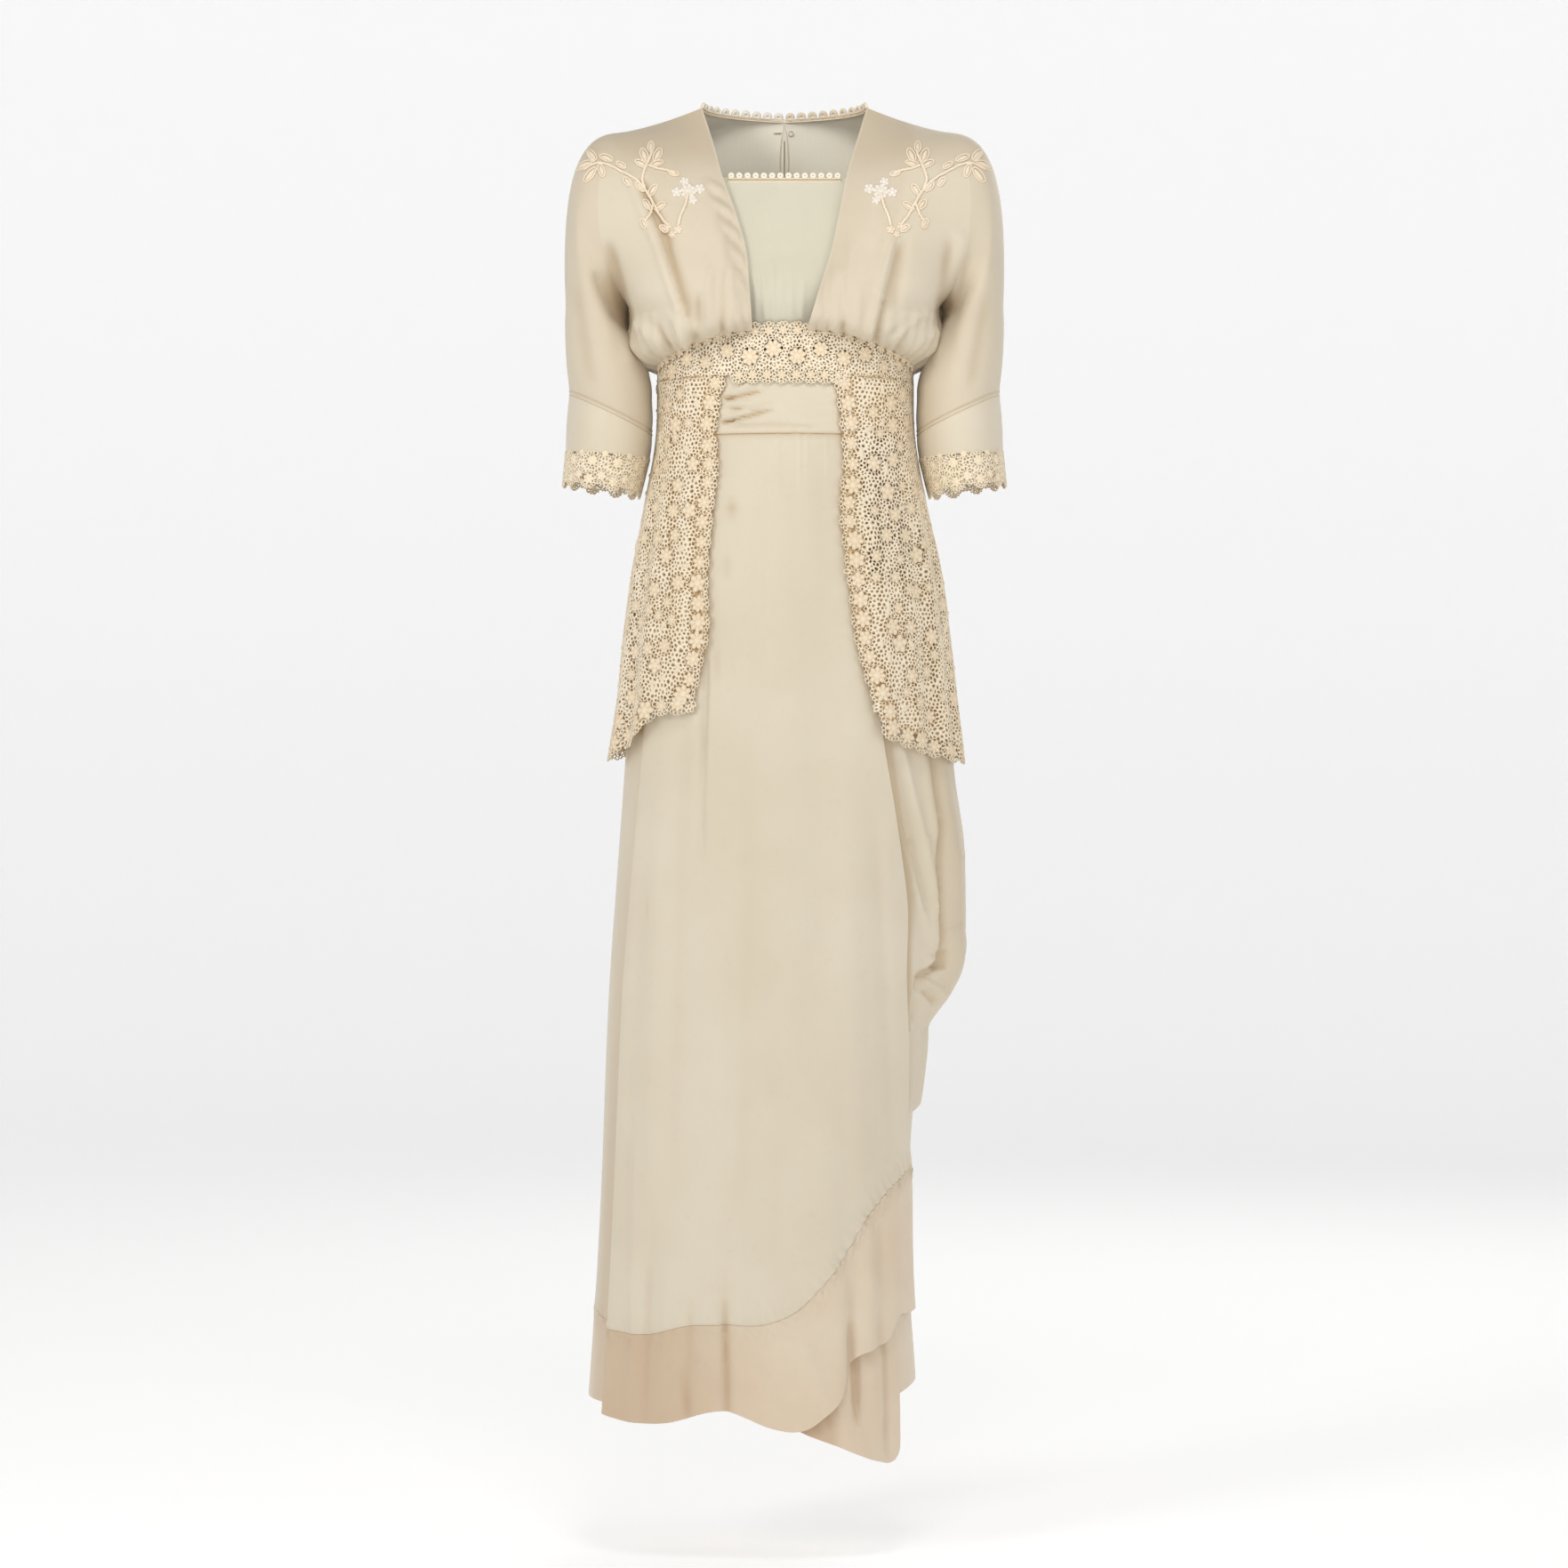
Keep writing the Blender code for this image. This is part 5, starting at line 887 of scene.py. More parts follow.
def gathers(station, steps, count, depth):
    """Uneven gathers that deepen towards the waist seam: a wave across whose pitch wanders, and a finer
    one."""
    across = steps[None, :]
    wave = np.sin(2 * np.pi * count * across + 1.7 * np.sin(9 * across)) + 0.5 * np.sin(41 * across + 1.0)
    growth = ramp(station, 5.2, 7.6)[:, None] * (1 - 0.35 * ramp(station, 7.6, 8.0)[:, None])
    return depth * wave * growth * ramp(across, 0, 0.05) * ramp(across, 1.0, 0.95)


def sleeve_grid(turns, rows):
    """Sleeve of the left side: each column is a cubic curve from the armhole to the slanted seam, and the
    inner side is tucked in a little under the blousing of the bodice."""
    top = armhole_loop(turns)
    seam = sleeve_ring("slanted_seam", turns)
    crown = (1 + np.cos(np.radians(turns))) / 2
    drop = np.linalg.norm(seam - top, axis=-1)
    signed = np.where(turns <= 180, turns, turns - 360)
    station = np.interp(np.abs(signed), ARMHOLE_TURNS["turn"], ARMHOLE_TURNS["station"])
    front_far, back_far = (read(pulls, "far_x far_y far_z", station) for pulls in (FRONT_PULLS, BACK_PULLS))
    far = np.where((turns <= 180)[:, None], front_far, back_far)
    _, crossing = shared_start(signed, top - far)
    start = sleeve_start(turns)
    first_pull = top + crossing * np.linalg.norm(start, axis=-1)[:, None]
    out = SEAM_REACH * crown - SEAM_HUG * (1 - crown)
    second_pull = seam + np.stack([out, 0 * crown, SEAM_RISE * drop], axis=-1)
    t = rows[:, None, None]
    grid = bezier(top[None], first_pull[None], second_pull[None], seam[None], t)
    tuck = along(SLEEVE_TUCK, "inwards", grid[..., 2]) * (1 - crown) ** 3
    grid[..., 0] -= tuck * ramp(grid[..., 2], seam[:, 2], seam[:, 2] + 4)
    return grid


FACINGS = columns("height left right", [(-230, 88, 100), (-193, 97, 108), (-99, 118, 143), (0, 137, 182)])
SLEEVE_FOLDS = {
    "left": [
        (196, -130, 176, -190, 8, -2.2), (205, -120, 184, -215, 8, 1.8), (214, -170, 196, -270, 9, -1.4),
        (232, -190, 226, -300, 10, 1.2), (176, -190, 160, -236, 7, 2.0),
    ],
    "right": [
        (-196, -150, -174, -200, 8, -2.4), (-206, -130, -182, -222, 8, 1.9),
        (-222, -160, -204, -270, 10, -1.2), (-236, -190, -230, -300, 10, 1.2),
        (-180, -196, -164, -238, 7, 2.2),
    ],
}
FOLD_SCALE = 1.6
FRONT_GATHERS = 12
BACK_GATHERS = 15
SIDES = (("left", 1.0), ("right", -1.0))
station = np.linspace(0.0, WAIST, 81)
steps = np.linspace(0.0, 1.0, 73) ** 1.2
armhole_rows = int(np.searchsorted(station, UNDERARM)) + 1
front_turns = along(ARMHOLE_TURNS, "turn", station[:armhole_rows])
sleeve_turns = np.concatenate([front_turns, 360 - front_turns[-2:0:-1]])
sleeve_rows = np.linspace(0.0, 1.0, 45)
for side, sign in SIDES:
    # Both sides are worked out as a left one, and the right one is reflected.
    reflect = np.array([sign, 1.0, 1.0])
    lower_edge = along(NECK_EDGES, side, np.array(WAIST))
    start = abs(float(angle_at(sign * lower_edge, -210.0, LACE_LAYER)))
    front_angles = sign * (start + steps * (90.0 - start))
    parting = CENTRE_BACK - BACK_PARTING / 2
    back_angles = sign * (parting - steps * (parting - 90.0))
    front_waist = on_figure(front_angles, waist_seam_height(front_angles), LACE_LAYER) * reflect
    back_waist = on_figure(back_angles, waist_seam_height(back_angles), LACE_LAYER) * reflect
    neck_edge = read(NECK_EDGES, f"{side} depth height", station)
    front = panel_grid(station, steps, neck_edge, FRONT_PULLS, 1, front_waist)
    back = panel_grid(station, steps, back_inner_edge(station), BACK_PULLS, -1, back_waist)
    sleeve = sleeve_grid(sleeve_turns, sleeve_rows)

    # Pieces that meet at the armhole and the shoulder share one outward direction there, so that their
    # outer and inner walls meet too.
    front_out = out_of(front)
    back_out = out_of(back[:, ::-1])[:, ::-1]
    sleeve_out = -out_of(sleeve, ring=True)
    rows = np.arange(armhole_rows)
    wrapped = (len(sleeve_turns) - rows) % len(sleeve_turns)
    common_front = unit(front_out[rows, -1] + sleeve_out[0, rows])
    common_back = unit(back_out[rows, -1] + sleeve_out[0, wrapped])
    front_out[rows, -1] = sleeve_out[0, rows] = common_front
    back_out[rows, -1] = sleeve_out[0, wrapped] = common_back
    front_out[0, :] = back_out[0, :] = unit(front_out[0, :] + back_out[0, :])

    # Folds run on across the armhole, so the front and the sleeve read the same list.
    fold_list = BODICE_FOLDS[side] + SLEEVE_FOLDS[side]
    edge = ramp(steps, 0, 0.05)[None, :] * ramp(station, WAIST, 7.6)[:, None]
    lift = FOLD_SCALE * folds_on(front * reflect, fold_list) * edge
    lift = lift + gathers(station, steps, FRONT_GATHERS, 1.3)
    front = front + front_out * lift[..., None]
    behind = folds_on(back, BACK_FOLDS) * edge + gathers(station, steps, BACK_GATHERS, 1.4)
    back = back + back_out * behind[..., None]
    sleeve_lift = FOLD_SCALE * folds_on(sleeve * reflect, fold_list) * ramp(sleeve_rows, 1.0, 0.9)[:, None]
    sleeve = sleeve + sleeve_out * sleeve_lift[..., None]

    flip = sign < 0
    faced = 0.13 * ramp(along(FACINGS, side, front[..., 2]) - front[..., 0], -5, 5)
    doubled = (0.24 * ramp(front[..., 2], -46, -12) + faced) * ramp(steps, 0.0, 0.03)
    # Painted shade deepens the fronts in the troughs of their folds; the doubled shoulders and the facings
    # are the cloth's own deeper tone.
    piece = cloth(f"bodice_front_{side}_chiffon", front * reflect, CHIFFON, "ivory_chiffon",
                  outward=front_out * reflect, flip=flip, tint=0.06 + doubled + 0.6 * ramp(-lift, 0.4, 4))
    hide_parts(f"bodice_front_{side}")
    # Painted shade deepens the backs in the troughs of their folds; their doubled tops are the cloth's own
    # deeper tone.
    tint = 0.35 * ramp(back[..., 2], -60, -10) + 0.3 * ramp(-behind, 0.5, 3)
    piece = cloth(f"bodice_back_{side}_chiffon", back * reflect, CHIFFON, "ivory_chiffon",
                  outward=back_out * reflect, flip=not flip, tint=tint, lining=0.0)
    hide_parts(f"bodice_back_{side}")
    # Lining sheet inside each back, its paleness partly painted light for the shaded inside of the neck.
    inner = (back - back_out * (SILK + 0.5))[:56:2, :64:2]
    piece = cloth(f"back_lining_{side}_net", inner * reflect, LINING, "pale_net", thick=0.4,
                  outward=back_out[:56:2, :64:2] * reflect, flip=not flip)
    # The sleeves are painted a little darker overall and deeper in the troughs of their folds, as shade;
    # their doubled tops are the cloth's own deeper tone.
    tint = 0.2 + 0.12 * ramp(sleeve[..., 2], -46, -12) + 0.5 * ramp(-sleeve_lift, 0.4, 4)
    piece = cloth(f"sleeve_{side}_chiffon", sleeve * reflect, CHIFFON, "ivory_chiffon",
                  ring=True, outward=sleeve_out * reflect, flip=not flip, tint=tint)
    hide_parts(f"sleeve_front_{side}", f"sleeve_back_{side}")

    drops = np.linspace(0, 1, 17)[:, None, None]
    band_turns = np.linspace(0, 360, 121)[:-1]
    upper = sleeve_ring("slanted_seam", band_turns)
    band = upper + drops * (sleeve_ring("band_hem", band_turns) - upper)
    band_out = -out_of(band, ring=True)
    band = band + band_out * np.sin(np.pi * drops)
    piece = cloth(f"sleeve_band_{side}_satin", band * reflect, CREAM_SATIN, "cream_satin",
                  ring=True, outward=band_out * reflect, flip=not flip)
    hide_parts(f"sleeve_band_{side}")

# Chemisette: a square of fine pale net filling the V, gathered into the belt, open at its top.
NET = cloth_material(
    "pale_net", (0.60, 0.56, 0.435), (0.43, 0.37, 0.25), (0.635, 0.595, 0.475),
    0.7, 0.2, 0.0011, 0.5, 0.00012, 0.0004)
CHEMISETTE = columns("height depth round half_left half_right", [
    (-46, -66, 0, 72, 72), (-86, -87, 0, 62, 58), (-126, -101, 0, 54, 46), (-160, -111, 0.5, 46, 42),
    (-188, -109, 3, 38, 40), (-203, -101.5, 5, 34, 39),
])
CHEMISETTE_FOOT = -214.0
CHEMISETTE_FOLDS = [
    (-22, -150, -20, -200, 3, 1.6), (-12, -140, -12, -200, 3, 1.3), (-32, -150, -29, -200, 3, 1.4),
    (-3, -160, -3, -200, 3, 1.0), (8, -150, 7, -202, 3, 0.9), (20, -160, 18, -202, 3, 1.1),
    (-16, -60, -18, -130, 6, 0.7), (18, -70, 12, -150, 7, 0.6),
]
steps = np.linspace(-1.0, 1.0, 61)
height = np.linspace(-46.0, -203.0, 61)[:, None]
half_left = along(CHEMISETTE, "half_left", height)
half_right = along(CHEMISETTE, "half_right", height)
x = (half_left - half_right) / 2 + steps * (half_left + half_right) / 2
y = along(CHEMISETTE, "depth", height) + along(CHEMISETTE, "round", height) * steps**2
net = np.stack(np.broadcast_arrays(x, y, height), axis=-1)
inside = LACE_LAYER - LACE - 0.7
foot_angles = np.linspace(
    angle_at(-39.0, CHEMISETTE_FOOT, inside), angle_at(34.0, CHEMISETTE_FOOT, inside), len(steps))
foot = on_figure(foot_angles, CHEMISETTE_FOOT, inside)[None]
net = np.concatenate([net, net[-1:] * 0.5 + foot * 0.5, foot])
folds = folds_on(net, CHEMISETTE_FOLDS) * ramp(net[..., 2], -212, -196)
net[..., 1] += 0.8 - folds
piece = cloth("chemisette_net", net, NET, "pale_net")
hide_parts("chemisette")

# Sash: a soft satin sash under the belt, laid in level pleats and drawn together in front, where drag
# folds fan out of two small dark pits on the wearer's right.
SASH_TOP = -232.0
SASH_BOTTOM = -318.0
SASH_PLEATS = 5
SASH_PLEAT_DEPTH = 0.8
SASH_FOLDS = [
    (-60, -279, -34, -266, 2.6, 2.2), (-60, -282, -24, -274, 2.0, -3.0), (-58, -287, -18, -286, 2.6, 2.2),
    (-58, -292, -28, -294, 2.2, -2.2), (-62, -281, -54, -280, 2.2, -3.0), (-64, -306, -54, -305, 2.2, -3.4),
    (-60, -303, -30, -290, 2.6, 2.2), (-60, -306, -14, -294, 2.0, -3.0), (-60, -308, 6, -303, 2.4, 2.0),
    (-58, -311, 34, -310, 2.2, -1.6), (-30, -264, 20, -258, 5, 1.0), (0, -290, 66, -280, 7, 1.1),
    (10, -300, 66, -297, 6, -0.8), (66, -268, 48, -272, 3, 1.6), (70, -291, 46, -293, 3, 1.5),
    (70, -286, 50, -284, 2.6, -1.4), (9, -312, 10, -320, 1.6, -1.6), (26, -312, 27, -320, 1.6, -1.6),
    (46, -312, 47, -320, 1.6, -1.6),
]
angles = np.linspace(-CENTRE_BACK + BACK_PARTING, CENTRE_BACK - BACK_PARTING, 171)
drops = np.linspace(0.0, 1.0, 41)
height = (SASH_TOP + drops * (SASH_BOTTOM - SASH_TOP))[:, None] + 0 * angles
front_share = 1 - ramp(np.abs(angles), 28, 60)
level_pleats = np.abs(np.sin(np.pi * drops * SASH_PLEATS + 0.8 * np.sin(drops * 7)))[:, None]
pleat = SASH_PLEAT_DEPTH * level_pleats * (1 - 0.75 * front_share)
folds = folds_on(on_figure(angles, height, 0), SASH_FOLDS)
sash = on_figure(angles, height, SASH_LAYER - 0.6 + pleat + folds * ramp(height, -240, -250))
# Painted shade: deeper in the troughs of its folds and pits, a dark line along its bottom edge, and warm
# ochre under the lace.
piece = cloth("waist_sash_satin", sash, CREAM_SATIN, "cream_satin", thick=1.0,
              tint=ramp(-folds, 0.4, 3.5) + 0.5 * ramp(drops, 0.965, 1.0)[:, None]
              + under_lace(angles, height))
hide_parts("waist_sash")

# Peplum, of the crochet lace that the belt and cuffs share: a cotton net of small uneven cells between
# separately worked flowers, each ringed by wider gaps, aged cream, with ochre shade painted into the gaps
# and hollows. Its two sides are open in front, edged by a row of flowers in lobes of net, and run round to
# centre back.
BELT_BOTTOM = -257.0
NET_PITCH = 5.15
RIM_PITCH = 21.0
FIELD_PITCH = 28.0
LEAF_PITCH = 24.0
THREAD_HALF = 0.85
FLOWER_LIFT = 0.25
MEASURED_OUT = 8.0
PEPLUM_STAND = columns("height out", [
    (-250, LACE_LAYER), (-311, LACE_LAYER + 0.4), (-390, 9.5), (-461, 10.5), (-532, 10.8),
    (-603, 14.0), (-660, 19.5),
])


def crochet_material(name, gap, thread, pale):
    """Matt cotton thread: cream on the crests and an ochre painted shade at the gaps and hollows, by the
    piece's own thread attribute, with slow clouds of age and a fine twisted bump."""
    material, tree, shader = new_material(name)
    crest = add_node(tree, "ShaderNodeAttribute", attribute_name="thread")
    tone = add_node(
        tree, "ShaderNodeGroup", node_tree=AGEING, Main=(*thread, 1.0), Pale=(*pale, 1.0), Deep=(*gap, 1.0),
        Cloud_Size=14.0, Fleck_Size=260.0)
    rise = add_node(tree, "ShaderNodeMapRange", Value=crest.outputs["Fac"], From_Min=0.0, From_Max=0.9)
    mixed = add_node(
        tree, "ShaderNodeMix", {0: rise.outputs["Result"], 6: (*gap, 1.0), 7: tone.outputs["Color"]},
        data_type="RGBA")
    place = add_node(tree, "ShaderNodeTexCoord").outputs["Object"]
    twist = add_node(tree, "ShaderNodeTexNoise", Vector=place, Scale=620.0, Detail=3.0, Roughness=0.65)
    bump = add_node(tree, "ShaderNodeBump", Height=twist.outputs["Fac"], Distance=0.0005, Strength=0.7)
    matt = add_node(tree, "ShaderNodeMapRange", Value=twist.outputs["Fac"], To_Min=0.72, To_Max=0.92)
    feed(
        shader, Base_Color=mixed.outputs[2], Roughness=matt.outputs["Result"], Normal=bump.outputs["Normal"])
    return material


CROCHET = crochet_material(
    "ecru_crochet", (0.82, 0.62, 0.36), (0.83, 0.735, 0.565), (0.86, 0.775, 0.635))
# Painted shade: the flowers' crochet is a darker copy of the net's, taking down the light on their flat
# tops, which face it more than the net's slanted threads.
SHADED_FLOWER_CROCHET = crochet_material(
    "flower_crochet", (0.70, 0.48, 0.25), (0.78, 0.68, 0.515), (0.81, 0.72, 0.57))


def run_of(line):
    """How far along a line of points each of them lies."""
    return np.concatenate([[0.0], np.linalg.norm(np.diff(line, axis=0), axis=1).cumsum()])


ring_angles = np.linspace(0, 200, 401)
ring_points = on_figure(ring_angles, -420.0, MEASURED_OUT)
ring_length = run_of(ring_points)
ring_share = ring_length / ring_length[ring_angles == CENTRE_BACK]


def half_round(height):
    """Half the way round the figure at a height, from centre front to centre back: half the perimeter of
    an ellipse by its two half sizes, pi times their root mean square."""
    wide = along(FIGURE, "half_width", height) + MEASURED_OUT
    deep = (along(FIGURE, "front", height) + along(FIGURE, "back", height)) / 2 + MEASURED_OUT
    return np.pi * np.sqrt((wide**2 + deep**2) / 2)


def angle_from(u, height):
    """Angle of the place that lies u round from centre front at a height."""
    return np.sign(u) * np.interp(np.abs(u) / half_round(height), ring_share, ring_angles)


def around(angle, height):
    """How far round from centre front an angle lies at a height."""
    return np.sign(angle) * np.interp(np.abs(angle), ring_angles, ring_share) * half_round(height)


def peplum_place(u, v):
    """Point of the hanging lace: on the figure's ring at its stand, with soft folds whose waves wander
    and deepen towards the hem."""
    angle = angle_from(u, v)
    turn = np.radians(angle)
    wave = np.sin(turn * 13 + 1.3 * np.sin(turn * 5)) + 0.5 * np.sin(angle * 0.41)
    fold = 1.5 * wave * ramp(v, -300, -480) + 1.3 * wave * ramp(v, -520, -640)
    return on_figure(angle, v, along(PEPLUM_STAND, "out", v) - THREAD_HALF + fold)


def belt_place(u, v):
    """Point of the belt, which lies close on its ring of the figure."""
    return on_figure(angle_from(u, v), v, LACE_LAYER - THREAD_HALF)


def spot_on(place, u, v):
    """Point and outward direction of a surface at a place: the cross product of two short steps."""
    here = place(u, v)
    return here, unit(np.cross(place(u + 0.4, v) - here, place(u, v + 0.4) - here))


def hex_sites(low_u, high_u, low_v, high_v, pitch, jitter, seed):
    """Rows of sites a pitch apart, every second row shifted by half, each site moved a little at random."""
    random = np.random.default_rng(seed)
    u, v = np.meshgrid(np.arange(low_u, high_u, pitch), np.arange(low_v, high_v, pitch * 0.866))
    u = u + np.where(np.arange(len(u)) % 2, pitch / 2, 0.0)[:, None]
    sites = np.stack([u.ravel(), v.ravel()], axis=-1)
    return sites + random.normal(0.0, jitter * pitch, sites.shape)


def round_sites(flowers, gap, pitch):
    """Sites in a ring round each flower, a gap outside its radius and about a pitch apart."""
    rings = []
    for u, v, radius, turn in flowers[:, :4]:
        reach = radius + gap
        count = max(6, int(round(2 * np.pi * reach / pitch)))
        turns = turn + 2 * np.pi * np.arange(count) / count
        rings.append(np.stack([u + reach * np.cos(turns), v + reach * np.sin(turns)], axis=-1))
    return np.concatenate(rings)


def rows_of(*values):
    """Table with one row for each place, flower or leaf, from columns or values that all of them share."""
    return np.stack(np.broadcast_arrays(*values), axis=-1)


def clearance(spots, flowers):
    """Distance from each spot to the rim of its nearest flower, minus inside it."""
    away = np.linalg.norm(spots[:, None] - flowers[None, :, :2], axis=-1) - flowers[None, :, 2]
    return away.min(axis=1)


def worked(spots, within, flowers, lobes, reach):
    """Where net is worked: within the piece and in a lobe round each flower on its edge, under no flower."""
    return (within | (clearance(spots, lobes) < reach)) & (clearance(spots, flowers) > -0.4)


def net_sites(area, flowers, pitch, seed):
    """Sites of a net: one ring just inside each flower, two round it, and jittered rows elsewhere."""
    inner = round_sites(flowers, -2.2, pitch)
    near = round_sites(flowers, 1.9, pitch * 0.86)
    far = round_sites(flowers, 6.0, pitch)
    near = near[clearance(near, flowers) > 1.2]
    far = far[clearance(far, flowers) > 5.0]
    filling = hex_sites(*area, pitch, 0.13, seed)
    filling = filling[clearance(filling, flowers) > 8.6]
    sites = np.concatenate([near, far, filling, inner])
    _, first = np.unique(np.round(sites / (pitch * 0.56)), axis=0, return_index=True)
    return sites[np.sort(first)]


def net_arrays(sites, keep, open_share, place):
    """Closed net. The sites are joined into triangles, and the corners of a cell are the centres of the
    triangles round its site, in order of angle. A thread's section is a diamond: its crest and its foot
    lie on the border of two cells, and its two sides on their gaps, whose corners are the cell's corners
    drawn towards the site. Cells at the edge are closed by an upright wall."""
    made = geometry.delaunay_2d_cdt([Vector(site) for site in sites], [], [], 0, 1e-6, False)
    spots = np.array([vertex[:] for vertex in made[0]])
    triangles = np.array([tuple(face) for face in made[2]])
    centres = spots[triangles].mean(axis=1)
    site = triangles.ravel()
    corner = np.repeat(np.arange(len(triangles)), 3)
    offset = centres[corner] - spots[site]
    order = np.lexsort((np.arctan2(offset[:, 1], offset[:, 0]), site))
    site, corner = site[order], corner[order]
    kept = keep(spots)[site]
    site, corner = site[kept], corner[kept]
    index = np.arange(len(site))
    first = np.searchsorted(site, site)
    last = np.searchsorted(site, site, side="right")
    following = np.where(index + 1 < last, index + 1, first)
    used, corner = np.unique(corner, return_inverse=True)
    share = open_share(spots[site])[:, None]
    gap = spots[site] + share * (centres[used][corner] - spots[site])
    crest, crest_out = spot_on(place, *centres[used].T)
    gap, _ = spot_on(place, *gap.T)
    points = np.concatenate([crest + crest_out * THREAD_HALF, crest - crest_out * THREAD_HALF, gap])
    foot = len(used)
    hole = 2 * len(used)
    here, there = corner, corner[following]
    top = np.stack([here, there, hole + following, hole + index], axis=-1)
    bottom = np.stack([foot + there, foot + here, hole + index, hole + following], axis=-1)
    forward = here.astype(np.int64) * foot + there
    lone = ~np.isin(forward, there.astype(np.int64) * foot + here)
    a, b = here[lone], there[lone]
    wall = np.stack([a, foot + a, foot + b, b], axis=-1)
    # Painted shade by depth: the crests full, the feet less and the edges of the gaps least.
    thread = np.concatenate([np.full(foot, 1.0), np.full(foot, 0.55), np.full(len(gap), 0.3)])
    return points, [top, bottom, wall], thread


FLOWER_RINGS = 5
FLOWER_COLUMNS = 28
FLOWER_SCALLOP = 0.34


def flower_arrays(flowers, place, lift):
    """Closed crochet flowers, each a polar grid of rings and columns. A row of the table is its middle,
    radius, turn and petals. The rim is scalloped by the size of the sine of half the petals' angle, the
    petals are domed across and along, and a round button stands in the middle."""
    u, v, radius, turn, petals = (flowers[:, k, None, None] for k in range(5))
    ring = np.linspace(0.0, 1.0, FLOWER_RINGS + 1)[1:][None, :, None]
    column = 2 * np.pi * np.arange(FLOWER_COLUMNS)[None, None, :] / FLOWER_COLUMNS
    petal = np.abs(np.sin(petals * column / 2)) ** 0.8
    reach = radius * ring * (1 - FLOWER_SCALLOP * (1 - petal) * ramp(ring, 0.3, 1.0))
    flat_u = u + reach * np.cos(column + turn)
    flat_v = v + reach * np.sin(column + turn)
    button = 1 - ramp(ring, 0.16, 0.36)
    dome = np.sin(np.pi * np.clip((ring - 0.28) / 0.72, 0, 1)) ** 0.8
    height = 0.1 + 0.4 * button + dome * (0.55 * petal - 0.25) + 0.2 * ramp(ring, 0.7, 0.95)
    base, out = spot_on(place, flat_u, flat_v)
    above = base + out * (lift + height)[..., None]
    below = base[:, -1] + out[:, -1] * (lift - 0.5)
    middle, middle_out = spot_on(place, flowers[:, 0], flowers[:, 1])
    per = FLOWER_RINGS * FLOWER_COLUMNS + FLOWER_COLUMNS + 2
    points = np.concatenate([
        above.reshape(len(flowers), -1, 3), below,
        (middle + middle_out * (lift + 1.2))[:, None], (middle + middle_out * (lift - 0.5))[:, None],
    ], axis=1).reshape(-1, 3)
    k = np.arange(FLOWER_COLUMNS)
    after = (k + 1) % FLOWER_COLUMNS
    rows = (np.arange(FLOWER_RINGS) * FLOWER_COLUMNS)[:, None]
    quads = np.stack([rows[:-1] + k, rows[1:] + k, rows[1:] + after, rows[:-1] + after], -1).reshape(-1, 4)
    rim = rows[-1] + FLOWER_COLUMNS
    side = np.stack([rows[-1] + k, rim + k, rim + after, rows[-1] + after], axis=-1)
    top = np.stack([np.full_like(k, per - 2), k, after], axis=-1)
    floor = np.stack([np.full_like(k, per - 1), rim + after, rim + k], axis=-1)
    start = (np.arange(len(flowers)) * per)[:, None, None]
    blocks = (np.concatenate([quads, side]), top, floor)
    faces = [(block[None] + start).reshape(-1, block.shape[1]) for block in blocks]
    shade = 0.1 + 0.85 * np.clip(1.2 * dome * petal**2 + button + 0.6 * ramp(ring, 0.8, 0.95), 0, 1)
    shade = np.broadcast_to(shade, above.shape[:-1])
    shade = np.concatenate([
        shade.reshape(len(flowers), -1), np.zeros((len(flowers), FLOWER_COLUMNS)) + 0.7,
        np.ones((len(flowers), 1)), np.zeros((len(flowers), 1)) + 0.7,
    ], axis=1).ravel()
    return points, faces, shade


def leaf_arrays(leaves, place, lift):
    """Closed crochet leaves. A row of the table is middle, half length, half width and turn. The outline is
    a pointed oval, the sine of the way along, with a ridge down the middle and ribs to both sides."""
    steps, sides = 9, 5
    t = np.linspace(0, 1, steps)[None, :, None]
    s = np.linspace(-1, 1, sides)[None, None, :]
    u, v, half_long, half_wide, turn = (leaves[:, k, None, None] for k in range(5))
    forward = (2 * t - 1) * half_long + 0 * s
    sideways = half_wide * np.sin(np.pi * np.clip(t, 0.03, 0.97)) ** 0.8 * s
    flat_u = u + forward * np.cos(turn) - sideways * np.sin(turn)
    flat_v = v + forward * np.sin(turn) + sideways * np.cos(turn)
    base, out = spot_on(place, flat_u, flat_v)
    rib = 0.3 * np.cos(2 * np.pi * (4 * t + 0.8 * np.abs(s)))
    height = 0.3 + (1.5 - 0.9 * np.abs(s) + rib) * np.sin(np.pi * t) ** 0.5 * (1 - s**4)
    above = base + out * (lift + height + 0 * u)[..., None]
    below = base + out * (lift - 0.5)
    grid = np.arange(steps * sides).reshape(steps, sides)
    a, b, c, d = grid[:-1, :-1], grid[1:, :-1], grid[1:, 1:], grid[:-1, 1:]
    upper = np.stack([a, b, c, d], axis=-1).reshape(-1, 4)
    under = steps * sides
    edge = np.concatenate([grid[:, 0], grid[-1, 1:], grid[-2::-1, -1], grid[0, -2:0:-1]])
    ahead = np.roll(edge, -1)
    wall = np.stack([edge, edge + under, ahead + under, ahead], axis=-1)
    block = np.concatenate([upper, upper[:, ::-1] + under, wall])
    start = (np.arange(len(leaves)) * 2 * under)[:, None, None]
    points = np.concatenate([above.reshape(len(leaves), -1, 3), below.reshape(len(leaves), -1, 3)], axis=1)
    shade = np.broadcast_to(0.55 + 0.45 * (1 - np.abs(s)), above.shape[:-1]).reshape(len(leaves), -1)
    shade = np.concatenate([shade, 0 * shade + 0.4], axis=1)
    return points.reshape(-1, 3), [(block[None] + start).reshape(-1, 4)], shade.ravel()


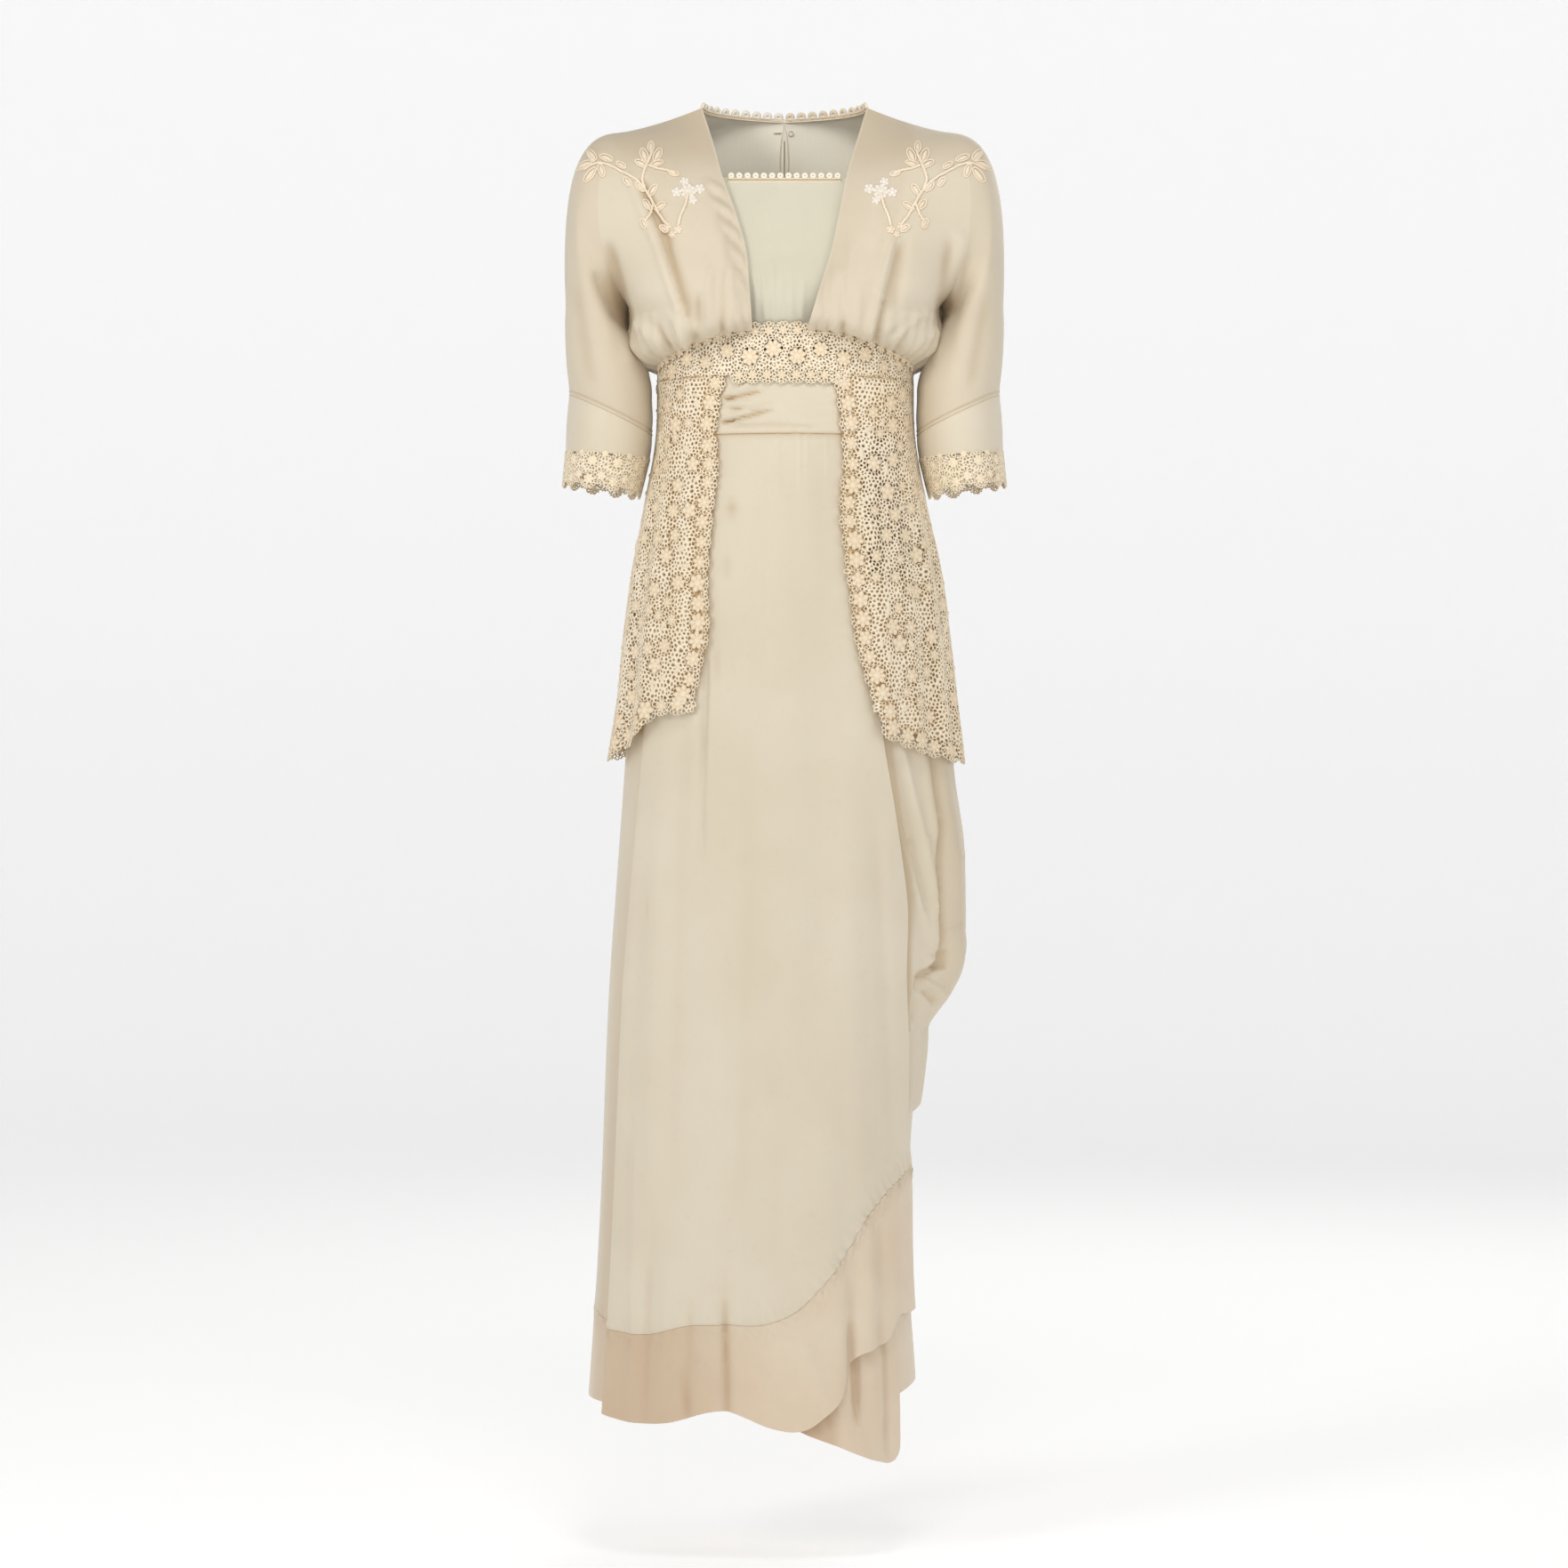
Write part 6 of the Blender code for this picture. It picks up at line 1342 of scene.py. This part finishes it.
def joined(parts):
    """One mesh of several: points and thread values in a row, and faces moved up by the points before."""
    points, faces, thread, start = [], [], [], 0
    for part_points, part_faces, part_thread in parts:
        points.append(part_points)
        thread.append(part_thread)
        faces.extend(block + start for block in part_faces)
        start += len(part_points)
    return np.concatenate(points), faces, np.concatenate(thread)


def crochet(name, parts, material=CROCHET, slot="ecru_crochet"):
    """Crochet piece from parts, with its thread values as an attribute of its points."""
    points, faces, thread = joined(parts)
    return new_piece(name, points, faces, material, slot, thread=thread)


def paces(line, pitch):
    """Lengths along a line of points, and places along it about a pitch apart, half a pitch in."""
    run = run_of(line)
    count = int(round(run[-1] / pitch))
    return run, (np.arange(count) + 0.5) * run[-1] / count


def points_at(line, run, at):
    """Points of a line, whose points lie at run, at other lengths along it."""
    return np.stack([np.interp(at, run, column) for column in line.T], axis=-1)


def spread(line, pitch):
    """Places a pitch apart along a line in the flat, with the line's heading there."""
    run, at = paces(line, pitch)
    spots = points_at(line, run, at)
    ahead = points_at(line, run, at + 1) - spots
    return *spots.T, np.arctan2(ahead[:, 1], ahead[:, 0])


def streaks(spots, seed):
    """Share of each cell that is open: wider in uneven upright rows, and varied at random."""
    random = np.random.default_rng(seed)
    u, v = spots.T
    row = np.sin(u * 0.19 + 1.5 * np.sin(v * 0.011)) + 0.6 * np.sin(u * 0.43 + 2)
    return np.clip(0.38 + 0.08 * row + random.normal(0.0, 0.11, len(spots)), 0.14, 0.76)


def front_edge_angle(side, sign, height):
    """Angle of a side's open front at a height."""
    edge = along(PEPLUM_FRONTS, side, height)
    return np.abs(angle_at(sign * edge, height, along(PEPLUM_STAND, "out", height)))


def outset(u, v, heading, reach, sign):
    """Places moved out from a line by a reach, to the right of its heading on the wearer's left."""
    return u + sign * reach * np.sin(heading), v - sign * reach * np.cos(heading)


def on_peplum(spots, side, sign, margin, drop=0.0):
    """Whether flat places lie on a side's lace, a margin in from its edges, its hem let down by a drop."""
    height = spots[:, 1]
    angle = sign * angle_from(spots[:, 0], height)
    reach = half_round(height) / 180.0
    hem = np.interp(angle, PEPLUM_HEMS["angle"], PEPLUM_HEMS[side])
    across = ((angle - front_edge_angle(side, sign, height)) * reach > margin) & (
        (179.4 - angle) * reach > margin * 0.3)
    return across & (height < BELT_BOTTOM - 0.5 - margin * 0.3) & (height > hem + margin - drop)


for side, sign, seed in (("left", 1.0, 11), ("right", -1.0, 29)):
    random = np.random.default_rng(seed)
    hem_angle = np.linspace(20, 179, 160)
    hem_height = np.interp(hem_angle, PEPLUM_HEMS["angle"], PEPLUM_HEMS[side])
    edge_height = np.linspace(BELT_BOTTOM, -590, 120)
    edge_angle = front_edge_angle(side, sign, edge_height)
    below_edge = hem_angle > front_edge_angle(side, sign, hem_height) + 1.5
    line_angle = np.concatenate([edge_angle, hem_angle[below_edge]])
    line_height = np.concatenate([edge_height, hem_height[below_edge]])
    u, v, heading = spread(rows_of(around(sign * line_angle, line_height), line_height), RIM_PITCH)
    rim_radius = random.uniform(7.4, 10.6, len(u))
    beyond = np.where(np.abs(np.cos(heading)) > 0.7, 9.0, -3.0)
    rim_u, rim_v = outset(u, v, heading, beyond - rim_radius, sign)
    rim = rows_of(rim_u, rim_v, rim_radius, random.uniform(0, 6, len(u)), random.integers(6, 9, len(u)))
    rim = rim[rim[:, 1] < BELT_BOTTOM - 6]
    low_u, high_u = sorted((sign * 30.0, sign * 540.0))
    spots = hex_sites(low_u, high_u, -665, BELT_BOTTOM, FIELD_PITCH, 0.16, seed + 1)
    spots = spots[on_peplum(spots, side, sign, 15.0) & (clearance(spots, rim) > 11)]
    count = len(spots)
    field = rows_of(
        *spots.T, random.uniform(5.6, 10.4, count), random.uniform(0, 6, count),
        random.integers(5, 9, count))
    flowers = np.concatenate([rim, field])
    sites = net_sites((low_u, high_u, -680, BELT_BOTTOM + 8), flowers, NET_PITCH, seed + 2)
    net = net_arrays(
        sites,
        lambda spots: on_peplum(spots, side, sign, -4.0, 16.0) & worked(
            spots, on_peplum(spots, side, sign, 1.0, 6.0), flowers, rim, 3.8),
        lambda spots: streaks(spots, seed + 3) + 0.16 * (clearance(spots, flowers) < 3) - 0.03,
        peplum_place)
    piece = crochet(f"peplum_{side}_net", [net])
    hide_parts(f"peplum_{side}")
    spots = hex_sites(low_u, high_u, -665, BELT_BOTTOM, LEAF_PITCH, 0.2, seed + 4)
    spots = spots[on_peplum(spots, side, sign, 8.0) & (clearance(spots, flowers) > 5.5)]
    count = len(spots)
    leaves = rows_of(
        *spots.T, random.uniform(5.5, 8.0, count), random.uniform(2.2, 3.2, count),
        random.uniform(0, 6, count))
    parts = [flower_arrays(flowers, peplum_place, FLOWER_LIFT), leaf_arrays(leaves, peplum_place, 0.2)]
    piece = crochet(f"peplum_{side}_flowers", parts, SHADED_FLOWER_CROCHET)
    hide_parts(f"peplum_edging_{side}")

# Lace belt: the same crochet, closed round the high waist with its parting at centre back. A row of
# rosettes runs along it, and small scallops stand up in front and hang down over the sash.
BELT_SCALLOP = 5.6
random = np.random.default_rng(5)
belt_round = float(half_round(np.array(-235.0)))
count = 30
u = np.linspace(-belt_round + 12, belt_round - 12, count)
angle = angle_from(u, -235.0 + 0 * u)
v = (waist_seam_height(angle) + BELT_BOTTOM) / 2 + 4 * (-1.0) ** np.arange(count)
rosettes = rows_of(u, v, random.uniform(8.0, 10.0, count), random.uniform(0, 6, count), 8)
scallop_angle = np.linspace(-26, 24, 9)
top_u = around(scallop_angle, -214.0)
top = rows_of(top_u, waist_seam_height(scallop_angle) - 0.5, BELT_SCALLOP, 0.5 * top_u, 7)
low_u = around(np.linspace(-21, 24, 8), BELT_BOTTOM)
low = rows_of(low_u, BELT_BOTTOM, BELT_SCALLOP, 0.4 * low_u, 7)
scallops = np.concatenate([top, low])
flowers = np.concatenate([rosettes, scallops])


def on_belt(spots):
    """Whether flat places lie on the belt, between its two seams and the parting behind."""
    angle = angle_from(spots[:, 0], spots[:, 1])
    below = spots[:, 1] < waist_seam_height(angle) - 1.0
    return below & (spots[:, 1] > BELT_BOTTOM) & (np.abs(angle) < 179.3)


sites = net_sites((-belt_round - 12, belt_round + 12, BELT_BOTTOM - 12, -198), flowers, 4.1, 6)
net = net_arrays(
    sites, lambda spots: worked(spots, on_belt(spots), flowers, scallops, 3.8),
    lambda spots: streaks(spots, 7) - 0.08, belt_place)
belt_net = crochet("lace_belt_net", [net])
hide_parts("lace_belt")
rim_angle = np.concatenate([np.linspace(-76, -31, 9), np.linspace(29, 76, 9)])
rim_height = waist_seam_height(rim_angle)
rim_u = around(rim_angle, rim_height)
rim = rows_of(rim_u, rim_height - 0.5, 6.4, 0.7 * rim_u, 7)
parts = [flower_arrays(flowers, belt_place, FLOWER_LIFT), flower_arrays(rim, belt_place, 3.2)]
crochet("lace_belt_flowers", parts, SHADED_FLOWER_CROCHET)

# Cuffs: lace bands sewn to the sleeve bands, of the same crochet. Small flowers follow the seam, two rows
# of round ones fill the band, and the lobes of the lower row make its ragged hem.
CUFF_FLOWERS = 12
CUFF_DEPTH = 27.0
cuff_turns = np.arange(361.0)
cuff_run = run_of(sleeve_ring("cuff_hem", cuff_turns))
whole = cuff_run[-1]


def cuff_place(u, v, sign):
    """Point of the cuff: u runs round the sleeve, and v down from the band's hem through the two rings."""
    turns = np.interp(np.mod(-sign * u, whole), cuff_run, cuff_turns)
    upper, lower = sleeve_ring("band_hem", turns), sleeve_ring("cuff_hem", turns)
    down = (-v / CUFF_DEPTH)[..., None]
    return (upper + (lower - upper) * down) * np.array([sign, 1.0, 1.0])


def on_cuff(spots):
    """Whether flat places lie once round the cuff, below its seam."""
    return (spots[:, 1] < -0.6) & (spots[:, 0] >= 0) & (spots[:, 0] < whole)


for side, sign, seed in (("left", 1.0, 41), ("right", -1.0, 57)):
    random = np.random.default_rng(seed)
    u = (np.arange(CUFF_FLOWERS) + 0.5) * whole / CUFF_FLOWERS
    between = np.arange(CUFF_FLOWERS) * whole / CUFF_FLOWERS
    flowers = np.concatenate([
        rows_of(u, -29.0, 0.75 * random.uniform(7.5, 9.0, CUFF_FLOWERS), 0.3 * u, 7),
        rows_of(u + 1.0, -9.0, random.uniform(5.8, 7.0, CUFF_FLOWERS), 0.7 * u, 8),
        rows_of(between, -1.0, 3.8, 0.4 * u, 6),
        rows_of(between, -24.5, 5.4, 0.9 * u, 6),
    ])
    seam = np.concatenate([flowers + [shift, 0, 0, 0, 0] for shift in (-whole, 0.0, whole)])
    sites = net_sites((-30.0, whole + 30.0, -42.0, 12.0), seam, 4.0, seed)
    net = net_arrays(
        sites,
        lambda spots: on_cuff(spots) & worked(spots, spots[:, 1] > -26, seam, seam[seam[:, 1] < -20], 3.4),
        lambda spots: streaks(spots, seed + 1) - 0.08, lambda u, v: cuff_place(u, v, sign))
    petals = flower_arrays(flowers, lambda u, v: cuff_place(u, v, sign), FLOWER_LIFT)
    piece = crochet(f"cuff_{side}_crochet", [net, petals])
    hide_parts(f"cuff_lace_{side}")

# Fine cords: two rows of piping at each sleeve's slanted seam, and the taped neck edges, where crochet
# picots stand in a row. Behind, the two backs lap over a narrow strip with a keyhole slit at its top.
CORD_SIDES = 6
BACK_PICOT = 11.8
FRONT_PICOT = 8.7
PALE_CROCHET = crochet_material(
    "pale_crochet", (0.68, 0.55, 0.38), (0.81, 0.745, 0.62), (0.84, 0.79, 0.685))
PEACH_CORD = crochet_material(
    "peach_cord", (0.56, 0.41, 0.24), (0.74, 0.61, 0.435), (0.78, 0.66, 0.50))


def cord_arrays(lines, outs, half, closed=False, twist=0.0):
    """Closed cords of oval section, all with the same number of points: each point is moved to the side
    by the cosine and outwards by the sine of the turn round the cord. A closed cord is a loop; an open
    one has a flat end. Its ply shows as a wave that runs along and round."""
    count, steps = lines.shape[:2]
    if closed:
        ahead = np.roll(lines, -1, axis=1) - np.roll(lines, 1, axis=1)
    else:
        ahead = np.gradient(lines, axis=1)
    ahead = unit(ahead)
    aside = unit(np.cross(outs, ahead))
    up = np.cross(ahead, aside)
    turn = 2 * np.pi * np.arange(CORD_SIDES) / CORD_SIDES
    step = np.linalg.norm(np.diff(lines, axis=1, prepend=lines[:, :1]), axis=-1).cumsum(axis=1)
    ply = 1 + twist * np.sin(2 * np.pi * step[..., None] / (3.2 * half) + turn)
    points = lines[:, :, None] + half * ply[..., None] * (
        aside[:, :, None] * np.cos(turn)[:, None] + 0.85 * up[:, :, None] * np.sin(turn)[:, None])
    index = np.arange(count * steps * CORD_SIDES).reshape(count, steps, CORD_SIDES)
    round_index = np.concatenate([index, index[:, :, :1]], axis=2)
    if closed:
        round_index = np.concatenate([round_index, round_index[:, :1]], axis=1)
    a, b = round_index[:, :-1, :-1], round_index[:, :-1, 1:]
    c, d = round_index[:, 1:, 1:], round_index[:, 1:, :-1]
    faces = [np.stack([a, b, c, d], axis=-1).reshape(-1, 4)]
    if not closed:
        faces += [index[:, 0, ::-1], index[:, -1]]
    # Painted shade round the cord: lighter on its outer side, darker beneath.
    crest = np.broadcast_to(0.62 + 0.38 * np.sin(turn), points.shape[:-1])
    return points.reshape(-1, 3), faces, crest.ravel()


def loops_on(centres, ahead, up, radius, half):
    """Round crochet picots: rings of cord in the plane of the edge's direction and the upward one."""
    turn = 2 * np.pi * np.arange(14) / 14
    ring = centres[:, None] + radius * (
        ahead[:, None] * np.cos(turn)[:, None] + up[:, None] * np.sin(turn)[:, None])
    outs = np.broadcast_to(np.cross(ahead, up)[:, None], ring.shape)
    return cord_arrays(ring, outs, half, closed=True)


def places_along(line, pitch):
    """Points of a line in space a pitch apart, with its direction there."""
    run, at = paces(line, pitch)
    return points_at(line, run, at), unit(points_at(np.gradient(line, axis=0), run, at))


neck_station = np.linspace(0.0, BACK_NECK_STATION, 61)
neck_line = back_inner_edge(neck_station)
for side, sign in SIDES:
    reflect = np.array([sign, 1.0, 1.0])
    line = neck_line * reflect
    spots, ahead = places_along(line, BACK_PICOT)
    inwards = unit(np.array([0.0, -10.0, 40.0]) - spots)
    up = np.array([0.0, 0.0, 1.0]) + 0.3 * inwards
    up = unit(up - ahead * np.sum(up * ahead, axis=1, keepdims=True))
    loops = loops_on(spots + up * 2.0, ahead, up, 2.75, 2.35)
    piece = crochet(f"neck_loops_{side}", [loops], PALE_CROCHET)
    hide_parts(f"neck_picots_{side}")
    inwards = unit(np.array([0.0, -10.0, 30.0]) - line)
    tape = np.stack([line + inwards * 1.3 + [0, 0, fall] for fall in (-0.4, -3.4)])
    crochet(f"neck_tape_{side}", [cord_arrays(tape, inwards + 0 * tape, 0.9, twist=0.1)], PEACH_CORD)

    seam_turns = np.linspace(0, 360, 121)[:-1]
    seam = sleeve_ring("slanted_seam", seam_turns)
    seam_out = unit(seam - [SLEEVE_RINGS["slanted_seam"][0], 0.0, 0.0] - seam * [0, 0, 1])
    rows = np.stack([seam + seam_out * 0.15 + [0, 0, fall] for fall in (2.6, -2.0)])
    points, faces, _ = cord_arrays(
        rows * reflect, np.stack([seam_out, seam_out]) * reflect, 0.8, closed=True)
    new_piece(f"sleeve_{side}_piping", points, faces, CREAM_SATIN, "cream_satin",
              uv=np.zeros((len(points), 2)), tint=np.full(len(points), 0.4))

x = np.linspace(-60.5, 60.5, 61)
line = rows_of(x, -66.6, -46.0)
spots, ahead = places_along(line, FRONT_PICOT)
up = np.broadcast_to([0.0, 0.0, 1.0], spots.shape)
piece = crochet("chemisette_loops", [loops_on(spots + up * 1.6, ahead, up, 2.05, 1.75)], PALE_CROCHET)
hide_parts("chemisette_picots")
tape = np.stack([line + [0, -0.9, fall] for fall in (-1.4, -5.0)])
forward = np.array([0.0, -1.0, 0.0])
crochet("chemisette_tape", [cord_arrays(tape, forward + 0 * tape, 1.0, twist=0.1)], PEACH_CORD)

station = np.linspace(2.42, WAIST, 81)
middle = np.column_stack([0 * station, read(CENTRE_BACK_LINE, "depth height", station) + [1.9, -0.5]])
strip = middle[:, None] + np.array([[8.0, 0, 0], [4.0, 0, 0.2], [0.0, 0, 0.3], [-4.0, 0, 0.2], [-8.0, 0, 0]])
placket = cloth("back_placket_chiffon", strip, CHIFFON, "ivory_chiffon", thick=0.8, tint=0.1)
station = np.linspace(BACK_NECK_STATION + 0.05, 4.0, 41)
keyhole = 1.0 + 3.4 * np.sin(np.pi * np.clip((station - 2.2) / 1.3, 0, 1)) ** 0.8
slit = read(CENTRE_BACK_LINE, "depth height", station) - [1.6, 0.0]
edge = np.stack([np.column_stack([sign * keyhole, slit]) for sign in (-1, 1)])
crochet("back_slit_edges", [cord_arrays(edge, forward + 0 * edge, 0.8)], PEACH_CORD)

# Applique: crochet sprays worked apart and sewn to each shoulder. A stem of twisted cord runs from leaves
# at the shoulder point down to small flowers, past a cluster of looped leaves, beside one white rose.
SPRAY_CROCHET = crochet_material(
    "spray_crochet", (0.62, 0.46, 0.30), (0.80, 0.68, 0.515), (0.83, 0.735, 0.59))
WHITE_CROCHET = crochet_material(
    "white_crochet", (0.66, 0.55, 0.42), (0.79, 0.745, 0.67), (0.83, 0.80, 0.745))
STEMS = [
    [(-212, -36), (-200, -28), (-186, -31), (-172, -40), (-158, -48), (-146, -60), (-137, -76), (-129, -92),
     (-121, -101)],
    [(-146, -60), (-150, -50), (-147, -38), (-142, -26), (-139, -16)],
    [(-143, -34), (-134, -38), (-124, -40), (-115, -43)],
    [(-101, -66), (-104, -80), (-109, -92), (-111, -102)],
    [(-200, -28), (-206, -22), (-209, -14)],
    [(-137, -76), (-141, -88), (-146, -96)],
]
LEAVES = [
    (-205, -42, 8.5, 3.0, 0.9), (-212, -30, 8.5, 3.0, 0.3), (-204, -19, 7.5, 2.8, 2.2),
    (-193, -38, 7.0, 2.6, 1.9), (-188, -24, 7.0, 2.6, 2.7), (-148, -22, 7.5, 3.0, 1.9),
    (-134, -22, 7.5, 3.0, 1.2), (-151, -32, 6.5, 2.6, 2.6), (-134, -32, 6.0, 2.4, 0.3),
    (-141, -12, 6.0, 2.6, 1.6), (-116, -44, 5.0, 2.0, 2.9), (-152, -58, 6.0, 2.4, 2.3),
    (-138, -62, 6.5, 2.5, 1.0), (-144, -78, 6.0, 2.4, 2.2), (-130, -80, 6.0, 2.4, 0.6),
    (-147, -98, 5.0, 2.0, 2.0), (-126, -104, 5.0, 2.2, 2.5), (-165, -52, 5.5, 2.2, 2.2),
    (-172, -33, 5.5, 2.2, 2.5),
]
BLOSSOMS = [(-122, -102, 4.6, 0.3, 5), (-111, -106, 4.8, 0.8, 5), (-117, -111, 3.8, 0.1, 5)]
ROSE = [
    (-101, -64, 9.2, 0.2, 8), (-89, -61, 6.0, 0.4, 5), (-113, -65, 6.0, 0.9, 5), (-105, -53, 5.2, 0.0, 5),
    (-96, -74, 5.0, 0.6, 5),
]
SURFACE_BLUR = 2.6


def smooth_line(corners, steps):
    """Line through given corners: read at even steps, then eased by the mean of its neighbours."""
    corners = np.array(corners, float)
    run = run_of(corners)
    line = points_at(corners, run, np.linspace(0.0, run[-1], steps))
    for _ in range(6):
        line[1:-1] = (line[:-2] + 2 * line[1:-1] + line[2:]) / 4
    return line


def shoulder_place(u, v):
    """Point of the shoulder that is seen from the front at u and v: the mean of the surface's points
    near there, weighted by exp(-(distance / blur)^2)."""
    spots = np.stack(np.broadcast_arrays(u, v), axis=-1)
    away = ((spots.reshape(-1, 1, 2) - surface[None, :, [0, 2]]) ** 2).sum(axis=-1)
    weight = np.exp((away.min(axis=1, keepdims=True) - away) / SURFACE_BLUR**2)
    depth = (weight @ surface[:, 1]) / weight.sum(axis=1)
    return np.concatenate([spots, depth.reshape(spots.shape[:-1])[..., None]], axis=-1)[..., [0, 2, 1]]


for side, sign in SIDES:
    surface = []
    for name in (f"bodice_front_{side}_chiffon", f"sleeve_{side}_chiffon"):
        mesh = bpy.data.objects[name].data
        flat = np.empty(len(mesh.vertices) * 3, dtype=np.float32)
        mesh.vertices.foreach_get("co", flat)
        outer = flat.reshape(-1, 3)[: len(mesh.vertices) // 2] / MM
        surface.append(outer[(outer[:, 1] < 2) & (outer[:, 2] > -150)])
    surface = np.concatenate(surface)
    turned = np.array([-sign, 1.0])
    stems = np.stack([smooth_line(stem, 40) for stem in STEMS]) * turned
    base, out = spot_on(shoulder_place, stems[..., 0], stems[..., 1])
    leaves = np.array(LEAVES)
    blossoms = np.array(BLOSSOMS)
    rose = np.array(ROSE)
    for table in (leaves, blossoms, rose):
        table[:, 0] *= -sign
    leaves[:, 4] = np.where(sign > 0, np.pi - leaves[:, 4], leaves[:, 4])
    turn = np.linspace(0, 2 * np.pi, 17)[:-1]
    along_u, across_v = leaves[:, 2, None] * 1.1 * np.cos(turn), leaves[:, 3, None] * 1.3 * np.sin(turn)
    lean = leaves[:, 4, None]
    loop, loop_out = spot_on(
        shoulder_place, leaves[:, 0, None] + along_u * np.cos(lean) - across_v * np.sin(lean),
        leaves[:, 1, None] + along_u * np.sin(lean) + across_v * np.cos(lean))
    parts = [
        cord_arrays(base + out * 0.8, out, 1.6, twist=0.2), leaf_arrays(leaves, shoulder_place, 0.0),
        cord_arrays(loop + loop_out * 0.7, loop_out, 1.0, closed=True, twist=0.2),
        flower_arrays(blossoms, shoulder_place, 0.5)]
    piece = crochet(f"applique_spray_{side}", parts, SPRAY_CROCHET)
    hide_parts(f"stem_{side}", f"leaves_{side}", f"bud_{side}")
    parts = [flower_arrays(rose, shoulder_place, 0.5)]
    piece = crochet(f"applique_rose_{side}", parts, WHITE_CROCHET, "white_crochet")
    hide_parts(f"rose_{side}")

# Hook and eye of dull steel wire, sewn to the two backs at the top of the parting. They keep their own
# solids: drawn wire with fine marks along it, duller where the plating has worn.
steel, tree, shader = new_material("hook_steel")
place = add_node(tree, "ShaderNodeTexCoord").outputs["Object"]
wear = add_node(tree, "ShaderNodeTexNoise", Vector=place, Scale=900.0, Detail=4.0).outputs["Fac"]
tone = add_node(
    tree, "ShaderNodeMix", {0: wear, 6: (0.30, 0.28, 0.25, 1.0), 7: (0.62, 0.60, 0.56, 1.0)},
    data_type="RGBA")
dull = add_node(tree, "ShaderNodeMapRange", Value=wear, To_Min=0.28, To_Max=0.55)
marks = add_node(tree, "ShaderNodeBump", Height=wear, Distance=0.00008, Strength=0.5)
feed(
    shader, Base_Color=tone.outputs[2], Roughness=dull.outputs["Result"], Normal=marks.outputs["Normal"],
    Metallic=1.0)
for node in ("hook", "eye"):
    bpy.data.objects[node].data.materials[0] = steel

bpy.context.view_layer.update()
